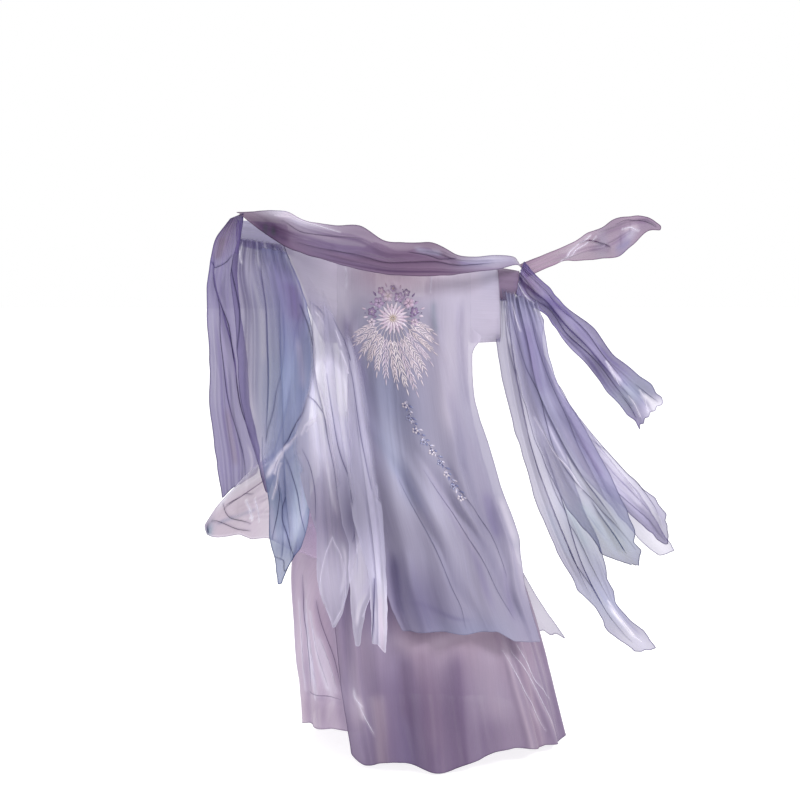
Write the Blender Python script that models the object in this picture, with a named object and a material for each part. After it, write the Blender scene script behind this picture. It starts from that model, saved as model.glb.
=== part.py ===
"""Hanfu outfit in sheer chiffon: an open robe with petal sleeves, a chest-high
wrap skirt and a long shawl, held in the shape they have on a wearer with both
arms out.  The wearer faces +Y, so the back of the outfit looks towards -Y.
Metres, +Z up, origin at the base of the neck between the shoulders."""

import math
import bpy
import bmesh
import numpy as np

# ---------------------------------------------------------------- sizes
WALL = 0.0015          # cloth, as a single wall
SEAM = 0.0010          # clear gap between two pieces that are sewn together
COLLAR_W = 0.030       # band that edges the neck and both fronts
BAND_H = 0.060         # chest band of the skirt
STRAP_W = 0.012        # shoulder straps of the skirt
BAND_TOP = -0.135      # height of the top edge of the chest band
WRAP_GAP = 0.014       # radial step between the skirt's two wrap panels

BACK = (0.0, -1.0, 0.0)
FRONT = (0.0, 1.0, 0.0)

# The general figure's hollow inside the skirt: one ellipse a row.
# columns: z, centre x, centre y, half width x, half depth y
SKIRT = [
    (-0.135, -0.028, 0.000, 0.135, 0.100),
    (-0.300, -0.016, 0.000, 0.137, 0.104),
    (-0.500, 0.000, 0.000, 0.172, 0.125),
    (-0.660, -0.002, 0.000, 0.236, 0.170),
    (-0.830, 0.003, 0.000, 0.300, 0.225),
    (-1.100, 0.045, 0.000, 0.343, 0.292),
    (-1.387, 0.092, 0.000, 0.368, 0.345),
]

# Height of the hem round each wrap panel.
# columns: angle from the middle of the back in degrees, z
HEM_BACK = [(-37, -1.366), (-32, -1.384), (-13, -1.363), (2, -1.392), (16, -1.361),
            (29, -1.346), (46, -1.357), (67, -1.378), (98, -1.386)]
HEM_FRONT = [(86, -1.384), (130, -1.372), (180, -1.384), (225, -1.368), (270, -1.364),
             (300, -1.342), (332, -1.314)]

# Free edge of the robe back at the shoulders and round the nape.
# columns: part of the width, x, y, z
YOKE_BACK = [
    (0.00, -0.175, 0.000, 0.016),
    (0.16, -0.115, -0.006, 0.008),
    (0.28, -0.075, -0.035, -0.010),
    (0.50, 0.000, -0.088, -0.038),
    (0.72, 0.085, -0.035, -0.022),
    (0.84, 0.130, -0.004, -0.022),
    (1.00, 0.197, 0.000, -0.040),
]

# Hanging panels.  A row is one section across the panel, from its left edge to
# its right edge as seen from behind.
# columns: part of the length, left x, left y, left z, right x, right y, right z,
#          crown (how far the middle stands out), fold (height of its pleats)
ROBE_BACK = [
    (0.00, -0.175, -0.060, -0.035, 0.197, -0.060, -0.055, 0.030, 0.000),
    (0.10, -0.175, -0.082, -0.145, 0.197, -0.082, -0.145, 0.040, 0.002),
    (0.21, -0.172, -0.092, -0.262, 0.197, -0.085, -0.262, 0.045, 0.004),
    (0.25, -0.160, -0.100, -0.300, 0.196, -0.088, -0.300, 0.048, 0.005),
    (0.37, -0.138, -0.120, -0.425, 0.205, -0.100, -0.425, 0.055, 0.006),
    (0.49, -0.120, -0.150, -0.550, 0.240, -0.120, -0.550, 0.055, 0.007),
    (0.61, -0.095, -0.190, -0.675, 0.274, -0.145, -0.675, 0.055, 0.008),
    (0.74, -0.057, -0.245, -0.810, 0.320, -0.170, -0.808, 0.050, 0.009),
    (0.87, -0.033, -0.295, -0.935, 0.338, -0.200, -0.940, 0.050, 0.009),
    (1.00, 0.018, -0.330, -1.045, 0.376, -0.225, -1.068, 0.045, 0.009),
]
ROBE_FRONT_R = [
    (0.00, 0.197, 0.052, -0.055, 0.110, 0.066, -0.030, 0.006, 0.000),
    (0.10, 0.197, 0.066, -0.150, 0.104, 0.108, -0.130, 0.008, 0.000),
    (0.21, 0.197, 0.074, -0.262, 0.098, 0.124, -0.250, 0.012, 0.003),
    (0.40, 0.205, 0.080, -0.450, 0.085, 0.150, -0.440, 0.014, 0.005),
    (0.60, 0.265, 0.080, -0.680, 0.075, 0.215, -0.660, 0.020, 0.007),
    (0.74, 0.320, 0.075, -0.850, 0.085, 0.280, -0.830, 0.030, 0.008),
    (0.86, 0.390, 0.065, -1.000, 0.105, 0.325, -0.990, 0.040, 0.008),
    (1.00, 0.468, 0.055, -1.125, 0.130, 0.350, -1.140, 0.045, 0.008),
]
ROBE_FRONT_L = [
    (0.00, -0.175, 0.055, -0.010, -0.110, 0.070, -0.010, 0.006, 0.000),
    (0.10, -0.175, 0.068, -0.140, -0.102, 0.112, -0.130, 0.008, 0.000),
    (0.21, -0.174, 0.076, -0.262, -0.096, 0.126, -0.250, 0.010, 0.003),
    (0.40, -0.186, 0.080, -0.450, -0.080, 0.152, -0.440, 0.014, 0.005),
    (0.60, -0.235, 0.110, -0.680, -0.060, 0.218, -0.660, 0.022, 0.006),
    (0.80, -0.268, 0.150, -0.910, -0.030, 0.300, -0.900, 0.030, 0.008),
    (1.00, -0.245, 0.205, -1.120, 0.000, 0.352, -1.130, 0.035, 0.008),
]
SLEEVE_L_MAIN = [
    (0.00, -0.452, -0.066, 0.016, -0.320, -0.072, -0.002, 0.000, 0.003),
    (0.15, -0.465, -0.078, -0.070, -0.292, -0.080, -0.080, 0.004, 0.006),
    (0.30, -0.452, -0.080, -0.180, -0.265, -0.092, -0.180, 0.006, 0.008),
    (0.45, -0.446, -0.082, -0.300, -0.248, -0.098, -0.300, 0.008, 0.009),
    (0.60, -0.440, -0.084, -0.420, -0.265, -0.098, -0.420, 0.008, 0.008),
    (0.76, -0.415, -0.088, -0.540, -0.308, -0.096, -0.540, 0.006, 0.006),
    (0.90, -0.390, -0.092, -0.630, -0.352, -0.095, -0.630, 0.002, 0.003),
    (1.00, -0.376, -0.094, -0.680, -0.368, -0.095, -0.680, 0.000, 0.000),
]
SLEEVE_L_BLUE = [
    (0.00, -0.410, -0.084, 0.000, -0.282, -0.090, -0.028, 0.000, 0.002),
    (0.13, -0.385, -0.112, -0.120, -0.266, -0.122, -0.130, 0.004, 0.005),
    (0.28, -0.372, -0.128, -0.280, -0.258, -0.142, -0.290, 0.006, 0.007),
    (0.42, -0.375, -0.134, -0.430, -0.262, -0.152, -0.440, 0.006, 0.008),
    (0.55, -0.380, -0.140, -0.570, -0.255, -0.160, -0.570, 0.006, 0.008),
    (0.68, -0.365, -0.148, -0.695, -0.250, -0.164, -0.695, 0.005, 0.007),
    (0.80, -0.358, -0.154, -0.800, -0.262, -0.166, -0.800, 0.003, 0.005),
    (0.92, -0.345, -0.160, -0.880, -0.310, -0.166, -0.870, 0.000, 0.002),
    (1.00, -0.338, -0.162, -0.928, -0.330, -0.165, -0.926, 0.000, 0.000),
]
# The corner panel runs outwards, so its two edges are its upper and lower ones.
SLEEVE_L_CORNER = [
    (0.00, -0.185, -0.170, -0.430, -0.152, -0.236, -0.865, 0.000, 0.002),
    (0.18, -0.235, -0.130, -0.465, -0.240, -0.172, -0.850, 0.003, 0.004),
    (0.36, -0.290, -0.095, -0.515, -0.315, -0.110, -0.830, 0.004, 0.005),
    (0.55, -0.370, -0.052, -0.585, -0.395, -0.060, -0.815, 0.004, 0.005),
    (0.72, -0.450, -0.076, -0.650, -0.455, -0.080, -0.806, 0.004, 0.005),
    (0.86, -0.505, -0.088, -0.710, -0.515, -0.096, -0.802, 0.002, 0.003),
    (1.00, -0.550, -0.096, -0.775, -0.542, -0.102, -0.800, 0.000, 0.000),
]
SLEEVE_L_PETAL_1 = [
    (0.00, -0.246, -0.108, -0.120, -0.218, -0.112, -0.150, 0.000, 0.001),
    (0.15, -0.244, -0.160, -0.280, -0.190, -0.165, -0.280, 0.003, 0.003),
    (0.32, -0.243, -0.212, -0.440, -0.170, -0.220, -0.440, 0.005, 0.005),
    (0.50, -0.232, -0.250, -0.600, -0.150, -0.258, -0.600, 0.006, 0.006),
    (0.68, -0.220, -0.280, -0.760, -0.148, -0.290, -0.760, 0.005, 0.005),
    (0.83, -0.213, -0.298, -0.885, -0.146, -0.308, -0.885, 0.003, 0.004),
    (0.93, -0.196, -0.306, -0.965, -0.158, -0.312, -0.965, 0.001, 0.002),
    (1.00, -0.181, -0.310, -1.014, -0.174, -0.311, -1.014, 0.000, 0.000),
]
SLEEVE_L_PETAL_2 = [
    (0.00, -0.210, -0.122, -0.140, -0.182, -0.126, -0.185, 0.000, 0.001),
    (0.14, -0.196, -0.182, -0.280, -0.148, -0.190, -0.280, 0.003, 0.003),
    (0.30, -0.178, -0.238, -0.435, -0.115, -0.248, -0.435, 0.005, 0.005),
    (0.44, -0.158, -0.278, -0.570, -0.088, -0.288, -0.570, 0.006, 0.006),
    (0.58, -0.136, -0.316, -0.700, -0.062, -0.324, -0.695, 0.005, 0.005),
    (0.72, -0.126, -0.340, -0.815, -0.056, -0.350, -0.815, 0.004, 0.004),
    (0.83, -0.124, -0.352, -0.905, -0.085, -0.358, -0.910, 0.002, 0.002),
    (0.93, -0.122, -0.356, -0.990, -0.108, -0.358, -0.990, 0.000, 0.001),
    (1.00, -0.117, -0.357, -1.052, -0.111, -0.358, -1.052, 0.000, 0.000),
]
SLEEVE_L_PETAL_3 = [
    (0.00, -0.146, -0.150, -0.232, -0.132, -0.154, -0.250, 0.000, 0.000),
    (0.20, -0.126, -0.246, -0.385, -0.104, -0.250, -0.385, 0.002, 0.001),
    (0.38, -0.112, -0.318, -0.550, -0.078, -0.326, -0.550, 0.003, 0.002),
    (0.56, -0.100, -0.345, -0.720, -0.050, -0.350, -0.715, 0.003, 0.004),
    (0.72, -0.082, -0.374, -0.855, -0.038, -0.378, -0.865, 0.002, 0.003),
    (0.87, -0.076, -0.384, -0.960, -0.034, -0.386, -0.965, 0.001, 0.002),
    (1.00, -0.074, -0.388, -1.035, -0.038, -0.388, -1.055, 0.000, 0.001),
]
SLEEVE_R_LONG = [
    (0.00, 0.292, 0.020, -0.152, 0.350, 0.040, -0.152, 0.000, 0.001),
    (0.11, 0.290, -0.005, -0.270, 0.380, 0.010, -0.270, 0.003, 0.005),
    (0.22, 0.312, -0.028, -0.410, 0.412, -0.018, -0.410, 0.005, 0.008),
    (0.34, 0.350, -0.048, -0.565, 0.465, -0.044, -0.565, 0.006, 0.008),
    (0.45, 0.392, -0.064, -0.705, 0.510, -0.062, -0.705, 0.006, 0.008),
    (0.56, 0.440, -0.076, -0.830, 0.565, -0.080, -0.830, 0.006, 0.008),
    (0.67, 0.496, -0.084, -0.935, 0.605, -0.098, -0.935, 0.004, 0.007),
    (0.78, 0.560, -0.088, -1.025, 0.645, -0.112, -1.025, 0.002, 0.005),
    (0.90, 0.612, -0.092, -1.095, 0.702, -0.122, -1.080, 0.000, 0.003),
    (1.00, 0.665, -0.100, -1.132, 0.722, -0.124, -1.120, 0.000, 0.001),
]
SLEEVE_R_MID = [
    (0.00, 0.302, -0.012, -0.148, 0.392, 0.000, -0.172, 0.000, 0.002),
    (0.14, 0.315, -0.050, -0.265, 0.420, -0.040, -0.265, 0.004, 0.006),
    (0.29, 0.342, -0.082, -0.405, 0.470, -0.076, -0.405, 0.006, 0.009),
    (0.43, 0.390, -0.108, -0.560, 0.560, -0.106, -0.575, 0.008, 0.010),
    (0.57, 0.455, -0.128, -0.700, 0.620, -0.134, -0.700, 0.008, 0.010),
    (0.72, 0.530, -0.142, -0.795, 0.652, -0.156, -0.795, 0.005, 0.008),
    (0.88, 0.575, -0.150, -0.850, 0.665, -0.168, -0.842, 0.002, 0.004),
    (1.00, 0.628, -0.156, -0.872, 0.668, -0.172, -0.874, 0.000, 0.001),
]
SLEEVE_R_OUTER = [
    (0.00, 0.345, 0.075, -0.150, 0.412, 0.085, -0.205, 0.000, 0.001),
    (0.12, 0.355, 0.050, -0.270, 0.422, 0.060, -0.270, 0.003, 0.004),
    (0.25, 0.390, 0.028, -0.385, 0.458, 0.034, -0.385, 0.004, 0.006),
    (0.39, 0.445, 0.008, -0.510, 0.545, 0.008, -0.510, 0.005, 0.008),
    (0.53, 0.525, -0.008, -0.625, 0.645, -0.018, -0.625, 0.006, 0.008),
    (0.68, 0.615, -0.022, -0.710, 0.720, -0.040, -0.705, 0.004, 0.006),
    (0.81, 0.685, -0.034, -0.775, 0.750, -0.054, -0.755, 0.002, 0.004),
    (0.92, 0.722, -0.042, -0.812, 0.758, -0.058, -0.798, 0.000, 0.002),
    (1.00, 0.755, -0.048, -0.836, 0.764, -0.056, -0.832, 0.000, 0.000),
]
SLEEVE_R_UNDER = [
    (0.00, 0.325, 0.112, -0.150, 0.385, 0.122, -0.168, 0.000, 0.001),
    (0.18, 0.345, 0.098, -0.285, 0.410, 0.108, -0.285, 0.003, 0.004),
    (0.36, 0.405, 0.078, -0.460, 0.500, 0.082, -0.455, 0.004, 0.006),
    (0.56, 0.505, 0.056, -0.620, 0.615, 0.048, -0.610, 0.005, 0.007),
    (0.75, 0.622, 0.034, -0.750, 0.705, 0.014, -0.722, 0.003, 0.005),
    (0.90, 0.700, 0.020, -0.838, 0.758, -0.002, -0.812, 0.001, 0.003),
    (1.00, 0.748, 0.010, -0.880, 0.792, -0.004, -0.862, 0.000, 0.001),
]
# The shawl is in stretches that follow one another, so these panels are read
# along the shawl, from their lower edge to their upper edge.
SHAWL_BACK = [
    (0.00, -0.436, -0.092, 0.088, -0.444, -0.078, 0.101, 0.000, 0.000),
    (0.09, -0.385, -0.120, 0.050, -0.380, -0.095, 0.104, 0.002, 0.003),
    (0.18, -0.320, -0.135, 0.010, -0.315, -0.105, 0.103, 0.004, 0.005),
    (0.26, -0.262, -0.148, -0.014, -0.266, -0.108, 0.080, 0.005, 0.006),
    (0.36, -0.175, -0.162, -0.040, -0.178, -0.112, 0.062, 0.006, 0.006),
    (0.44, -0.110, -0.172, -0.058, -0.110, -0.122, 0.060, 0.006, 0.006),
    (0.53, -0.035, -0.180, -0.070, -0.038, -0.142, 0.018, 0.006, 0.006),
    (0.61, 0.035, -0.182, -0.074, 0.032, -0.146, 0.016, 0.005, 0.005),
    (0.69, 0.105, -0.176, -0.073, 0.105, -0.143, 0.010, 0.004, 0.005),
    (0.74, 0.150, -0.168, -0.070, 0.150, -0.138, -0.014, 0.003, 0.004),
    (0.81, 0.205, -0.152, -0.062, 0.205, -0.128, -0.022, 0.003, 0.004),
    (0.88, 0.270, -0.125, -0.056, 0.262, -0.108, -0.018, 0.001, 0.002),
    (0.94, 0.322, -0.075, -0.044, 0.314, -0.066, -0.022, 0.000, 0.001),
    (1.00, 0.350, 0.060, -0.052, 0.338, 0.062, -0.034, 0.000, 0.000),
]
SHAWL_END_LEFT = [
    (0.00, -0.470, -0.078, 0.086, -0.449, -0.084, 0.094, 0.000, 0.000),
    (0.07, -0.512, -0.062, 0.035, -0.468, -0.074, 0.030, 0.001, 0.002),
    (0.18, -0.536, -0.044, -0.060, -0.482, -0.060, -0.060, 0.002, 0.004),
    (0.34, -0.545, -0.028, -0.180, -0.482, -0.046, -0.180, 0.003, 0.006),
    (0.50, -0.540, -0.020, -0.310, -0.462, -0.036, -0.310, 0.003, 0.006),
    (0.68, -0.540, -0.020, -0.450, -0.448, -0.034, -0.450, 0.003, 0.006),
    (0.84, -0.525, -0.022, -0.585, -0.418, -0.030, -0.575, 0.002, 0.005),
    (1.00, -0.508, -0.026, -0.700, -0.422, -0.028, -0.635, 0.000, 0.002),
]
SHAWL_END_RIGHT = [
    (0.00, 0.346, 0.068, -0.085, 0.360, 0.072, -0.060, 0.000, 0.001),
    (0.14, 0.385, 0.100, -0.148, 0.422, 0.102, -0.115, 0.002, 0.004),
    (0.29, 0.440, 0.112, -0.195, 0.468, 0.112, -0.165, 0.002, 0.005),
    (0.43, 0.482, 0.110, -0.262, 0.555, 0.104, -0.228, 0.003, 0.006),
    (0.57, 0.552, 0.098, -0.335, 0.612, 0.086, -0.305, 0.003, 0.007),
    (0.71, 0.605, 0.085, -0.410, 0.672, 0.068, -0.348, 0.003, 0.007),
    (0.86, 0.652, 0.072, -0.462, 0.738, 0.056, -0.405, 0.002, 0.006),
    (1.00, 0.688, 0.065, -0.505, 0.762, 0.050, -0.438, 0.000, 0.003),
]
SHAWL_END_HAND = [
    (0.00, 0.366, 0.086, -0.066, 0.358, 0.086, -0.048, 0.000, 0.001),
    (0.12, 0.430, 0.125, -0.040, 0.420, 0.118, -0.022, 0.001, 0.002),
    (0.25, 0.480, 0.152, -0.026, 0.486, 0.140, 0.010, 0.002, 0.004),
    (0.38, 0.532, 0.166, -0.026, 0.542, 0.150, 0.045, 0.003, 0.005),
    (0.51, 0.595, 0.174, -0.022, 0.588, 0.152, 0.066, 0.003, 0.006),
    (0.64, 0.642, 0.178, -0.018, 0.634, 0.150, 0.094, 0.003, 0.006),
    (0.77, 0.686, 0.178, 0.016, 0.682, 0.155, 0.100, 0.002, 0.005),
    (0.90, 0.732, 0.174, 0.058, 0.732, 0.165, 0.096, 0.001, 0.002),
    (1.00, 0.768, 0.170, 0.060, 0.770, 0.170, 0.070, 0.000, 0.000),
]
# Straps of the skirt, over the shoulders from the back of the band to its front.
# columns: part of the length, x, y, z of the strap's middle
STRAP_L = [(0.0, -0.142, -0.0540, -0.1335), (0.25, -0.138, -0.048, -0.080),
           (0.5, -0.128, -0.004, -0.022), (0.75, -0.128, 0.040, -0.072),
           (1.0, -0.130, 0.0655, -0.1335)]
STRAP_R = [(0.0, 0.077, -0.0630, -0.1335), (0.25, 0.082, -0.056, -0.085),
           (0.5, 0.108, -0.004, -0.046), (0.75, 0.106, 0.032, -0.085),
           (1.0, 0.086, 0.0535, -0.1335)]


# ---------------------------------------------------------------- forms
def read(table, t):
    """Columns of a table at the part t of its length, on a smooth curve."""
    tab = np.array(table, float)
    knots, cols = tab[:, 0], tab[:, 1:]
    step = np.diff(knots)[:, None]
    slope = np.diff(cols, axis=0) / step
    tang = np.empty_like(cols)
    tang[0], tang[-1] = slope[0], slope[-1]
    tang[1:-1] = (slope[:-1] * step[1:] + slope[1:] * step[:-1]) / (step[:-1] + step[1:])
    t = np.clip(np.asarray(t, float), knots[0], knots[-1])
    i = np.clip(np.searchsorted(knots, t, side="right") - 1, 0, len(knots) - 2)
    h = (knots[i + 1] - knots[i])[..., None]
    u = ((t - knots[i])[..., None]) / h
    return ((2 * u**3 - 3 * u**2 + 1) * cols[i] + (u**3 - 2 * u**2 + u) * h * tang[i]
            + (3 * u**2 - 2 * u**3) * cols[i + 1] + (u**3 - u**2) * h * tang[i + 1])


def panel(table, s, t, out, folds=2.0, phase=0.0, slant=0.0, yoke=None):
    """Points of a hanging panel; s runs across it and t down it."""
    row = read(table, t)
    left, right = row[..., 0:3], row[..., 3:6]
    crown, fold = row[..., 6], row[..., 7]
    p = left + (right - left) * s[..., None]
    lift = crown * 4 * s * (1 - s)
    lift = lift + fold * np.cos(2 * math.pi * (folds * s + phase + slant * t)) * np.sqrt(np.clip(4 * s * (1 - s), 0, 1) * 0.6 + 0.4)
    p = p + np.array(out) * lift[..., None]
    if yoke is not None:
        edge = read(yoke, s)
        top = read(table, np.zeros_like(s))
        flat = top[..., 0:3] + (top[..., 3:6] - top[..., 0:3]) * s[..., None]
        flat = flat + np.array(out) * (top[..., 6] * 4 * s * (1 - s))[..., None]
        hold = np.clip(1 - t / 0.10, 0, 1)[..., None]
        p = p + (edge - flat) * hold ** np.array([1.5, 2.4, 1.1])
    return p


def skirt_point(angle, z, step=0.0, pleat=0.0, pleats=18, phase=0.0):
    """A point on the skirt: angle 0 is the middle of the back, 90 degrees is +X."""
    d = (z - SKIRT[0][0]) / (SKIRT[-1][0] - SKIRT[0][0])
    table = [((r[0] - SKIRT[0][0]) / (SKIRT[-1][0] - SKIRT[0][0]),) + tuple(r[1:]) for r in SKIRT]
    cx, cy, a, b = np.moveaxis(read(table, d), -1, 0)
    grow = step + pleat * np.clip(d, 0, 1) * np.cos(pleats * angle + phase)
    return np.stack([cx + (a + grow) * np.sin(angle), cy - (b + grow) * np.cos(angle), z + 0 * angle], -1)


# ---------------------------------------------------------------- meshes
def material(name, colour, rough=0.55):
    mat = bpy.data.materials.new(name)
    mat.use_nodes = True
    bsdf = mat.node_tree.nodes["Principled BSDF"]
    bsdf.inputs["Base Color"].default_value = (*colour, 1.0)
    bsdf.inputs["Roughness"].default_value = rough
    bsdf.inputs["Metallic"].default_value = 0.0
    mat.diffuse_color = (*colour, 1.0)
    return mat


def cloth(name, grid, colour, closed=False, wall=WALL):
    """A grid of points [rows][columns] as one closed wall of cloth."""
    nt, ns = grid.shape[:2]
    bm = bmesh.new()
    verts = [[bm.verts.new(tuple(grid[i, j])) for j in range(ns)] for i in range(nt)]
    for i in range(nt - 1):
        for j in range(ns if closed else ns - 1):
            k = (j + 1) % ns
            bm.faces.new((verts[i][j], verts[i][k], verts[i + 1][k], verts[i + 1][j]))
    bm.normal_update()
    bmesh.ops.recalc_face_normals(bm, faces=bm.faces)
    mesh = bpy.data.meshes.new(name)
    bm.to_mesh(mesh)
    bm.free()
    obj = bpy.data.objects.new(name, mesh)
    bpy.context.scene.collection.objects.link(obj)
    mesh.materials.append(material(name + "_cloth", colour))
    mod = obj.modifiers.new("wall", "SOLIDIFY")
    mod.thickness = wall
    mod.offset = 0.0
    mod.use_even_offset = False
    mesh.shade_smooth()
    return obj


def mesh_grid(across, down, make):
    s, t = np.meshgrid(np.linspace(0, 1, across + 1), np.linspace(0, 1, down + 1))
    return make(s, t)


def main():
    for obj in list(bpy.data.objects):
        bpy.data.objects.remove(obj, do_unlink=True)

    lilac = (0.50, 0.47, 0.62)
    lilac_deep = (0.36, 0.32, 0.50)
    blue = (0.33, 0.38, 0.55)
    white = (0.72, 0.70, 0.82)
    mauve = (0.36, 0.28, 0.42)
    mauve_pale = (0.60, 0.52, 0.64)
    plum = (0.22, 0.15, 0.26)

    # ---- skirt: chest band, two straps, two wrap panels
    ang = np.linspace(0, 2 * math.pi, 25)[:-1]
    zz = BAND_TOP - np.linspace(0, 1, 3) * BAND_H
    grid = np.stack([skirt_point(ang, np.full_like(ang, z), 0.0) for z in zz])
    cloth("skirt_band", grid, mauve, closed=True, wall=0.002)

    top = BAND_TOP - BAND_H - 0.0015

    def wrap(hem_table, step, pleat, pleats, phase):
        def make(s, t):
            degrees = hem_table[0][0] + (hem_table[-1][0] - hem_table[0][0]) * s
            angle = np.radians(degrees)
            z = top + (read(hem_table, degrees)[..., 0] - top) * t
            out = step * (0.4 + 0.6 * np.clip(t / 0.10, 0, 1))
            return skirt_point(angle, z, out, pleat, pleats, phase)
        return make
    cloth("skirt_back", mesh_grid(24, 9, wrap(HEM_BACK, WRAP_GAP, 0.005, 22, 0.4)), mauve)
    cloth("skirt_front", mesh_grid(26, 7, wrap(HEM_FRONT, 0.0, 0.004, 14, 1.1)), mauve_pale)

    def strap(table):
        t = np.linspace(0, 1, 9)
        mid = read([(r[0],) + tuple(r[1:]) for r in table], t)
        half = np.array([STRAP_W / 2, 0, 0])
        return np.stack([mid - half, mid + half], 1)
    cloth("skirt_strap_left", strap(STRAP_L), plum)
    cloth("skirt_strap_right", strap(STRAP_R), plum)

    # ---- robe body
    def robe_back(s, t):
        return panel(ROBE_BACK, s, t, BACK, folds=3.5, phase=0.1, slant=0.35, yoke=YOKE_BACK)
    cloth("robe_back", mesh_grid(12, 15, robe_back), lilac)

    # each front's shoulder edge follows the back's, a seam's width further on
    def shoulder(first, last):
        part = np.linspace(0, 1, 5)
        line = read(YOKE_BACK, first + (last - first) * part) + np.array([0.0, 2.2 * SEAM, 0.0])
        return [(f, *point) for f, point in zip(part, line)]
    yoke_r = shoulder(1.0, 0.80)
    yoke_l = shoulder(0.0, 0.20)

    def front_r(s, t):
        return panel(ROBE_FRONT_R, s, t, FRONT, folds=1.5, phase=0.0, slant=0.2, yoke=yoke_r)

    def front_l(s, t):
        return panel(ROBE_FRONT_L, s, t, FRONT, folds=1.5, phase=0.0, slant=0.2, yoke=yoke_l)
    cloth("robe_front_right", mesh_grid(4, 12, front_r), lilac)
    cloth("robe_front_left", mesh_grid(4, 12, front_l), lilac)

    # the collar band: up one front edge, round the nape and down the other
    def edge(make, t):
        return make(np.ones_like(t), t)
    tt = np.linspace(1.0, 0.0, 12)
    lo = edge(front_l, tt)
    ro = edge(front_r, tt[::-1])
    sn = np.linspace(0.16, 0.84, 9)
    nape = read(YOKE_BACK, sn)
    inward_l = np.tile([1.0, 0.0, 0.0], (len(lo), 1))
    inward_r = np.tile([-1.0, 0.0, 0.0], (len(ro), 1))
    centre = np.array([0.010, -0.030, 0.10])
    inward_n = centre - nape
    inward_n /= np.linalg.norm(inward_n, axis=1)[:, None]
    line = np.concatenate([lo, nape[1:-1], ro])
    inward = np.concatenate([inward_l, inward_n[1:-1], inward_r])
    for _ in range(2):
        inward[1:-1] = (inward[:-2] + 2 * inward[1:-1] + inward[2:]) / 4
    inward /= np.linalg.norm(inward, axis=1)[:, None]
    cloth("robe_collar", np.stack([line + inward * 0.0022, line + inward * (0.0022 + COLLAR_W)], 1), lilac_deep)

    # ---- sleeves: a short tube on each armhole, then a cuff and its petals
    def tube(name, first, last, along, colour, bulge=0.0):
        f = np.linspace(0, 1, along + 1)[:, None, None]
        grid = first[None] * (1 - f) + last[None] * f
        mid = grid.mean(axis=1, keepdims=True)
        grid = mid + (grid - mid) * (1 + bulge * np.sin(math.pi * f))
        return cloth(name, grid, colour, closed=True)

    def armhole(back, front, side, t_end, shift):
        t = np.linspace(0.0, t_end, 9)
        b = back(np.full_like(t, side), t)
        f = front(np.zeros_like(t), t)
        loop = np.concatenate([b, f[::-1][1:-1]])
        return loop + np.array([shift, 0, 0])

    def slanted(n, top_pt, bottom_pt, depth_back, depth_front):
        """A cuff loop with n points, from the top, down the back, up the front."""
        a = np.linspace(0, 2 * math.pi, n + 1)[:-1]
        u = (1 - np.cos(a)) / 2
        mid = np.array(top_pt)[None] * (1 - u[:, None]) + np.array(bottom_pt)[None] * u[:, None]
        side = np.sin(a)
        mid[:, 1] += np.where(side > 0, -depth_back * side, -depth_front * side)
        return mid
    ring_l = armhole(robe_back, front_l, 0.0, 0.21, -0.0016)
    ring_r = armhole(robe_back, front_r, 1.0, 0.21, 0.0016)
    cuff_l = slanted(len(ring_l), (-0.318, -0.010, 0.036), (-0.204, -0.010, -0.262), 0.085, 0.075)
    cuff_r = slanted(len(ring_r), (0.276, 0.030, -0.052), (0.286, 0.030, -0.262), 0.075, 0.070)
    tube("sleeve_upper_left", ring_l, cuff_l, 4, lilac)
    tube("sleeve_upper_right", ring_r, cuff_r, 3, lilac)

    def ring(n, c, ry, rz, tip):
        a = np.linspace(0, 2 * math.pi, n + 1)[:-1]
        return np.stack([c[0] + tip * np.cos(a), c[1] - ry * np.sin(a), c[2] + rz * np.cos(a)], -1)
    tube("sleeve_cuff_left", ring(14, (-0.326, -0.015, 0.028), 0.048, 0.048, -0.010),
         ring(14, (-0.458, -0.010, 0.050), 0.038, 0.038, 0.0), 4, lilac, 0.04)
    tube("sleeve_cuff_right", ring(14, (0.291, 0.040, -0.100), 0.042, 0.044, 0.0),
         ring(14, (0.326, 0.052, -0.104), 0.038, 0.044, 0.008), 2, lilac, 0.02)

    hang = [
        ("sleeve_left_main", SLEEVE_L_MAIN, 2.0, 0.0, 0.3, lilac, 7, 9),
        ("sleeve_left_blue", SLEEVE_L_BLUE, 1.5, 0.25, 0.3, blue, 5, 11),
        ("sleeve_left_corner", SLEEVE_L_CORNER, 1.5, 0.1, 0.2, white, 7, 9),
        ("sleeve_left_petal_1", SLEEVE_L_PETAL_1, 1.0, 0.0, 0.2, white, 4, 11),
        ("sleeve_left_petal_2", SLEEVE_L_PETAL_2, 1.0, 0.3, 0.2, white, 4, 12),
        ("sleeve_left_petal_3", SLEEVE_L_PETAL_3, 1.0, 0.6, 0.2, white, 3, 10),
        ("sleeve_right_long", SLEEVE_R_LONG, 1.5, 0.0, 0.4, blue, 6, 13),
        ("sleeve_right_mid", SLEEVE_R_MID, 2.0, 0.2, 0.4, lilac, 7, 11),
        ("sleeve_right_outer", SLEEVE_R_OUTER, 1.5, 0.5, 0.4, white, 5, 11),
        ("sleeve_right_under", SLEEVE_R_UNDER, 1.0, 0.3, 0.4, white, 5, 9),
        ("shawl_back", SHAWL_BACK, 1.5, 0.2, 0.6, plum, 4, 16),
        ("shawl_end_left", SHAWL_END_LEFT, 1.5, 0.0, 0.2, lilac_deep, 5, 9),
        ("shawl_end_right", SHAWL_END_RIGHT, 1.5, 0.0, 0.5, lilac_deep, 5, 11),
        ("shawl_end_hand", SHAWL_END_HAND, 1.5, 0.3, 0.5, mauve_pale, 5, 11),
    ]
    for name, table, folds, phase, slant, colour, across, down in hang:
        def make(s, t, table=table, folds=folds, phase=phase, slant=slant):
            return panel(table, s, t, BACK, folds, phase, slant)
        cloth(name, mesh_grid(across, down, make), colour)


main()
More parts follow.
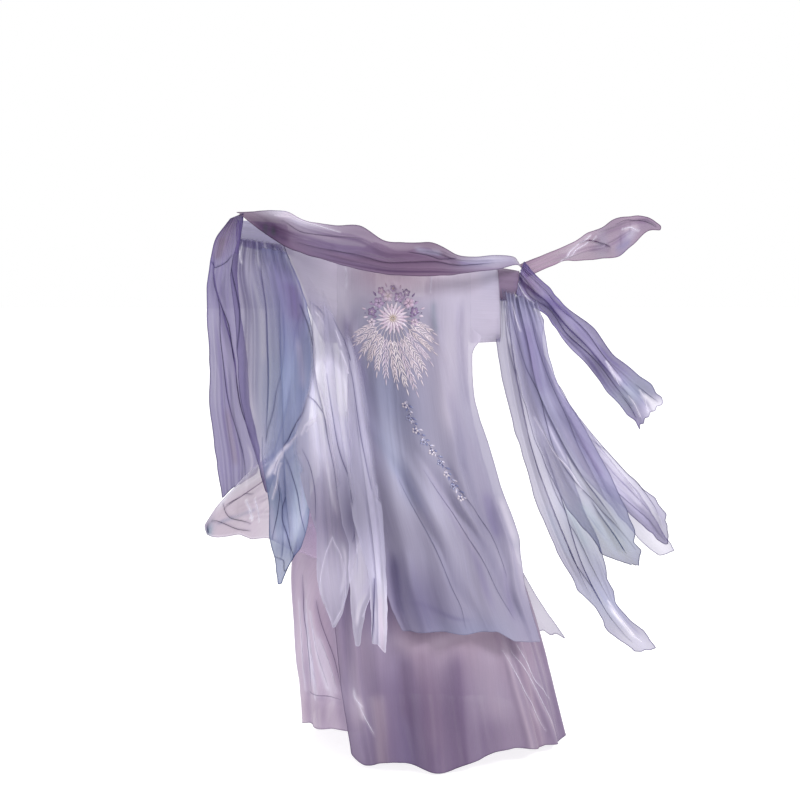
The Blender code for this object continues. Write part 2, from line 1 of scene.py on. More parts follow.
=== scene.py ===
"""Looks of the hanfu outfit: every cloth piece is a thin chiffon shell on the form
of its solid, with its creases, gathers, rolled hems, colour washes and stitched
work.  Metres, +Z up, the wearer faces +Y and the back looks towards -Y."""

import math

import bpy
import mathutils
import numpy as np
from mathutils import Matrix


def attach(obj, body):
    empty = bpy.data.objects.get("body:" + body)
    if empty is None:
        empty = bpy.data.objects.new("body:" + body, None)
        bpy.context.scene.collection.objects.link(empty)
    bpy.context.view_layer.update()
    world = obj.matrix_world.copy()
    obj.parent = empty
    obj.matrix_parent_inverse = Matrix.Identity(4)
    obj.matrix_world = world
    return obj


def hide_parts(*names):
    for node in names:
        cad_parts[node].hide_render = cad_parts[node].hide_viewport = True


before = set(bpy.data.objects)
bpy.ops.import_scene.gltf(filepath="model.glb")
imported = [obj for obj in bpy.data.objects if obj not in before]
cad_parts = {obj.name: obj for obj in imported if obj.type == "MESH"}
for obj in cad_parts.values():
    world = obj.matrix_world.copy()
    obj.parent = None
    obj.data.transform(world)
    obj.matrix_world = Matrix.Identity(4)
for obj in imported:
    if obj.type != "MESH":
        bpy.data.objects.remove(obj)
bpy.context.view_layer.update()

# ---------------------------------------------------------------- sizes
SEAM = 0.0010          # clear gap between two pieces that are sewn together
COLLAR_W = 0.030       # band that edges the neck and both fronts
BAND_H = 0.060         # chest band of the skirt
STRAP_W = 0.012        # shoulder straps of the skirt
BAND_TOP = -0.135      # height of the top edge of the chest band
WRAP_GAP = 0.014       # radial step between the skirt's two wrap panels
HEM_R = 0.0010         # radius of a rolled chiffon hem
FLOOR_Z = -1.402       # the pale floor under the hem

BACK = (0.0, -1.0, 0.0)
FRONT = (0.0, 1.0, 0.0)

# The general figure's hollow inside the skirt: one ellipse a row.
# columns: z, centre x, centre y, half width x, half depth y
SKIRT = [
    (-0.135, -0.028, 0.000, 0.135, 0.100),
    (-0.300, -0.016, 0.000, 0.137, 0.104),
    (-0.500, 0.000, 0.000, 0.172, 0.125),
    (-0.660, -0.002, 0.000, 0.236, 0.170),
    (-0.830, 0.003, 0.000, 0.300, 0.225),
    (-1.100, 0.045, 0.000, 0.343, 0.292),
    (-1.387, 0.092, 0.000, 0.368, 0.345),
]

# Height of the hem round each wrap panel.
# columns: angle from the middle of the back in degrees, z
HEM_BACK = [(-37, -1.366), (-32, -1.384), (-13, -1.363), (2, -1.392), (16, -1.361),
            (29, -1.346), (46, -1.357), (67, -1.378), (98, -1.386)]
HEM_FRONT = [(86, -1.384), (130, -1.372), (180, -1.384), (225, -1.368), (270, -1.364),
             (300, -1.342), (332, -1.314)]

# Free edge of the robe back at the shoulders and round the nape.
# columns: part of the width, x, y, z
YOKE_BACK = [
    (0.00, -0.175, 0.000, 0.016),
    (0.16, -0.115, -0.006, 0.008),
    (0.28, -0.075, -0.035, -0.010),
    (0.50, 0.000, -0.088, -0.038),
    (0.72, 0.085, -0.035, -0.022),
    (0.84, 0.130, -0.004, -0.022),
    (1.00, 0.197, 0.000, -0.040),
]

# Hanging panels.  A row is one section across the panel, from its left edge to
# its right edge as seen from behind.
# columns: part of the length, left x, left y, left z, right x, right y, right z,
#          crown (how far the middle stands out), fold (height of its pleats)
ROBE_BACK = [
    (0.00, -0.175, -0.060, -0.035, 0.197, -0.060, -0.055, 0.030, 0.000),
    (0.10, -0.175, -0.082, -0.145, 0.197, -0.082, -0.145, 0.040, 0.002),
    (0.21, -0.172, -0.092, -0.262, 0.197, -0.085, -0.262, 0.045, 0.004),
    (0.25, -0.160, -0.100, -0.300, 0.196, -0.088, -0.300, 0.048, 0.005),
    (0.37, -0.138, -0.120, -0.425, 0.205, -0.100, -0.425, 0.055, 0.006),
    (0.49, -0.120, -0.150, -0.550, 0.240, -0.120, -0.550, 0.055, 0.007),
    (0.61, -0.095, -0.190, -0.675, 0.274, -0.145, -0.675, 0.055, 0.008),
    (0.74, -0.057, -0.245, -0.810, 0.320, -0.170, -0.808, 0.050, 0.009),
    (0.87, -0.033, -0.295, -0.935, 0.338, -0.200, -0.940, 0.050, 0.009),
    (1.00, 0.018, -0.330, -1.045, 0.376, -0.225, -1.068, 0.045, 0.009),
]
ROBE_FRONT_R = [
    (0.00, 0.197, 0.052, -0.055, 0.110, 0.066, -0.030, 0.006, 0.000),
    (0.10, 0.197, 0.066, -0.150, 0.104, 0.108, -0.130, 0.008, 0.000),
    (0.21, 0.197, 0.074, -0.262, 0.098, 0.124, -0.250, 0.012, 0.003),
    (0.40, 0.205, 0.080, -0.450, 0.085, 0.150, -0.440, 0.014, 0.005),
    (0.60, 0.265, 0.080, -0.680, 0.075, 0.215, -0.660, 0.020, 0.007),
    (0.74, 0.320, 0.075, -0.850, 0.085, 0.280, -0.830, 0.030, 0.008),
    (0.86, 0.390, 0.065, -1.000, 0.105, 0.325, -0.990, 0.040, 0.008),
    (1.00, 0.468, 0.055, -1.125, 0.130, 0.350, -1.140, 0.045, 0.008),
]
ROBE_FRONT_L = [
    (0.00, -0.175, 0.055, -0.010, -0.110, 0.070, -0.010, 0.006, 0.000),
    (0.10, -0.175, 0.068, -0.140, -0.102, 0.112, -0.130, 0.008, 0.000),
    (0.21, -0.174, 0.076, -0.262, -0.096, 0.126, -0.250, 0.010, 0.003),
    (0.40, -0.186, 0.080, -0.450, -0.080, 0.152, -0.440, 0.014, 0.005),
    (0.60, -0.235, 0.110, -0.680, -0.060, 0.218, -0.660, 0.022, 0.006),
    (0.80, -0.268, 0.150, -0.910, -0.030, 0.300, -0.900, 0.030, 0.008),
    (1.00, -0.245, 0.205, -1.120, 0.000, 0.352, -1.130, 0.035, 0.008),
]
SLEEVE_L_MAIN = [
    (0.00, -0.452, -0.066, 0.016, -0.320, -0.072, -0.002, 0.000, 0.003),
    (0.15, -0.465, -0.078, -0.070, -0.292, -0.080, -0.080, 0.004, 0.006),
    (0.30, -0.452, -0.080, -0.180, -0.265, -0.092, -0.180, 0.006, 0.008),
    (0.45, -0.446, -0.082, -0.300, -0.248, -0.098, -0.300, 0.008, 0.009),
    (0.60, -0.440, -0.084, -0.420, -0.265, -0.098, -0.420, 0.008, 0.008),
    (0.76, -0.415, -0.088, -0.540, -0.308, -0.096, -0.540, 0.006, 0.006),
    (0.90, -0.390, -0.092, -0.630, -0.352, -0.095, -0.630, 0.002, 0.003),
    (1.00, -0.376, -0.094, -0.680, -0.368, -0.095, -0.680, 0.000, 0.000),
]
SLEEVE_L_BLUE = [
    (0.00, -0.410, -0.084, 0.000, -0.282, -0.090, -0.028, 0.000, 0.002),
    (0.13, -0.385, -0.112, -0.120, -0.266, -0.122, -0.130, 0.004, 0.005),
    (0.28, -0.372, -0.128, -0.280, -0.258, -0.142, -0.290, 0.006, 0.007),
    (0.42, -0.375, -0.134, -0.430, -0.262, -0.152, -0.440, 0.006, 0.008),
    (0.55, -0.380, -0.140, -0.570, -0.255, -0.160, -0.570, 0.006, 0.008),
    (0.68, -0.365, -0.148, -0.695, -0.250, -0.164, -0.695, 0.005, 0.007),
    (0.80, -0.358, -0.154, -0.800, -0.262, -0.166, -0.800, 0.003, 0.005),
    (0.92, -0.345, -0.160, -0.880, -0.310, -0.166, -0.870, 0.000, 0.002),
    (1.00, -0.338, -0.162, -0.928, -0.330, -0.165, -0.926, 0.000, 0.000),
]
# The corner panel runs outwards, so its two edges are its upper and lower ones.
SLEEVE_L_CORNER = [
    (0.00, -0.185, -0.170, -0.430, -0.152, -0.236, -0.865, 0.000, 0.002),
    (0.18, -0.235, -0.130, -0.465, -0.240, -0.172, -0.850, 0.003, 0.004),
    (0.36, -0.290, -0.095, -0.515, -0.315, -0.110, -0.830, 0.004, 0.005),
    (0.55, -0.370, -0.052, -0.585, -0.395, -0.060, -0.815, 0.004, 0.005),
    (0.72, -0.450, -0.076, -0.650, -0.455, -0.080, -0.806, 0.004, 0.005),
    (0.86, -0.505, -0.088, -0.710, -0.515, -0.096, -0.802, 0.002, 0.003),
    (1.00, -0.550, -0.096, -0.775, -0.542, -0.102, -0.800, 0.000, 0.000),
]
SLEEVE_L_PETAL_1 = [
    (0.00, -0.246, -0.108, -0.120, -0.218, -0.112, -0.150, 0.000, 0.001),
    (0.15, -0.244, -0.160, -0.280, -0.190, -0.165, -0.280, 0.003, 0.003),
    (0.32, -0.243, -0.212, -0.440, -0.170, -0.220, -0.440, 0.005, 0.005),
    (0.50, -0.232, -0.250, -0.600, -0.150, -0.258, -0.600, 0.006, 0.006),
    (0.68, -0.220, -0.280, -0.760, -0.148, -0.290, -0.760, 0.005, 0.005),
    (0.83, -0.213, -0.298, -0.885, -0.146, -0.308, -0.885, 0.003, 0.004),
    (0.93, -0.196, -0.306, -0.965, -0.158, -0.312, -0.965, 0.001, 0.002),
    (1.00, -0.181, -0.310, -1.014, -0.174, -0.311, -1.014, 0.000, 0.000),
]
SLEEVE_L_PETAL_2 = [
    (0.00, -0.210, -0.122, -0.140, -0.182, -0.126, -0.185, 0.000, 0.001),
    (0.14, -0.196, -0.182, -0.280, -0.148, -0.190, -0.280, 0.003, 0.003),
    (0.30, -0.178, -0.238, -0.435, -0.115, -0.248, -0.435, 0.005, 0.005),
    (0.44, -0.158, -0.278, -0.570, -0.088, -0.288, -0.570, 0.006, 0.006),
    (0.58, -0.136, -0.316, -0.700, -0.062, -0.324, -0.695, 0.005, 0.005),
    (0.72, -0.126, -0.340, -0.815, -0.056, -0.350, -0.815, 0.004, 0.004),
    (0.83, -0.124, -0.352, -0.905, -0.085, -0.358, -0.910, 0.002, 0.002),
    (0.93, -0.122, -0.356, -0.990, -0.108, -0.358, -0.990, 0.000, 0.001),
    (1.00, -0.117, -0.357, -1.052, -0.111, -0.358, -1.052, 0.000, 0.000),
]
SLEEVE_L_PETAL_3 = [
    (0.00, -0.146, -0.150, -0.232, -0.132, -0.154, -0.250, 0.000, 0.000),
    (0.20, -0.126, -0.246, -0.385, -0.104, -0.250, -0.385, 0.002, 0.001),
    (0.38, -0.112, -0.318, -0.550, -0.078, -0.326, -0.550, 0.003, 0.002),
    (0.56, -0.100, -0.345, -0.720, -0.050, -0.350, -0.715, 0.003, 0.004),
    (0.72, -0.082, -0.374, -0.855, -0.038, -0.378, -0.865, 0.002, 0.003),
    (0.87, -0.076, -0.384, -0.960, -0.034, -0.386, -0.965, 0.001, 0.002),
    (1.00, -0.074, -0.388, -1.035, -0.038, -0.388, -1.055, 0.000, 0.001),
]
SLEEVE_R_LONG = [
    (0.00, 0.292, 0.020, -0.152, 0.350, 0.040, -0.152, 0.000, 0.001),
    (0.11, 0.290, -0.005, -0.270, 0.380, 0.010, -0.270, 0.003, 0.005),
    (0.22, 0.312, -0.028, -0.410, 0.412, -0.018, -0.410, 0.005, 0.008),
    (0.34, 0.350, -0.048, -0.565, 0.465, -0.044, -0.565, 0.006, 0.008),
    (0.45, 0.392, -0.064, -0.705, 0.510, -0.062, -0.705, 0.006, 0.008),
    (0.56, 0.440, -0.076, -0.830, 0.565, -0.080, -0.830, 0.006, 0.008),
    (0.67, 0.496, -0.084, -0.935, 0.605, -0.098, -0.935, 0.004, 0.007),
    (0.78, 0.560, -0.088, -1.025, 0.645, -0.112, -1.025, 0.002, 0.005),
    (0.90, 0.612, -0.092, -1.095, 0.702, -0.122, -1.080, 0.000, 0.003),
    (1.00, 0.665, -0.100, -1.132, 0.722, -0.124, -1.120, 0.000, 0.001),
]
SLEEVE_R_MID = [
    (0.00, 0.302, -0.012, -0.148, 0.392, 0.000, -0.172, 0.000, 0.002),
    (0.14, 0.315, -0.050, -0.265, 0.420, -0.040, -0.265, 0.004, 0.006),
    (0.29, 0.342, -0.082, -0.405, 0.470, -0.076, -0.405, 0.006, 0.009),
    (0.43, 0.390, -0.108, -0.560, 0.560, -0.106, -0.575, 0.008, 0.010),
    (0.57, 0.455, -0.128, -0.700, 0.620, -0.134, -0.700, 0.008, 0.010),
    (0.72, 0.530, -0.142, -0.795, 0.652, -0.156, -0.795, 0.005, 0.008),
    (0.88, 0.575, -0.150, -0.850, 0.665, -0.168, -0.842, 0.002, 0.004),
    (1.00, 0.628, -0.156, -0.872, 0.668, -0.172, -0.874, 0.000, 0.001),
]
SLEEVE_R_OUTER = [
    (0.00, 0.345, 0.075, -0.150, 0.412, 0.085, -0.205, 0.000, 0.001),
    (0.12, 0.355, 0.050, -0.270, 0.422, 0.060, -0.270, 0.003, 0.004),
    (0.25, 0.390, 0.028, -0.385, 0.458, 0.034, -0.385, 0.004, 0.006),
    (0.39, 0.445, 0.008, -0.510, 0.545, 0.008, -0.510, 0.005, 0.008),
    (0.53, 0.525, -0.008, -0.625, 0.645, -0.018, -0.625, 0.006, 0.008),
    (0.68, 0.615, -0.022, -0.710, 0.720, -0.040, -0.705, 0.004, 0.006),
    (0.81, 0.685, -0.034, -0.775, 0.750, -0.054, -0.755, 0.002, 0.004),
    (0.92, 0.722, -0.042, -0.812, 0.758, -0.058, -0.798, 0.000, 0.002),
    (1.00, 0.755, -0.048, -0.836, 0.764, -0.056, -0.832, 0.000, 0.000),
]
SLEEVE_R_UNDER = [
    (0.00, 0.325, 0.112, -0.150, 0.385, 0.122, -0.168, 0.000, 0.001),
    (0.18, 0.345, 0.098, -0.285, 0.410, 0.108, -0.285, 0.003, 0.004),
    (0.36, 0.405, 0.078, -0.460, 0.500, 0.082, -0.455, 0.004, 0.006),
    (0.56, 0.505, 0.056, -0.620, 0.615, 0.048, -0.610, 0.005, 0.007),
    (0.75, 0.622, 0.034, -0.750, 0.705, 0.014, -0.722, 0.003, 0.005),
    (0.90, 0.700, 0.020, -0.838, 0.758, -0.002, -0.812, 0.001, 0.003),
    (1.00, 0.748, 0.010, -0.880, 0.792, -0.004, -0.862, 0.000, 0.001),
]
# The shawl is in stretches that follow one another, so these panels are read
# along the shawl, from their lower edge to their upper edge.
SHAWL_BACK = [
    (0.00, -0.436, -0.092, 0.088, -0.444, -0.078, 0.101, 0.000, 0.000),
    (0.09, -0.385, -0.120, 0.050, -0.380, -0.095, 0.104, 0.002, 0.003),
    (0.18, -0.320, -0.135, 0.010, -0.315, -0.105, 0.103, 0.004, 0.005),
    (0.26, -0.262, -0.148, -0.014, -0.266, -0.108, 0.080, 0.005, 0.006),
    (0.36, -0.175, -0.162, -0.040, -0.178, -0.112, 0.062, 0.006, 0.006),
    (0.44, -0.110, -0.172, -0.058, -0.110, -0.122, 0.060, 0.006, 0.006),
    (0.53, -0.035, -0.180, -0.070, -0.038, -0.142, 0.018, 0.006, 0.006),
    (0.61, 0.035, -0.182, -0.074, 0.032, -0.146, 0.016, 0.005, 0.005),
    (0.69, 0.105, -0.176, -0.073, 0.105, -0.143, 0.010, 0.004, 0.005),
    (0.74, 0.150, -0.168, -0.070, 0.150, -0.138, -0.014, 0.003, 0.004),
    (0.81, 0.205, -0.152, -0.062, 0.205, -0.128, -0.022, 0.003, 0.004),
    (0.88, 0.270, -0.125, -0.056, 0.262, -0.108, -0.018, 0.001, 0.002),
    (0.94, 0.322, -0.075, -0.044, 0.314, -0.066, -0.022, 0.000, 0.001),
    (1.00, 0.350, 0.060, -0.052, 0.338, 0.062, -0.034, 0.000, 0.000),
]
SHAWL_END_LEFT = [
    (0.00, -0.470, -0.078, 0.086, -0.449, -0.084, 0.094, 0.000, 0.000),
    (0.07, -0.512, -0.062, 0.035, -0.468, -0.074, 0.030, 0.001, 0.002),
    (0.18, -0.536, -0.044, -0.060, -0.482, -0.060, -0.060, 0.002, 0.004),
    (0.34, -0.545, -0.028, -0.180, -0.482, -0.046, -0.180, 0.003, 0.006),
    (0.50, -0.540, -0.020, -0.310, -0.462, -0.036, -0.310, 0.003, 0.006),
    (0.68, -0.540, -0.020, -0.450, -0.448, -0.034, -0.450, 0.003, 0.006),
    (0.84, -0.525, -0.022, -0.585, -0.418, -0.030, -0.575, 0.002, 0.005),
    (1.00, -0.508, -0.026, -0.700, -0.422, -0.028, -0.635, 0.000, 0.002),
]
SHAWL_END_RIGHT = [
    (0.00, 0.346, 0.068, -0.085, 0.360, 0.072, -0.060, 0.000, 0.001),
    (0.14, 0.385, 0.100, -0.148, 0.422, 0.102, -0.115, 0.002, 0.004),
    (0.29, 0.440, 0.112, -0.195, 0.468, 0.112, -0.165, 0.002, 0.005),
    (0.43, 0.482, 0.110, -0.262, 0.555, 0.104, -0.228, 0.003, 0.006),
    (0.57, 0.552, 0.098, -0.335, 0.612, 0.086, -0.305, 0.003, 0.007),
    (0.71, 0.605, 0.085, -0.410, 0.672, 0.068, -0.348, 0.003, 0.007),
    (0.86, 0.652, 0.072, -0.462, 0.738, 0.056, -0.405, 0.002, 0.006),
    (1.00, 0.688, 0.065, -0.505, 0.762, 0.050, -0.438, 0.000, 0.003),
]
SHAWL_END_HAND = [
    (0.00, 0.366, 0.086, -0.066, 0.358, 0.086, -0.048, 0.000, 0.001),
    (0.12, 0.430, 0.125, -0.040, 0.420, 0.118, -0.022, 0.001, 0.002),
    (0.25, 0.480, 0.152, -0.026, 0.486, 0.140, 0.010, 0.002, 0.004),
    (0.38, 0.532, 0.166, -0.026, 0.542, 0.150, 0.045, 0.003, 0.005),
    (0.51, 0.595, 0.174, -0.022, 0.588, 0.152, 0.066, 0.003, 0.006),
    (0.64, 0.642, 0.178, -0.018, 0.634, 0.150, 0.094, 0.003, 0.006),
    (0.77, 0.686, 0.178, 0.016, 0.682, 0.155, 0.100, 0.002, 0.005),
    (0.90, 0.732, 0.174, 0.058, 0.732, 0.165, 0.096, 0.001, 0.002),
    (1.00, 0.768, 0.170, 0.060, 0.770, 0.170, 0.070, 0.000, 0.000),
]
# Straps of the skirt, over the shoulders from the back of the band to its front.
# columns: part of the length, x, y, z of the strap's middle
STRAP_L = [(0.0, -0.142, -0.0540, -0.1335), (0.25, -0.138, -0.048, -0.080),
           (0.5, -0.128, -0.004, -0.022), (0.75, -0.128, 0.040, -0.072),
           (1.0, -0.130, 0.0655, -0.1335)]
STRAP_R = [(0.0, 0.077, -0.0630, -0.1335), (0.25, 0.082, -0.056, -0.085),
           (0.5, 0.108, -0.004, -0.046), (0.75, 0.106, 0.032, -0.085),
           (1.0, 0.086, 0.0535, -0.1335)]


# ---------------------------------------------------------------- colours
# Dye colours as they look in one layer against a pale room, in sRGB 0-255; white and rose_glow also serve as painted
# highlights and painted light.
DYE_AND_PAINTED_LIGHT = {
    "plum": (117, 93, 120), "plum_dark": (80, 58, 90), "mauve": (153, 133, 160),
    "rose": (178, 155, 176), "rose_pale": (196, 178, 198), "lilac": (173, 168, 193),
    "lilac_pale": (208, 200, 220), "violet": (145, 136, 176), "violet_deep": (122, 110, 152),
    "blue": (133, 143, 177), "blue_pale": (164, 168, 196), "mist": (149, 154, 186),
    "slate": (131, 123, 161), "slate_plum": (136, 122, 156), "grey": (162, 157, 181),
    "sea": (150, 160, 178), "white_lilac": (212, 208, 228), "white": (232, 228, 242),
    "skirt": (135, 116, 151), "skirt_rose": (172, 154, 178), "skirt_dark": (124, 103, 138),
    "skirt_pink": (198, 181, 202), "cream": (236, 228, 226), "ink": (84, 82, 124),
    "haze": (176, 172, 194), "leaf": (198, 193, 212), "rose_glow": (224, 198, 218), "slate_grey": (146, 146, 172),
    "teal": (148, 164, 184),
}
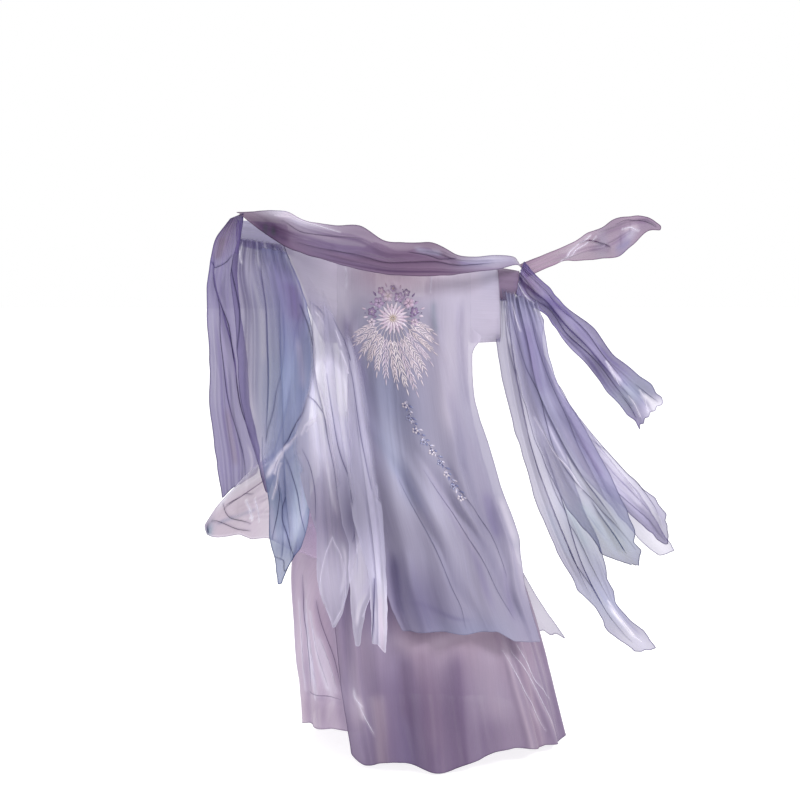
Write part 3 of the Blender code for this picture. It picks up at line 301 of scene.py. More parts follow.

# Colour of each piece: its ground dye, how opaque one layer is, what is seen
# behind it (0 dark to 1 pale), and washes laid over the ground: some are dye,
# the white ones painted highlights, and some painted light that lifts the shade
# other pieces cast.
# wash columns: dye, part of the width, part of the length, reach across,
#               reach down, strength
# thin columns: change of opacity, part of the width, part of the length,
#               reach across, reach down
LOOK = {
    "robe_back": dict(dye="lilac", opacity=0.90, behind=0.30, gain=1.10, wash=[
        # rose_glow at the top is painted light that lifts the shade the shawl casts there
        ("rose_glow", 0.50, 0.04, 0.60, 0.050, 0.95), ("mist", 0.28, 0.36, 0.26, 0.16, 0.80),
        ("violet", 0.05, 0.40, 0.14, 0.14, 0.60), ("lilac_pale", 0.92, 0.17, 0.30, 0.16, 1.00),
        ("lilac_pale", 0.02, 0.10, 0.14, 0.12, 0.90), ("grey", 0.85, 0.72, 0.30, 0.14, 0.50),
        ("slate", 0.22, 0.90, 0.24, 0.12, 0.80), ("slate_plum", 0.02, 0.90, 0.08, 0.16, 0.50),
        ("mist", 0.55, 0.97, 0.30, 0.05, 0.60)],
        thin=[(0.08, 0.50, 0.02, 1.50, 0.10), (0.06, 0.20, 0.95, 0.40, 0.10)]),
    "skirt_back": dict(dye="skirt", opacity=0.985, behind=0.40, gain=0.98, wash=[
        ("skirt_dark", 0.30, 0.90, 0.13, 0.16, 0.85),
        # the rose washes just below the robe's hem are painted light that lifts the shadow the robe casts on the skirt
        ("skirt_rose", 0.62, 0.80, 0.22, 0.30, 0.90), ("rose", 0.46, 0.725, 0.36, 0.08, 0.90),
        ("violet_deep", 0.16, 0.68, 0.06, 0.10, 0.50), ("skirt_dark", 0.03, 0.80, 0.03, 0.30, 0.40),
        ("mist", 0.50, 0.88, 0.05, 0.05, 0.25)], thin=[]),
    "skirt_front": dict(dye="skirt_pink", opacity=0.94, behind=0.55, gain=1.36, wash=[
        ("rose_pale", 0.90, 0.96, 0.20, 0.05, 0.60)], thin=[]),
    "robe_front_left": dict(dye="lilac", opacity=0.84, behind=0.45, gain=1.1, wash=[
        ("mist", 0.40, 0.40, 0.60, 0.20, 0.70), ("white_lilac", 0.05, 0.90, 0.50, 0.20, 0.95)],
        thin=[(0.10, 0.0, 0.9, 0.4, 0.2)]),
    "robe_front_right": dict(dye="lilac", opacity=0.84, behind=[(0.0, 0.45), (0.6, 0.5), (0.8, 1.0), (1.0, 1.0)], gain=1.26, wash=[
        ("mist", 0.40, 0.40, 0.60, 0.20, 0.70), ("white", 0.50, 0.90, 0.90, 0.24, 1.00)],
        thin=[(-0.14, 0.5, 0.95, 0.8, 0.2)]),
    "robe_collar": dict(dye="violet", opacity=0.95, behind=0.5, wash=[], thin=[]),
    "sleeve_upper": dict(dye="lilac_pale", opacity=0.82, behind=0.6, gain=1.05, wash=[
        ("lilac", 0.10, 0.60, 0.14, 0.60, 0.50)], thin=[]),
    "sleeve_cuff_rose": dict(dye="mauve", opacity=0.84, behind=0.6, wash=[
        ("mauve", 0.5, 0.3, 0.3, 0.5, 0.8)], thin=[]),
    "sleeve_cuff": dict(dye="lilac", opacity=0.60, behind=0.7, wash=[
        ("violet", 0.5, 0.5, 0.3, 0.5, 0.8)], thin=[]),
    "sleeve_left_main": dict(dye="violet", opacity=0.80, behind=[(0.0, 0.55), (0.5, 0.6), (0.8, 0.8), (1.0, 0.9)], gain=0.97, wash=[
        ("violet", 0.12, 0.40, 0.20, 0.40, 0.80), ("violet_deep", 0.60, 0.06, 0.50, 0.08, 0.40),
        ("mist", 0.52, 0.50, 0.26, 0.30, 0.70), ("blue", 0.66, 0.60, 0.36, 0.25, 0.90)], thin=[]),
    "sleeve_left_blue": dict(dye="blue", opacity=0.76, behind=[(0.0, 0.5), (0.5, 0.55), (0.7, 0.75), (1.0, 0.95)], gain=1.24, wash=[
        ("violet", 0.60, 0.08, 0.60, 0.12, 0.80), ("violet", 0.0, 0.25, 0.35, 0.30, 0.90), ("violet_deep", 0.8, 0.2, 0.3, 0.08, 0.5),
        ("mist", 0.20, 0.45, 0.40, 0.12, 0.60), ("teal", 0.80, 0.70, 0.22, 0.14, 0.80), ("teal", 0.10, 0.72, 0.18, 0.12, 0.60),
        ("blue_pale", 0.50, 0.92, 0.60, 0.10, 0.45)], thin=[(0.14, 0.5, 0.80, 0.6, 0.14)]),
    "sleeve_left_corner": dict(dye="rose_pale", opacity=0.74, behind=[(0.0, 0.35), (0.4, 0.5), (0.6, 0.9), (1.0, 0.95)], gain=1.02, wash=[
        ("rose", 0.70, 0.80, 0.40, 0.12, 0.50), ("white", 0.10, 0.25, 0.12, 0.45, 0.90),
        ("lilac", 0.70, 0.20, 0.50, 0.25, 0.40), ("slate", 0.55, 1.00, 0.60, 0.07, 0.90), ("teal", 0.75, 0.96, 0.40, 0.05, 0.80)], thin=[(0.24, 0.6, 1.0, 0.8, 0.07), (0.12, 0.08, 0.3, 0.08, 0.4), (-0.42, 0.88, 0.18, 0.28, 0.16), (-0.40, 1.00, 0.22, 0.16, 0.15)]),
    "sleeve_left_petal_1": dict(dye="haze", opacity=0.80, behind=0.42, gain=1.16, wash=[
        ("lilac", 0.50, 0.03, 0.60, 0.08, 0.50), ("white", 0.70, 0.07, 0.30, 0.035, 0.80), ("white", 0.62, 0.26, 0.36, 0.10, 0.95),
        ("white_lilac", 0.30, 0.34, 0.30, 0.08, 0.60), ("leaf", 0.50, 0.84, 0.90, 0.15, 0.95)], thin=[(0.18, 0.62, 0.27, 0.45, 0.12)]),
    "sleeve_left_petal_2": dict(dye="haze", opacity=0.80, behind=0.42, gain=1.18, wash=[
        ("lilac", 0.50, 0.03, 0.60, 0.08, 0.50), ("white", 0.30, 0.24, 0.50, 0.09, 0.95), ("white_lilac", 0.40, 0.36, 0.40, 0.06, 0.50),
        ("leaf", 0.50, 0.76, 0.90, 0.18, 0.95)], thin=[(0.18, 0.5, 0.25, 0.5, 0.12)]),
    "sleeve_left_petal_3": dict(dye="haze", opacity=0.84, behind=0.38, gain=1.22, wash=[
        ("lilac", 0.50, 0.10, 0.60, 0.12, 0.50), ("white", 0.70, 0.86, 0.50, 0.18, 0.95), ("rose_pale", 0.80, 0.92, 0.30, 0.10, 0.30)], thin=[]),
    "sleeve_right_long": dict(dye="grey", opacity=0.74, behind=[(0.0, 0.5), (0.45, 0.6), (0.65, 0.95), (1.0, 1.0)], gain=1.28, wash=[
        ("violet", 0.40, 0.14, 0.60, 0.14, 0.50), ("haze", 0.20, 0.45, 0.40, 0.20, 0.60), ("sea", 0.70, 0.54, 0.40, 0.12, 0.55),
        ("blue_pale", 0.40, 0.74, 0.60, 0.10, 0.70), ("white_lilac", 0.50, 0.97, 0.80, 0.10, 0.55)],
        thin=[(-0.18, 0.5, 0.97, 0.8, 0.13)]),
    "sleeve_right_mid": dict(dye="slate_grey", opacity=0.76, behind=[(0.0, 0.5), (0.45, 0.55), (0.7, 0.8), (1.0, 1.0)], gain=1.12, wash=[
        ("violet", 0.50, 0.12, 0.60, 0.14, 0.60), ("violet", 0.85, 0.35, 0.24, 0.20, 0.60), ("grey", 0.12, 0.40, 0.20, 0.30, 0.70), ("sea", 0.50, 0.72, 0.50, 0.16, 0.80),
        ("haze", 0.40, 0.45, 0.30, 0.14, 0.50)], thin=[(-0.06, 0.5, 0.9, 0.6, 0.15)]),
    "sleeve_right_outer": dict(dye="haze", opacity=0.70, behind=[(0.0, 0.5), (0.4, 0.65), (0.6, 0.95), (1.0, 1.0)], gain=1.22, wash=[
        ("violet", 0.50, 0.14, 0.60, 0.14, 0.60), ("white", 0.55, 0.58, 0.30, 0.14, 0.85), ("grey", 0.50, 0.90, 0.60, 0.10, 0.50)],
        thin=[(-0.12, 0.6, 0.55, 0.3, 0.15)]),
    "sleeve_right_under": dict(dye="white_lilac", opacity=0.62, behind=0.95, wash=[
        ("violet", 0.50, 0.05, 0.60, 0.15, 0.60), ("white", 0.50, 0.95, 0.60, 0.12, 0.80)], thin=[]),
    "shawl_back": dict(dye="plum", opacity=0.93, behind=0.55, gain=1.20, wash=[
        ("violet", 0.40, 0.36, 0.60, 0.16, 0.35), ("plum_dark", 0.25, 0.115, 0.45, 0.060, 1.00), ("plum_dark", 0.26, 0.130, 0.40, 0.050, 0.80), ("white_lilac", 1.00, 0.22, 0.24, 0.12, 0.90),
        ("mauve", 0.95, 0.38, 0.26, 0.12, 0.60), ("mauve", 0.95, 0.56, 0.26, 0.08, 0.50),
        ("lilac", 0.65, 0.86, 0.60, 0.10, 0.90), ("violet", 0.30, 0.94, 0.60, 0.05, 0.40)],
        thin=[(-0.16, 0.98, 0.22, 0.20, 0.12), (-0.12, 0.8, 0.85, 0.4, 0.1)]),
    "shawl_end_left": dict(dye="violet", opacity=0.84, behind=[(0.0, 0.9), (1.0, 0.9)], gain=1.22, wash=[
        ("violet_deep", 0.70, 0.38, 0.40, 0.16, 0.50), ("plum", 0.50, 0.04, 0.80, 0.08, 0.60),
        ("lilac", 0.15, 0.62, 0.20, 0.24, 0.40)], thin=[]),
    "shawl_end_right": dict(dye="violet", opacity=0.86, behind=0.95, gain=1.20, wash=[
        ("mauve", 0.50, 0.06, 0.80, 0.08, 0.60), ("slate", 0.40, 0.56, 0.60, 0.16, 0.60),
        ("sea", 0.50, 0.80, 0.80, 0.10, 0.60), ("white", 0.80, 1.00, 0.40, 0.09, 0.95)],
        thin=[(-0.30, 0.85, 1.0, 0.4, 0.10)]),
    "shawl_end_hand": dict(dye="rose", opacity=0.84, behind=0.95, gain=1.04, wash=[
        ("mauve", 0.60, 0.90, 0.80, 0.14, 0.90), ("violet", 0.20, 0.70, 0.40, 0.08, 0.70), ("grey", 0.50, 0.52, 0.60, 0.06, 0.60),
        ("rose_pale", 0.60, 0.32, 0.60, 0.10, 0.90), ("white_lilac", 0.45, 0.76, 0.22, 0.05, 0.50), ("mauve", 0.85, 0.62, 0.30, 0.10, 0.60)], thin=[(-0.15, 0.8, 0.3, 0.4, 0.15)]),
    "skirt_band": dict(dye="skirt", opacity=0.97, behind=0.5, wash=[], thin=[]),
    "skirt_strap": dict(dye="plum", opacity=0.98, behind=0.5, wash=[], thin=[]),
}

# Main creases.  r is a rounded ridge (a trough where its height is negative)
# and l a lap, where the cloth folds over itself.
# columns: kind, height mm, half width mm, line of (part of length, part of width)
CREASES = {
    "robe_back": [
        ("r", -8, 14, [(0.48, 0.23), (0.62, 0.36), (0.77, 0.46), (0.93, 0.58)]),
        ("r", 6, 15, [(0.46, 0.32), (0.62, 0.45), (0.78, 0.55), (0.95, 0.66)]),
        ("r", -8, 14, [(0.46, 0.43), (0.62, 0.62), (0.77, 0.78), (0.96, 0.90)]),
        ("r", 6, 13, [(0.46, 0.52), (0.63, 0.70), (0.80, 0.86), (0.91, 0.95)]),
        ("r", -6, 12, [(0.49, 0.64), (0.64, 0.74), (0.81, 0.85)]),
        ("r", -6, 10, [(0.49, 0.79), (0.65, 0.81), (0.73, 0.80)]),
        ("r", -8, 12, [(0.19, 0.77), (0.31, 0.80), (0.41, 0.82), (0.57, 0.78)]),
        ("r", 6, 14, [(0.09, 0.67), (0.17, 0.74), (0.28, 0.79), (0.39, 0.79)]),
        ("r", 8, 11, [(0.58, 0.97), (0.68, 0.94), (0.79, 0.95), (0.99, 0.98)]),
        ("r", -8, 10, [(0.60, 0.90), (0.70, 0.87), (0.80, 0.89), (0.98, 0.94)]),
        ("r", -10, 15, [(0.73, 0.07), (0.82, 0.07), (0.92, 0.04), (1.00, 0.03)]),
        ("r", 8, 13, [(0.72, 0.18), (0.81, 0.19), (0.89, 0.21), (1.00, 0.17)]),
        ("r", -2, 12, [(0.10, 0.26), (0.23, 0.22), (0.36, 0.18), (0.46, 0.19)]),
        ("r", 6, 13, [(0.12, 0.15), (0.23, 0.12), (0.36, 0.10), (0.47, 0.12)]),
        ("r", -6, 10, [(0.07, 0.93), (0.18, 0.92), (0.31, 0.94), (0.42, 0.95)]),
        ("r", -5, 9, [(0.04, 0.42), (0.12, 0.50), (0.20, 0.55)]),
    ],
    "skirt_back": [
        ("r", -8, 10, [(0.50, 0.06), (0.73, 0.04), (0.90, 0.03)]),
        ("r", 5, 9, [(0.60, 0.08), (0.84, 0.07), (1.00, 0.08)]),
        ("r", -3, 14, [(0.45, 0.23), (0.84, 0.21), (1.00, 0.21)]),
        ("r", 4, 13, [(0.50, 0.17), (0.87, 0.15), (1.00, 0.14)]),
        ("r", -3.5, 18, [(0.40, 0.42), (0.82, 0.37), (1.00, 0.36)]),
        ("r", 4, 15, [(0.45, 0.34), (0.82, 0.30), (1.00, 0.28)]),
        ("r", 3.5, 16, [(0.50, 0.50), (0.86, 0.46), (1.00, 0.46)]),
        ("r", 6, 9, [(0.60, 0.56), (0.87, 0.60), (1.00, 0.61)]),
        ("r", -6, 9, [(0.55, 0.60), (0.87, 0.64), (1.00, 0.66)]),
        ("r", 6, 10, [(0.62, 0.64), (0.87, 0.70), (1.00, 0.74)]),
        ("r", -6, 10, [(0.58, 0.72), (0.88, 0.77), (1.00, 0.79)]),
        ("r", 5, 12, [(0.55, 0.82), (0.80, 0.85), (1.00, 0.86)]),
        ("r", -6, 11, [(0.40, 0.90), (0.75, 0.92), (1.00, 0.93)]),
    ],
    "skirt_front": [
        ("r", 6, 7, [(0.50, 0.80), (0.79, 0.77), (0.94, 0.75)]),
        ("r", -6, 9, [(0.60, 0.86), (0.84, 0.84), (1.00, 0.83)]),
        ("r", 5, 8, [(0.62, 0.90), (0.80, 0.90), (1.00, 0.89)]),
        ("r", -7, 10, [(0.40, 0.95), (0.75, 0.95), (1.00, 0.96)]),
        ("r", -8, 15, [(0.30, 0.12), (0.70, 0.10), (1.00, 0.09)]),
        ("r", 6, 14, [(0.40, 0.20), (0.75, 0.19), (1.00, 0.18)]),
        ("r", -7, 16, [(0.35, 0.31), (0.70, 0.32), (1.00, 0.33)]),
        ("r", 6, 15, [(0.42, 0.41), (0.80, 0.42), (1.00, 0.42)]),
        ("r", -8, 14, [(0.30, 0.52), (0.72, 0.51), (1.00, 0.50)]),
        ("r", 6, 13, [(0.45, 0.62), (0.80, 0.61), (1.00, 0.60)]),
        ("r", -7, 13, [(0.35, 0.70), (0.75, 0.69), (1.00, 0.68)]),
    ],
    "robe_front": [
        ("r", -6, 9, [(0.12, 0.30), (0.45, 0.34), (0.80, 0.30)]),
        ("r", 5, 9, [(0.20, 0.55), (0.55, 0.56), (1.00, 0.50)]),
        ("r", -5, 10, [(0.30, 0.75), (0.65, 0.72), (1.00, 0.70)]),
        ("r", 4, 8, [(0.45, 0.18), (0.75, 0.14), (1.00, 0.12)]),
    ],
    "shawl_end_left": [
        ("l", 5, 5, [(0.10, 0.15), (0.20, 0.30), (0.30, 0.66), (0.38, 0.84), (0.48, 0.92), (0.62, 0.93)]),
        ("r", -4, 6, [(0.30, 0.44), (0.58, 0.42), (0.75, 0.39), (1.00, 0.36)]),
        ("r", 4, 6, [(0.30, 0.26), (0.61, 0.18), (0.82, 0.18), (1.00, 0.14)]),
        ("r", 4, 6, [(0.50, 0.64), (0.72, 0.66), (1.00, 0.62)]),
    ],
    "sleeve_left_main": [
        ("r", -5, 6, [(0.00, 0.12), (0.25, 0.15), (0.46, 0.09), (0.68, 0.07)]),
        ("r", 5, 7, [(0.00, 0.28), (0.25, 0.26), (0.46, 0.21), (0.68, 0.20)]),
        ("l", 5, 6, [(0.03, 0.49), (0.25, 0.45), (0.42, 0.40), (0.60, 0.41), (0.78, 0.37)]),
        ("r", -5, 7, [(0.00, 0.76), (0.25, 0.67), (0.43, 0.61), (0.60, 0.63), (0.74, 0.62)]),
        ("r", 4, 7, [(0.03, 0.95), (0.24, 0.87), (0.43, 0.82), (0.64, 0.87)]),
        ("l", 4, 5, [(0.50, 0.75), (0.66, 0.72), (0.84, 0.62)]),
    ],
    "sleeve_left_blue": [
        ("l", 5, 6, [(0.10, 0.46), (0.28, 0.38), (0.40, 0.46), (0.54, 0.48), (0.68, 0.44), (0.85, 0.60)]),
        ("r", -4, 6, [(0.30, 0.24), (0.46, 0.27), (0.58, 0.23), (0.74, 0.20)]),
        ("r", 4, 7, [(0.16, 0.63), (0.35, 0.71), (0.48, 0.80), (0.66, 0.78)]),
        ("r", -4, 6, [(0.20, 0.82), (0.39, 0.92), (0.55, 0.92), (0.75, 0.90)]),
        ("l", 4, 5, [(0.60, 0.30), (0.74, 0.34), (0.90, 0.40)]),
    ],
    "sleeve_left_corner": [
        ("l", 4, 5, [(0.02, 0.14), (0.32, 0.19), (0.53, 0.26), (0.72, 0.30), (0.86, 0.30)]),
        ("r", -4, 8, [(0.00, 0.40), (0.30, 0.46), (0.55, 0.50), (0.80, 0.50)]),
        ("r", 4, 9, [(0.00, 0.62), (0.25, 0.68), (0.50, 0.70), (0.74, 0.70)]),
    ],
    "sleeve_left_petal_1": [
        ("l", 4, 4, [(0.04, 0.08), (0.19, 0.18), (0.32, 0.50), (0.41, 0.72), (0.50, 0.92)]),
        ("r", -4, 5, [(0.12, 0.05), (0.32, 0.20), (0.49, 0.27), (0.67, 0.30), (0.85, 0.38)]),
        ("r", 4, 5, [(0.26, 0.38), (0.47, 0.49), (0.64, 0.61), (0.85, 0.70)]),
    ],
    "sleeve_left_petal_2": [
        ("r", -4, 5, [(0.10, 0.57), (0.33, 0.46), (0.46, 0.48), (0.61, 0.43), (0.75, 0.53)]),
        ("r", 4, 5, [(0.24, 0.54), (0.44, 0.66), (0.57, 0.70), (0.73, 0.78)]),
        ("l", 4, 5, [(0.10, 0.29), (0.33, 0.21), (0.46, 0.22), (0.61, 0.16), (0.80, 0.22)]),
    ],
    "sleeve_left_petal_3": [
        ("l", 3, 4, [(0.20, 0.05), (0.39, 0.30), (0.56, 0.44), (0.72, 0.43), (1.00, 0.46)]),
        ("r", 3, 5, [(0.20, 0.48), (0.39, 0.85), (0.56, 0.88), (0.71, 0.88), (0.98, 0.84)]),
    ],
    "sleeve_right_long": [
        ("l", 5, 6, [(0.00, 0.27), (0.11, 0.32), (0.22, 0.29), (0.34, 0.22), (0.45, 0.26), (0.60, 0.26), (0.75, 0.14)]),
        ("r", -5, 7, [(0.00, 0.74), (0.11, 0.67), (0.22, 0.64), (0.34, 0.59), (0.47, 0.61), (0.61, 0.62), (0.74, 0.62)]),
        ("r", 5, 7, [(0.03, 0.09), (0.11, 0.13), (0.22, 0.11), (0.34, 0.07), (0.46, 0.08), (0.61, 0.07), (0.74, 0.07)]),
        ("l", 4, 5, [(0.24, 0.54), (0.34, 0.52), (0.44, 0.56), (0.56, 0.44), (0.68, 0.38), (0.83, 0.30)]),
        ("r", 4, 6, [(0.55, 0.80), (0.68, 0.78), (0.80, 0.70), (0.94, 0.66)]),
    ],
    "sleeve_right_mid": [
        ("l", 5, 6, [(0.00, 0.40), (0.14, 0.43), (0.28, 0.38), (0.38, 0.43), (0.48, 0.51), (0.56, 0.62), (0.70, 0.77)]),
        ("r", -6, 8, [(0.00, 0.69), (0.16, 0.70), (0.28, 0.69), (0.36, 0.73), (0.44, 0.78), (0.56, 0.83), (0.70, 0.93)]),
        ("r", 5, 7, [(0.30, 0.18), (0.42, 0.28), (0.51, 0.38), (0.59, 0.53), (0.74, 0.68)]),
        ("r", -5, 7, [(0.30, 0.12), (0.41, 0.18), (0.51, 0.22), (0.60, 0.28), (0.74, 0.33)]),
        ("r", 4, 7, [(0.02, 0.25), (0.14, 0.26), (0.28, 0.21), (0.37, 0.23), (0.49, 0.24), (0.60, 0.28), (0.78, 0.20)]),
        ("l", 4, 5, [(0.56, 0.45), (0.70, 0.55), (0.88, 0.62)]),
    ],
    "sleeve_right_outer": [
        ("l", 5, 6, [(0.26, 0.78), (0.39, 0.60), (0.48, 0.64), (0.60, 0.62), (0.84, 0.64)]),
        ("r", -4, 6, [(0.22, 0.50), (0.43, 0.26), (0.50, 0.36), (0.61, 0.38), (0.78, 0.38)]),
        ("l", 4, 5, [(0.10, 0.51), (0.30, 0.38), (0.39, 0.41), (0.50, 0.43)]),
        ("r", 3, 5, [(0.56, 0.82), (0.72, 0.84), (0.90, 0.80)]),
    ],
    "sleeve_right_under": [
        ("r", 4, 7, [(0.05, 0.35), (0.40, 0.40), (0.90, 0.45)]),
        ("r", -4, 7, [(0.10, 0.65), (0.50, 0.66), (0.95, 0.70)]),
    ],
    "shawl_back": [
        ("r", -5, 7, [(0.07, 0.31), (0.18, 0.39), (0.28, 0.46), (0.39, 0.40), (0.51, 0.53), (0.64, 0.54)]),
        ("r", 5, 7, [(0.11, 0.67), (0.24, 0.79), (0.34, 0.77), (0.48, 0.66), (0.61, 0.64), (0.73, 0.45)]),
        ("l", 3, 5, [(0.20, 0.24), (0.34, 0.33), (0.48, 0.35), (0.60, 0.42), (0.73, 0.46), (0.90, 0.42)]),
        ("r", -4, 5, [(0.60, 0.74), (0.69, 0.68), (0.79, 0.66), (0.92, 0.51)]),
        ("r", -4, 5, [(0.22, 0.12), (0.42, 0.14), (0.60, 0.16), (0.85, 0.18)]),
    ],
    "shawl_end_right": [
        ("l", 5, 6, [(0.02, 0.28), (0.19, 0.58), (0.37, 0.42), (0.51, 0.48), (0.67, 0.44), (0.86, 0.35)]),
        ("r", -4, 6, [(0.02, 0.10), (0.16, 0.18), (0.34, 0.10), (0.51, 0.21), (0.64, 0.15), (0.86, 0.12)]),
        ("r", 4, 6, [(0.05, 0.62), (0.24, 0.86), (0.37, 0.86), (0.51, 0.83), (0.64, 0.82), (0.84, 0.74)]),
        ("r", -3, 5, [(0.55, 0.62), (0.72, 0.62), (1.00, 0.55)]),
    ],
    "shawl_end_hand": [
        ("r", 4, 5, [(0.08, 0.20), (0.26, 0.27), (0.40, 0.38), (0.54, 0.38), (0.67, 0.46), (0.85, 0.55)]),
        ("l", 4, 5, [(0.32, 0.84), (0.44, 0.70), (0.52, 0.48), (0.60, 0.26)]),
        ("r", -4, 6, [(0.48, 0.85), (0.64, 0.76), (0.79, 0.79), (0.95, 0.70)]),
    ],
}

# Small departures of the cut edges from the smooth outline, in mm outwards.
# left and right columns: part of the length, mm; foot columns: part of the width, mm
EDGES = {
    "skirt_back": dict(left=[(0.0, 0), (0.86, 0), (0.92, -6), (1.0, -12)], right=[(0.0, 0), (0.48, -8), (0.56, -34), (0.66, -42), (0.72, -38), (0.78, -20), (0.84, -12), (0.865, 12), (0.93, 26), (0.97, 20), (1.0, -6)],
                       foot=[(0, -8), (0.04, 4), (0.09, 2), (0.16, 10), (0.24, 4), (0.33, 8), (0.41, 14), (0.47, 8), (0.55, 6), (0.63, 12), (0.70, 6), (0.80, 10), (0.88, 2), (0.95, -4), (1.0, -16)]),
    "skirt_front": dict(left=[], right=[], foot=[(0, 0), (0.76, 0), (0.82, -14), (0.87, -8), (0.92, -15), (0.96, -8), (1.0, -14)]),
    "sleeve_right_outer": dict(right=[(0.0, 4), (0.08, -2), (0.15, -14), (0.28, -14), (0.36, -8), (0.55, -8), (0.60, 0), (0.63, -3), (0.68, 6), (0.72, 1), (0.80, 8), (0.84, -2), (0.92, 5), (1.0, 0)],
                               left=[(0.0, 6), (0.3, 0), (0.85, 0), (0.90, -5), (0.95, 3), (1.0, 0)], foot=[], head=22),
    "sleeve_right_mid": dict(left=[(0.0, 8), (0.2, 0), (0.80, 0), (0.86, 6), (0.92, -3), (1.0, 0)],
                             right=[(0.0, 8), (0.07, 8), (0.12, 0), (0.2, -14), (0.3, -14), (0.37, -4), (0.45, 0), (0.6, 0), (0.70, 4), (0.76, -8), (0.84, 4), (0.9, -4), (1.0, -6)],
                             foot=[(0, 0), (0.2, -12), (0.35, 8), (0.5, -10), (0.7, 6), (0.85, -10), (1.0, 3)], head=34),
    "sleeve_right_long": dict(left=[(0.0, 14), (0.06, 13), (0.15, 13), (0.25, 11), (0.38, 7), (0.55, 7), (0.66, 3), (0.70, 8), (0.76, -4), (0.86, 5), (0.93, -3), (1.0, 0)],
                              right=[(0.55, 0), (0.62, -6), (0.66, -18), (0.70, -12), (0.74, -22), (0.80, -10), (0.88, -4), (0.93, -12), (1.0, 0)],
                              foot=[(0, 0), (0.3, 7), (0.5, -6), (0.7, 4), (1.0, -4)], head=24),
    "sleeve_right_under": dict(left=[(0.0, 6), (0.3, 0)], right=[(0.0, 4), (0.3, 0)], foot=[], head=16),
    "shawl_end_right": dict(left=[(0.0, 40), (0.06, 34), (0.12, 18), (0.2, 6), (0.8, 0), (0.88, 4), (0.94, -4), (1.0, 3)],
                            right=[(0.0, 22), (0.08, 16), (0.2, 13), (0.35, 10), (0.62, 10), (0.75, 3), (0.82, 6), (0.88, -3), (0.95, 6), (1.0, 0)],
                            foot=[(0, 24), (0.10, 4), (0.2, 14), (0.32, -4), (0.42, 6), (0.55, -8), (0.68, 8), (0.80, -6), (0.9, 6), (1.0, -2)], head=14),
    "robe_front_right": dict(left=[(0.0, 0), (0.80, 0), (0.9, 10), (1.0, 14)], right=[], foot=[(0, 10), (0.05, -6), (0.10, 8), (0.15, -6), (0.22, 8), (0.3, -4), (0.5, 2), (1.0, 0)]),
    "shawl_back": dict(left=[], right=[], foot=[(0, 10), (1.0, 10)], head=14),
    "shawl_end_left": dict(left=[], right=[(0.0, 18), (0.07, 24), (0.18, 28), (0.34, 34), (0.50, 30), (0.68, 24), (0.84, 18), (1.0, 20)],
                           foot=[(0, 6), (0.3, 0), (0.6, 8), (1.0, 24)]),
    "shawl_end_hand": dict(left=[(0.0, 12), (0.15, 10), (0.3, 3), (0.5, 0)], right=[(0.0, 10), (0.15, 9), (0.3, 3), (0.5, 0)], foot=[], head=6),
    "sleeve_left_main": dict(left=[(0.0, -2), (0.04, 4), (0.3, 8), (0.6, 6), (0.8, 0)], right=[(0.0, 2), (0.1, 2), (0.2, 8), (0.5, 14), (0.7, 4), (0.85, 0)], foot=[], head=22),
    "sleeve_left_blue": dict(left=[(0.0, 0), (0.2, 10), (0.4, 8), (0.6, 0), (0.7, 0), (0.80, 5), (0.88, -3), (1.0, 0)],
                             right=[(0.0, -34), (0.05, -20), (0.1, -6), (0.15, 4), (0.2, 12), (0.28, 24), (0.36, 24), (0.46, 8), (0.7, 0), (0.80, -4), (0.90, 5), (1.0, 0)], foot=[], head=20),
    "sleeve_left_petal_1": dict(left=[(0.0, 30), (0.04, 28), (0.085, 12), (0.14, 4), (0.2, 2), (0.26, 8), (0.32, 26), (0.38, 50), (0.44, 58), (0.5, 44), (0.6, 24), (0.68, 4), (0.76, 6), (0.83, 9), (0.9, 5), (0.96, -2), (1.0, 0)],
                                right=[(0.0, 12), (0.2, 22), (0.45, 30), (0.68, 26), (0.74, 12), (0.80, 9), (0.85, 11), (0.9, 6), (0.94, 8), (1.0, 0)], foot=[], head=26),
    "sleeve_left_petal_2": dict(left=[(0.0, 14), (0.2, 24), (0.42, 28), (0.62, 22), (0.68, 8), (0.76, 12), (0.82, 8), (0.9, 5), (1.0, 0)],
                                right=[(0.0, 2), (0.06, 6), (0.12, 8), (0.2, 12), (0.42, 20), (0.52, 14), (0.57, 4), (0.64, 9), (0.72, 14), (0.80, 12), (0.87, 8), (0.92, 12), (1.0, 4)], foot=[], head=26),
    "sleeve_left_petal_3": dict(left=[(0.0, 16), (0.2, 30), (0.45, 34), (0.60, 18), (0.70, 2), (0.8, 0)], right=[(0.0, 10), (0.3, 12), (0.6, 4), (0.8, 0)], foot=[(0, 4), (0.4, -4), (0.7, 5), (1.0, 10)], head=22),
    "sleeve_left_corner": dict(left=[(0.5, 0), (0.62, 5), (0.75, -3), (0.9, 4), (1.0, 0)],
                               right=[(0.2, 0), (0.35, 6), (0.5, -5), (0.62, 7), (0.72, -4), (0.85, 6), (1.0, 0)], foot=[]),
    "robe_back": dict(left=[], right=[(0.0, 0), (0.165, 0), (0.19, 30), (0.205, 26), (0.22, 13), (0.24, 5), (0.30, 4), (0.40, 6), (0.55, 10), (0.66, 14), (0.73, 12), (0.77, 6), (0.82, 8), (0.88, 10), (0.94, 8), (1.0, 8)], foot=[(0, -30), (0.12, -33), (0.30, -37), (0.45, -31), (0.60, -35), (0.70, -37), (0.80, -1), (0.9, 5), (1.0, 6)]),
}
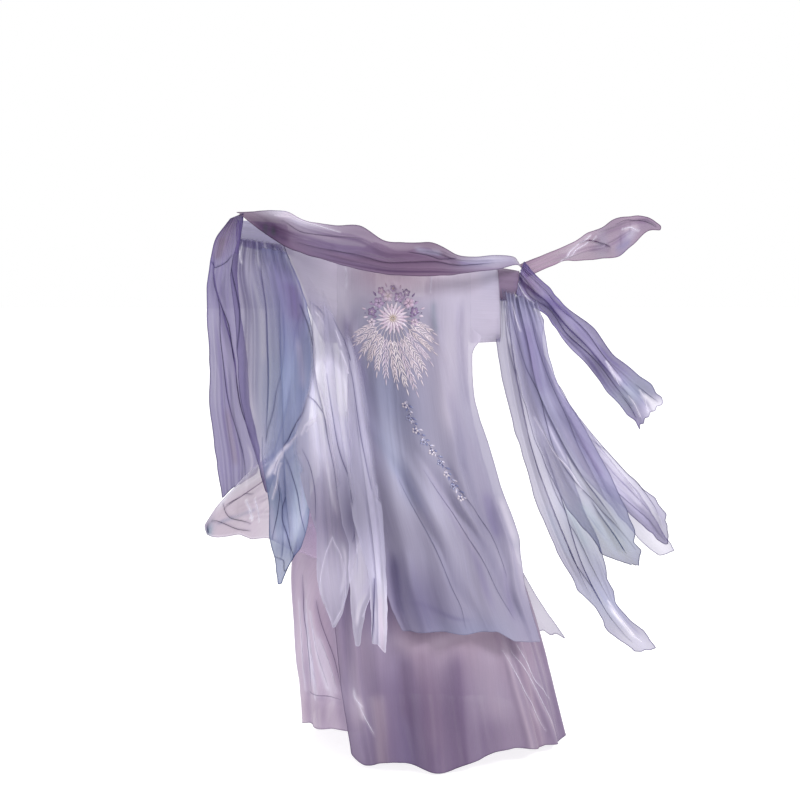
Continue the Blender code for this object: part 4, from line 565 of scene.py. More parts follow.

# Spots where the cloth is painted paler (+) or deeper (-); many paler spots are painted light that lifts the shade
# other pieces cast on the cloth.
# columns: change, part of the width, part of the length, reach across, reach down
PAINTED_LIGHT_AND_DEPTH = {
    "robe_back": [
        (0.52, 0.16, 0.43, 0.14, 0.157),
        (0.40, 0.26, 0.54, 0.18, 0.127),
        (0.42, 0.50, 0.62, 0.16, 0.085),
        (0.20, 0.78, 0.04, 0.19, 0.023),
        (0.18, -0.09, 0.07, 0.21, 0.035),
        (0.50, 0.01, 0.89, 0.10, 0.131),
        (0.15, 0.90, 0.78, 0.12, 0.062),
        (-0.08, 0.84, 0.21, 0.23, 0.142),
        (0.16, 0.49, 0.07, 0.37, 0.046),
        (0.20, 0.08, 0.48, 0.09, 0.063),
        (0.12, 0.42, 0.77, 0.31, 0.051),
    ],
    "skirt_back": [
        (0.85, 0.04, 0.75, 0.05, 0.261),
        (0.45, 0.01, 0.86, 0.06, 0.053),
        (0.45, 0.14, 0.71, 0.05, 0.131),
        (0.40, 0.22, 0.76, 0.06, 0.102),
        (0.25, 0.35, 0.78, 0.04, 0.074),
        (-0.18, 0.52, 0.97, 0.09, 0.054),
        (0.20, 0.76, 0.84, 0.11, 0.044),
        (-0.22, 0.29, 0.86, 0.06, 0.110),
        (0.16, 0.39, 0.76, 0.11, 0.029),
        (0.14, 0.57, 0.78, 0.12, 0.032),
        (0.06, 0.44, 0.81, 0.10, 0.064),
        (0.12, 0.11, 0.90, 0.07, 0.073),
        (0.30, 0.41, 0.73, 0.21, 0.015),
    ],
    "skirt_front": [
        (-0.18, 0.88, 0.95, 0.11, 0.035),
        (0.28, 0.84, 0.79, 0.11, 0.150),
        (0.12, 0.93, 0.89, 0.05, 0.097),
    ],
    "robe_front_right": [
    ],
    "sleeve_left_main": [
        (-0.24, 0.28, 0.29, 0.38, 0.258),
        (0.25, -0.10, 0.78, 0.38, 0.117),
        (0.12, 0.78, 0.03, 0.50, 0.056),
        (0.30, -0.11, 0.41, 0.12, 0.138),
        (0.50, 0.69, 0.69, 0.28, 0.097),
        (0.70, 0.28, 0.86, 0.39, 0.036),
        (0.45, 0.24, 0.80, 0.38, 0.050),
        (-0.12, 0.39, 0.36, 0.20, 0.208),
        (0.05, 0.39, 0.25, 0.21, 0.229),
    ],
    "sleeve_left_blue": [
        (0.60, 0.78, 0.40, 0.50, 0.114),
        (0.35, 0.16, 0.57, 0.40, 0.072),
        (0.85, 0.87, 0.66, 0.33, 0.101),
        (0.85, 0.58, 0.76, 0.48, 0.065),
        (0.20, 0.70, 0.00, 0.41, 0.035),
        (0.10, 0.34, 0.91, 0.87, 0.064),
        (-0.06, 0.45, 0.62, 0.23, 0.040),
        (0.25, 0.32, 0.79, 0.33, 0.025),
    ],
    "sleeve_left_petal_1": [
        (2.30, 0.54, 0.28, 0.52, 0.085),
        (1.00, 0.43, 0.43, 0.74, 0.090),
        (0.50, 0.54, 0.84, 0.54, 0.111),
        (-0.22, 0.39, 0.65, 0.51, 0.054),
        (-0.30, 0.90, 0.64, 0.29, 0.066),
    ],
    "sleeve_left_petal_2": [
        (1.00, 0.16, 0.26, 0.54, 0.081),
        (0.75, 0.44, 0.40, 0.70, 0.092),
        (1.35, 0.47, 0.75, 0.67, 0.124),
        (0.80, -0.06, 0.23, 0.39, 0.066),
        (-0.55, 0.10, 0.62, 0.32, 0.074),
    ],
    "sleeve_left_petal_3": [
        (0.70, 1.12, 0.16, 1.36, 0.104),
        (0.40, 0.82, 0.37, 1.11, 0.095),
        (0.70, 0.62, 0.86, 0.75, 0.146),
        (0.35, 0.00, 0.65, 0.57, 0.124),
    ],
    "sleeve_right_long": [
        (0.30, 0.44, 0.03, 0.60, 0.071),
        (0.65, 0.58, 0.31, 0.35, 0.057),
        (0.55, 0.56, 0.45, 0.43, 0.070),
        (0.18, 0.49, 0.78, 0.60, 0.067),
        (0.10, 0.48, 0.66, 0.46, 0.050),
    ],
    "sleeve_right_mid": [
        (0.25, 0.52, 0.09, 0.58, 0.153),
        (0.25, 0.65, 0.24, 0.33, 0.075),
        (0.40, 0.66, 0.31, 0.21, 0.034),
        (0.22, 0.79, 0.49, 0.29, 0.061),
        (0.18, 0.16, 0.64, 0.38, 0.086),
        (0.10, 0.79, 0.40, 0.21, 0.039),
        (0.60, 0.12, 0.38, 0.16, 0.039),
    ],
    "sleeve_right_outer": [
        (0.30, 0.88, 0.14, 0.43, 0.136),
        (0.45, 0.44, 0.62, 0.54, 0.128),
        (0.60, 0.42, 0.78, 0.50, 0.110),
    ],
    "shawl_end_right": [
        (0.60, 0.36, 0.71, 0.61, 0.074),
        (0.25, 0.27, 0.80, 0.29, 0.047),
        (0.45, 0.18, 0.38, 0.39, 0.050),
        (0.75, 0.27, 0.51, 0.35, 0.045),
    ],
    "shawl_end_left": [
        (0.12, -0.16, 0.92, 0.40, 0.050),
        (0.14, 0.70, 0.32, 0.70, 0.074),
        (0.30, 0.84, 0.45, 0.33, 0.138),
        (0.15, 0.80, 0.43, 0.51, 0.103),
    ],
    "shawl_back": [
        (-0.10, 0.45, 0.35, 0.14, 0.010),
        (-0.50, 0.19, 0.11, 0.35, 0.010),
        (-0.60, 0.27, 0.14, 0.19, 0.010),
    ],
    "sleeve_left_corner": [
        (-0.14, 0.52, 0.73, 0.26, 0.010),
        (-0.95, 0.67, 0.98, 0.44, 0.012),
        (0.30, 0.07, 0.68, 0.19, 0.010),
    ],
    "shawl_end_hand": [
        (-0.35, 0.63, 0.75, 0.17, 0.010),
        (-0.30, 0.38, 0.67, 0.15, 0.010),
    ],
}

# Narrow runs of another colour along a fold or an edge: runs of dye, white runs that are painted highlights, and deep
# runs that are painted shade along the folds.
# columns: dye, strength, half width mm, line of (part of length, part of width)
STREAKS = {
    "robe_back": [
        ("lilac_pale", 0.75, 26, [(0.08, 0.86), (0.20, 0.84), (0.36, 0.79), (0.49, 0.73)]),
        ("lilac_pale", 0.70, 20, [(0.07, 1.06), (0.17, 1.06), (0.26, 1.05), (0.34, 1.02)]),
        ("sea", 0.55, 9, [(0.09, 0.72), (0.14, 0.72), (0.19, 0.75)]),
        ("violet", 0.90, 20, [(0.10, 0.11), (0.17, 0.10), (0.28, 0.10), (0.36, 0.13)]),
        ("slate", 0.75, 16, [(0.74, 0.09), (0.84, 0.08), (0.94, 0.04)]),
        ("violet_deep", 0.30, 12, [(0.77, 0.06), (0.85, 0.06), (0.95, 0.00)]),
        ("lilac", 0.60, 12, [(0.54, 0.30), (0.67, 0.39), (0.79, 0.49), (0.93, 0.54)]),
        ("violet", 0.55, 11, [(0.54, 0.53), (0.67, 0.61), (0.80, 0.70), (0.94, 0.76)]),
        ("violet", 0.60, 14, [(0.59, 0.90), (0.66, 0.89), (0.74, 0.88)]),
        ("lilac_pale", 0.65, 12, [(0.61, 1.00), (0.68, 0.99), (0.75, 0.99)]),
        ("lilac_pale", 0.45, 12, [(0.73, 0.95), (0.81, 1.00), (0.91, 1.05)]),
        ("mist", 0.60, 30, [(0.39, 0.17), (0.49, 0.27), (0.59, 0.34), (0.67, 0.39)]),
        ("blue", 0.35, 18, [(0.44, 0.15), (0.50, 0.24), (0.57, 0.29)]),
        ("slate", 0.55, 22, [(0.87, 0.16), (0.91, 0.35), (0.94, 0.54)]),
        ("lilac_pale", 0.35, 10, [(0.49, 0.47), (0.59, 0.57), (0.70, 0.64), (0.80, 0.71)]),
        ("lilac_pale", 0.55, 14, [(0.08, 0.02), (0.15, 0.11), (0.21, 0.13)]),
        ("violet", 0.45, 10, [(0.78, 0.86), (0.86, 0.89), (0.96, 0.86)]),
    ],
    "skirt_back": [
        ("skirt_dark", 0.75, 9, [(0.68, -0.05), (0.77, -0.02), (0.85, 0.02), (0.94, 0.03)]),
        ("violet_deep", 0.35, 26, [(0.72, 0.22), (0.79, 0.22), (0.88, 0.22), (0.99, 0.20)]),
        ("skirt_dark", 0.85, 16, [(0.74, 0.24), (0.84, 0.22), (0.93, 0.21)]),
        ("skirt_dark", 0.70, 26, [(0.74, 0.40), (0.85, 0.38), (0.94, 0.36), (1.00, 0.34)]),
        ("skirt_rose", 0.85, 34, [(0.75, 0.52), (0.85, 0.50), (0.96, 0.50)]),
        ("skirt_dark", 0.50, 5, [(0.75, 0.41), (0.87, 0.39), (0.99, 0.37)]),
        ("skirt_dark", 0.45, 6, [(0.73, 0.26), (0.85, 0.24), (0.98, 0.21)]),
        ("mauve", 0.45, 5, [(0.74, 0.33), (0.86, 0.32), (0.99, 0.30)]),
        ("rose", 0.70, 26, [(0.76, 0.68), (0.87, 0.66), (0.99, 0.66)]),
        ("rose_pale", 0.75, 7, [(0.72, 0.60), (0.87, 0.60), (0.99, 0.61)]),
        ("rose_pale", 0.75, 6, [(0.78, 0.62), (0.89, 0.64), (0.98, 0.70)]),
        ("rose_pale", 0.65, 5, [(0.76, 0.66), (0.88, 0.70), (0.99, 0.77)]),
        ("mauve", 0.60, 20, [(0.72, 0.31), (0.85, 0.30), (0.98, 0.28)]),
        ("rose", 0.60, 16, [(0.84, 0.13), (0.91, 0.13), (0.99, 0.12)]),
        ("rose_pale", 0.80, 8, [(0.84, 0.05), (0.86, 0.06), (0.91, 0.07)]),
        ("mauve", 0.60, 16, [(0.75, 0.05), (0.84, 0.05), (0.95, 0.05)]),
    ],
    "skirt_front": [
        ("white_lilac", 0.70, 7, [(0.68, 0.85), (0.80, 0.86), (0.92, 0.88)]),
        ("white", 0.45, 5, [(0.74, 0.90), (0.86, 0.92), (0.94, 0.93)]),
        ("rose", 0.55, 11, [(0.66, 0.91), (0.80, 0.93), (0.93, 0.95)]),
        ("rose_pale", 0.55, 12, [(0.66, 0.81), (0.84, 0.81), (0.95, 0.82)]),
        ("violet", 0.25, 9, [(0.70, 0.96), (0.82, 0.97), (0.92, 0.98)]),
    ],
    "shawl_end_left": [
        ("lilac", 0.60, 10, [(0.29, 0.25), (0.43, 0.19), (0.58, 0.15), (0.72, 0.18)]),
        ("violet_deep", 0.65, 7, [(0.29, 0.93), (0.45, 0.92), (0.63, 0.94), (0.75, 0.97)]),
        ("plum", 0.60, 14, [(0.06, 0.43), (0.11, 0.45), (0.15, 0.31)]),
        ("plum", 0.45, 12, [(0.65, 0.58), (0.75, 0.50), (0.92, 0.49)]),
        ("lilac_pale", 0.45, 5, [(0.79, 0.89), (0.92, 0.96), (1.00, 0.94)]),
    ],
    "sleeve_left_main": [
        ("white", 0.75, 5, [(0.770, 1.06), (0.825, 0.71), (0.869, 0.16)]),
        ("lilac_pale", 0.35, 8, [(0.32, 0.12), (0.46, 0.09), (0.60, 0.12), (0.71, 0.16)]),
        ("white", 0.55, 3, [(0.01, 0.09), (0.06, 0.11), (0.11, 0.16)]),
        ("white", 0.85, 4, [(0.00, 0.58), (0.03, 0.62), (0.14, 0.57)]),
        ("white_lilac", 0.60, 3, [(0.00, 0.42), (0.06, 0.42), (0.12, 0.43)]),
        ("violet_deep", 0.50, 14, [(0.03, -0.02), (0.21, 0.09), (0.32, 0.07)]),
        ("violet_deep", 0.75, 20, [(0.14, 0.93), (0.24, 0.92), (0.36, 0.89)]),
        ("lilac", 0.60, 10, [(0.25, 0.39), (0.36, 0.34), (0.49, 0.32)]),
        ("blue", 0.75, 16, [(0.42, 0.50), (0.53, 0.51), (0.64, 0.58)]),
        ("blue", 0.80, 14, [(0.58, 0.65), (0.67, 0.64), (0.76, 0.62)]),
    ],
    "sleeve_left_blue": [
        ("white", 0.95, 8, [(0.500, 0.76), (0.525, 0.53), (0.556, 0.34), (0.594, 0.13), (0.625, -0.02)]),
        ("blue", 0.75, 14, [(0.28, 0.43), (0.38, 0.45), (0.48, 0.41)]),
        ("violet_deep", 0.80, 24, [(0.08, 0.73), (0.14, 0.77), (0.21, 0.78)]),
        ("lilac", 0.65, 10, [(0.23, 0.77), (0.29, 0.85), (0.38, 0.95)]),
        ("ink", 0.35, 6, [(0.55, 0.47), (0.63, 0.46), (0.73, 0.50), (0.83, 0.66)]),
        ("blue_pale", 0.85, 9, [(0.68, 0.05), (0.76, 0.06), (0.83, 0.14)]),
        ("mist", 0.80, 7, [(0.59, 0.82), (0.68, 0.82), (0.77, 0.86)]),
        ("blue", 0.65, 14, [(0.56, 0.38), (0.65, 0.40), (0.74, 0.42)]),
    ],
    "sleeve_left_corner": [
        ("white", 0.95, 13, [(0.57, 0.08), (0.66, 0.00), (0.79, -0.02), (0.91, 0.03)]),
        ("white", 0.95, 6, [(0.13, 0.02), (0.35, -0.00), (0.55, -0.01), (0.72, 0.02), (0.85, 0.03)]),
        ("slate", 0.70, 7, [(0.91, 0.39), (0.78, 0.75), (0.65, 0.98), (0.57, 1.05)]),
        ("ink", 0.60, 12, [(0.99, 0.02), (0.96, 0.54), (0.91, 0.78)]),
        ("rose", 0.35, 16, [(0.77, 0.24), (0.71, 0.51), (0.65, 0.66)]),
        ("white", 0.80, 4, [(0.66, 0.28), (0.64, 0.54), (0.62, 0.76)]),
    ],
    "sleeve_left_petal_1": [
        ("white", 0.95, 6, [(0.322, 0.50), (0.331, 0.38), (0.350, 0.06), (0.366, -0.24)]),
        ("white", 0.95, 5, [(0.70, 0.89), (0.76, 0.98), (0.83, 0.94), (0.89, 0.84)]),
        ("white", 0.95, 18, [(0.16, 0.55), (0.23, 0.70), (0.32, 0.80), (0.41, 0.80)]),
        ("white", 0.55, 5, [(0.45, 0.44), (0.56, 0.56), (0.64, 0.75)]),
    ],
    "sleeve_left_petal_2": [
        ("white", 0.95, 5, [(0.61, 1.04), (0.70, 0.94), (0.78, 1.05)]),
        ("white", 0.90, 5, [(0.82, 0.94), (0.87, 0.64), (0.95, 0.63)]),
        ("white", 0.85, 12, [(0.18, 0.45), (0.26, 0.45), (0.34, 0.50)]),
        ("violet", 0.45, 6, [(0.41, 0.66), (0.49, 0.68), (0.58, 0.77)]),
    ],
    "sleeve_left_petal_3": [
        ("slate", 0.70, 3, [(0.72, 0.20), (0.83, 0.14), (0.97, 0.16)]),
        ("rose_pale", 0.60, 6, [(0.77, 0.62), (0.87, 0.62), (0.99, 0.74)]),
    ],
    "sleeve_right_long": [
        ("white_lilac", 0.85, 5, [(0.01, 0.14), (0.08, 0.23), (0.12, 0.24)]),
        ("white", 0.90, 7, [(0.26, 0.56), (0.32, 0.61), (0.41, 0.67), (0.50, 0.67)]),
        ("blue_pale", 0.75, 10, [(0.45, 0.13), (0.53, 0.14), (0.62, 0.19)]),
        ("sea", 0.80, 14, [(0.44, 0.62), (0.50, 0.65), (0.58, 0.72)]),
        ("violet_deep", 0.40, 8, [(0.08, 0.52), (0.14, 0.50), (0.21, 0.54)]),
        ("white", 0.80, 7, [(0.73, 0.53), (0.82, 0.58), (0.93, 0.49)]),
        ("slate", 0.45, 5, [(0.32, 0.36), (0.44, 0.52), (0.61, 0.38), (0.73, 0.11)]),
    ],
    "sleeve_right_mid": [
        ("violet_deep", 0.55, 12, [(0.05, 0.54), (0.19, 0.44), (0.31, 0.46)]),
        ("lilac", 0.75, 8, [(0.00, 0.97), (0.09, 1.05), (0.16, 0.97)]),
        ("white_lilac", 0.80, 5, [(0.35, 0.31), (0.41, 0.35), (0.47, 0.38)]),
        ("sea", 0.75, 14, [(0.56, 0.26), (0.62, 0.32), (0.71, 0.28)]),
        ("violet_deep", 0.45, 9, [(0.37, 0.79), (0.43, 0.82), (0.50, 0.88)]),
        ("lilac", 0.55, 9, [(0.35, 0.56), (0.42, 0.62), (0.53, 0.71)]),
    ],
    "sleeve_right_outer": [
        ("white", 0.90, 12, [(0.45, 0.77), (0.52, 0.73), (0.60, 0.71)]),
        ("white", 0.75, 6, [(0.50, 0.65), (0.64, 0.51), (0.79, 0.53)]),
        ("violet", 0.55, 8, [(0.14, 0.93), (0.25, 0.86), (0.36, 0.77)]),
        ("grey", 0.60, 8, [(0.69, 0.53), (0.81, 0.42), (0.93, 0.44)]),
    ],
    "shawl_end_right": [
        ("violet_deep", 0.60, 10, [(0.16, 1.05), (0.27, 0.86), (0.36, 0.59)]),
        ("lilac_pale", 0.65, 5, [(0.59, 0.67), (0.66, 0.59), (0.73, 0.54)]),
        ("lilac", 0.55, 6, [(0.33, 1.05), (0.44, 0.90), (0.54, 0.96)]),
        ("slate", 0.70, 8, [(0.51, 0.48), (0.62, 0.32), (0.77, 0.21)]),
        ("white", 0.90, 8, [(0.82, 0.68), (0.90, 0.72), (1.00, 0.78)]),
    ],
    "shawl_end_hand": [
        ("rose_pale", 0.85, 10, [(0.26, 0.27), (0.34, 0.75), (0.42, 0.95)]),
        ("mauve", 0.75, 9, [(0.41, 0.37), (0.49, 0.30), (0.60, 0.22)]),
        ("plum", 0.40, 5, [(0.40, 0.72), (0.46, 0.71), (0.52, 0.59)]),
        ("rose_pale", 0.80, 7, [(0.69, 0.60), (0.75, 0.66), (0.83, 0.55)]),
        ("violet", 0.55, 8, [(0.61, 0.26), (0.68, 0.22), (0.77, 0.19)]),
    ],
    "shawl_back": [
        ("plum_dark", 0.85, 9, [(0.07, 0.34), (0.13, 0.19), (0.21, 0.24)]),
        ("rose_pale", 0.80, 9, [(0.13, 0.79), (0.24, 1.00), (0.34, 1.05)]),
        ("mauve", 0.65, 7, [(0.24, 0.59), (0.39, 0.70), (0.56, 0.97)]),
        ("plum", 0.60, 9, [(0.28, 0.29), (0.39, 0.20), (0.54, 0.33), (0.69, 0.31)]),
        ("plum_dark", 0.65, 3, [(0.24, 0.00), (0.39, 0.06), (0.54, 0.11), (0.69, 0.11), (0.82, 0.06)]),
        ("grey", 0.75, 8, [(0.61, 0.84), (0.66, 0.73), (0.71, 0.73)]),
        ("plum_dark", 0.60, 2, [(0.69, 0.82), (0.72, 0.85), (0.75, 0.89)]),
        ("violet", 0.45, 10, [(0.74, 0.60), (0.81, 0.64), (0.88, 0.53)]),
    ],
}

# Fine seams and edges seen through the cloth, sewn or folded sharp, are the dark marks; the white marks are painted
# highlights along sharp folds and edges.
# columns: d dark or w white, strength, line of (part of length, part of width)
MARKS = {
    "shawl_end_left": [
        ("d", 0.90, [(0.200, 0.34), (0.300, 0.68), (0.381, 0.96), (0.475, 0.97), (0.537, 0.93), (0.625, 0.95), (0.694, 0.99), (0.756, 1.04), (0.806, 1.07), (1.000, 1.28)]),
        ("d", 0.50, [(0.200, 0.27), (0.331, 0.59), (0.456, 0.48), (0.588, 0.56), (0.731, 0.67), (0.825, 0.72), (1.000, 0.77)]),
        ("d", 0.60, [(0.150, 0.04), (0.169, 0.35), (0.150, 0.87), (0.125, 1.17)]),
    ],
    "sleeve_left_main": [
        ("d", 0.80, [(0.062, -0.12), (0.136, -0.02), (0.210, 0.02), (0.297, 0.03), (0.363, 0.00), (0.425, -0.04)]),
        ("d", 0.80, [(0.295, 0.68), (0.416, 0.63), (0.499, 0.59), (0.563, 0.53), (0.628, 0.50), (0.687, 0.45), (0.756, 0.37)]),
        ("d", 0.50, [(0.295, 0.94), (0.370, 0.82), (0.443, 0.74)]),
        ("w", 0.70, [(0.000, 0.57), (0.024, 0.62), (0.109, 0.60), (0.151, 0.61)]),
        ("w", 0.60, [(0.000, -0.01), (0.031, 0.05), (0.090, 0.12)]),
        ("w", 0.50, [(0.000, 0.78), (0.019, 0.81), (0.084, 0.77)]),
        ("w", 0.90, [(0.742, 1.15), (0.775, 1.02), (0.812, 0.83), (0.850, 0.56)]),
        ("w", 0.60, [(0.763, 1.17), (0.800, 1.02), (0.837, 0.79)]),
    ],
    "sleeve_left_blue": [
        ("d", 1.00, [(0.156, 0.90), (0.206, 1.06), (0.262, 1.17), (0.312, 1.21), (0.369, 1.13), (0.425, 0.95), (0.481, 0.68), (0.542, 0.42), (0.584, 0.23)]),
        ("d", 0.70, [(0.619, 0.41), (0.650, 0.41), (0.706, 0.36), (0.750, 0.39), (0.831, 0.61), (0.919, 1.26), (0.981, 1.10)]),
        ("d", 0.60, [(0.550, 0.52), (0.650, 0.70), (0.725, 0.80), (0.784, 0.98)]),
        ("d", 0.50, [(0.869, -0.07), (0.894, 0.50), (0.950, 0.95), (0.906, 1.30), (0.867, 1.10)]),
        ("d", 0.50, [(0.619, 0.25), (0.675, 0.24), (0.737, 0.17), (0.806, 0.03)]),
        ("w", 1.00, [(0.444, 1.31), (0.463, 1.06), (0.506, 0.67), (0.542, 0.42), (0.600, 0.21)]),
        ("w", 0.60, [(0.675, 0.10), (0.619, 0.25), (0.569, 0.38)]),
        ("d", 0.40, [(0.531, 0.83), (0.575, 0.96), (0.650, 1.01)]),
    ],
    "sleeve_left_corner": [
        ("w", 0.90, [(0.859, -0.14), (0.766, -0.08), (0.678, -0.03), (0.605, -0.00)]),
        ("d", 0.60, [(0.841, 0.09), (0.805, 0.46), (0.757, 0.65), (0.641, 0.81)]),
        ("d", 0.60, [(0.931, 0.32), (0.819, 0.68), (0.738, 0.87), (0.639, 0.92)]),
        ("d", 0.60, [(0.812, 0.25), (0.726, 0.28), (0.636, 0.37)]),
        ("w", 0.70, [(0.680, 0.41), (0.651, 0.57), (0.629, 0.76)]),
        ("w", 0.50, [(0.621, 0.45), (0.591, 0.64), (0.575, 0.80)]),
    ],
    "sleeve_left_petal_1": [
        ("d", 0.60, [(0.206, 0.18), (0.275, 0.33), (0.338, 0.48), (0.412, 0.57), (0.488, 0.68), (0.581, 0.76)]),
        ("d", 0.60, [(0.275, -0.10), (0.294, 0.22), (0.331, 0.49)]),
        ("d", 0.40, [(0.434, -0.36), (0.486, -0.13), (0.556, -0.01), (0.644, -0.05)]),
        ("w", 0.80, [(0.231, 0.32), (0.287, 0.53), (0.363, 0.67), (0.438, 0.72)]),
        ("w", 0.90, [(0.044, 0.36), (0.056, 0.80), (0.088, 1.01)]),
        ("d", 0.50, [(0.025, 0.13), (0.031, 0.83), (0.059, 1.33)]),
        ("w", 0.70, [(0.163, 0.54), (0.206, 0.77), (0.263, 0.83)]),
        ("w", 1.00, [(0.325, 0.32), (0.344, 0.05), (0.363, -0.22), (0.391, -0.36)]),
        ("w", 0.70, [(0.338, 0.38), (0.356, 0.08), (0.381, -0.19)]),
        ("w", 0.55, [(0.694, 0.55), (0.744, 0.27), (0.819, 0.03), (0.900, -0.16), (0.969, 0.13)]),
        ("w", 0.55, [(0.694, 0.55), (0.750, 0.83), (0.838, 1.03), (0.925, 1.05), (0.988, 0.52)]),
    ],
    "sleeve_left_petal_2": [
        ("d", 0.60, [(0.200, -0.19), (0.300, -0.10), (0.400, -0.03), (0.475, 0.14), (0.544, 0.23), (0.606, 0.19), (0.675, 0.02)]),
        ("w", 0.80, [(0.219, 0.06), (0.275, 0.23), (0.325, 0.29), (0.381, 0.29)]),
        ("d", 0.55, [(0.020, 0.77), (0.081, 1.08), (0.163, 1.15), (0.231, 1.12), (0.275, 1.03)]),
        ("w", 0.80, [(0.138, 0.74), (0.181, 0.86), (0.225, 0.91)]),
        ("w", 0.50, [(0.069, 0.71), (0.119, 0.82)]),
        ("w", 0.70, [(0.606, 0.97), (0.681, 0.97), (0.787, 1.18)]),
        ("w", 0.80, [(0.562, 0.94), (0.625, 0.55), (0.706, 0.18), (0.787, -0.09), (0.863, -0.31)]),
        ("w", 0.80, [(0.575, 0.99), (0.638, 1.04), (0.719, 1.08), (0.806, 1.35), (0.908, 1.35)]),
    ],
    "sleeve_left_petal_3": [
        ("d", 0.50, [(0.072, -0.36), (0.156, 0.13), (0.225, 0.25), (0.338, 0.46), (0.475, 0.73)]),
        ("d", 0.90, [(0.731, 0.29), (0.812, 0.22), (0.894, 0.11), (0.988, 0.02)]),
    ],
    "sleeve_right_mid": [
        ("d", 0.45, [(0.013, 0.06), (0.125, 0.18), (0.213, 0.25), (0.300, 0.34), (0.387, 0.28), (0.450, 0.28), (0.519, 0.37), (0.588, 0.54), (0.675, 0.72), (0.830, 0.90)]),
        ("w", 0.68, [(0.350, 0.11), (0.419, 0.22), (0.475, 0.35), (0.531, 0.39)]),
        ("w", 0.42, [(0.000, 0.18), (0.050, 0.23), (0.094, 0.29)]),
        ("d", 0.29, [(0.006, 0.74), (0.125, 0.68), (0.231, 0.69), (0.326, 0.73), (0.419, 0.70), (0.562, 0.73)]),
    ],
    "sleeve_right_long": [
        ("d", 0.45, [(0.000, 0.09), (0.106, 0.20), (0.206, 0.27), (0.288, 0.23), (0.344, 0.26), (0.437, 0.25), (0.538, 0.27), (0.656, 0.31), (0.744, 0.34), (0.931, 0.32)]),
        ("d", 0.29, [(0.363, 0.41), (0.438, 0.46), (0.519, 0.54), (0.631, 0.61), (0.731, 0.64)]),
        ("w", 0.59, [(0.025, 0.13), (0.056, 0.21), (0.094, 0.32)]),
        ("w", 0.68, [(0.731, 0.58), (0.788, 0.61), (0.875, 0.54), (0.944, 0.62)]),
    ],
    "sleeve_right_outer": [
        ("d", 0.45, [(0.262, 0.85), (0.331, 0.81), (0.413, 0.48), (0.500, 0.31), (0.651, 0.24), (0.806, 0.37), (0.975, 0.54)]),
        ("d", 0.39, [(0.425, 0.79), (0.494, 1.03), (0.606, 0.96), (0.791, 0.81)]),
        ("w", 0.68, [(0.450, 0.78), (0.500, 0.83), (0.599, 0.76), (0.750, 0.61)]),
    ],
    "shawl_end_right": [
        ("d", 0.45, [(0.025, -0.03), (0.200, 0.29), (0.383, 0.21), (0.531, 0.31), (0.675, 0.29), (0.863, 0.22)]),
        ("d", 0.30, [(0.062, 1.02), (0.256, 0.99), (0.400, 0.84), (0.580, 0.73), (0.750, 0.58)]),
        ("w", 0.51, [(0.000, -0.35), (0.075, -0.22), (0.156, 0.01)]),
        ("w", 0.68, [(0.588, 0.67), (0.663, 0.54), (0.744, 0.41)]),
        ("w", 0.51, [(0.811, 0.72), (0.881, 0.62), (0.981, 0.48)]),
        ("w", 0.51, [(0.800, 0.36), (0.863, 0.32), (0.964, 0.23)]),
        ("d", 0.38, [(0.749, 0.23), (0.840, 0.19), (0.956, 0.11)]),
        ("d", 0.30, [(0.775, 0.77), (0.855, 0.79), (0.961, 0.88)]),
    ],
    "shawl_end_hand": [
        ("w", 0.54, [(0.225, -0.18), (0.288, 0.48), (0.350, 0.80), (0.424, 0.91)]),
        ("w", 0.36, [(0.263, 0.03), (0.333, 0.48), (0.400, 0.61), (0.472, 0.80)]),
        ("d", 0.35, [(0.635, 0.86), (0.732, 0.90), (0.845, 0.76), (0.963, 0.46)]),
        ("w", 0.36, [(0.685, 0.68), (0.759, 0.65), (0.825, 0.35)]),
    ],
    "shawl_back": [
        ("d", 0.50, [(0.050, -0.04), (0.100, -0.04), (0.150, -0.05), (0.244, -0.03), (0.345, -0.06)]),
        ("w", 0.30, [(0.138, 0.84), (0.209, 0.94), (0.300, 0.94), (0.375, 0.85)]),
        ("d", 0.25, [(0.169, 0.69), (0.244, 0.60), (0.331, 0.69), (0.450, 0.71)]),
        ("d", 0.50, [(0.600, 0.71), (0.650, 0.63), (0.694, 0.54), (0.744, 0.81)]),
        ("d", 0.20, [(0.725, 0.54), (0.794, 0.40), (0.856, 0.43)]),
    ],
    "robe_back": [
        ("d", 0.18, [(0.562, 0.28), (0.662, 0.35), (0.762, 0.42), (0.876, 0.51), (0.955, 0.49)]),
        ("d", 0.18, [(0.539, 0.48), (0.633, 0.59), (0.726, 0.67), (0.832, 0.80), (0.920, 0.88)]),
        ("d", 0.18, [(0.563, 0.67), (0.657, 0.80), (0.754, 0.86), (0.818, 0.90)]),
        ("w", 0.50, [(0.041, 0.06), (0.055, 0.07), (0.072, 0.07)]),
        ("w", 0.30, [(0.037, 0.72), (0.056, 0.71), (0.078, 0.70)]),
    ],
    "skirt_back": [
        ("w", 0.55, [(0.839, 0.05), (0.854, 0.05), (0.872, 0.07)]),
        ("w", 0.25, [(0.866, 0.06), (0.903, 0.08), (0.937, 0.10)]),
        ("w", 0.14, [(0.778, 0.58), (0.841, 0.62), (0.918, 0.67), (0.971, 0.71)]),
        ("w", 0.14, [(0.779, 0.62), (0.832, 0.67), (0.899, 0.72), (0.956, 0.75)]),
        ("w", 0.14, [(0.766, 0.65), (0.851, 0.71), (0.906, 0.80)]),
    ],
    "skirt_front": [
        ("d", 0.28, [(0.624, 0.85), (0.734, 0.84), (0.829, 0.86), (0.915, 0.86)]),
        ("d", 0.28, [(0.681, 0.91), (0.750, 0.92), (0.825, 0.94), (0.894, 0.95)]),
        ("w", 0.60, [(0.684, 0.86), (0.780, 0.87), (0.875, 0.88), (0.923, 0.88)]),
        ("w", 0.60, [(0.706, 0.89), (0.802, 0.90), (0.896, 0.92)]),
        ("d", 0.28, [(0.916, 0.83), (0.915, 0.87), (0.919, 0.92), (0.925, 0.95)]),
        ("w", 0.50, [(0.687, 0.82), (0.786, 0.82), (0.907, 0.82)]),
        ("w", 0.40, [(0.731, 0.87), (0.828, 0.88), (0.910, 0.89)]),
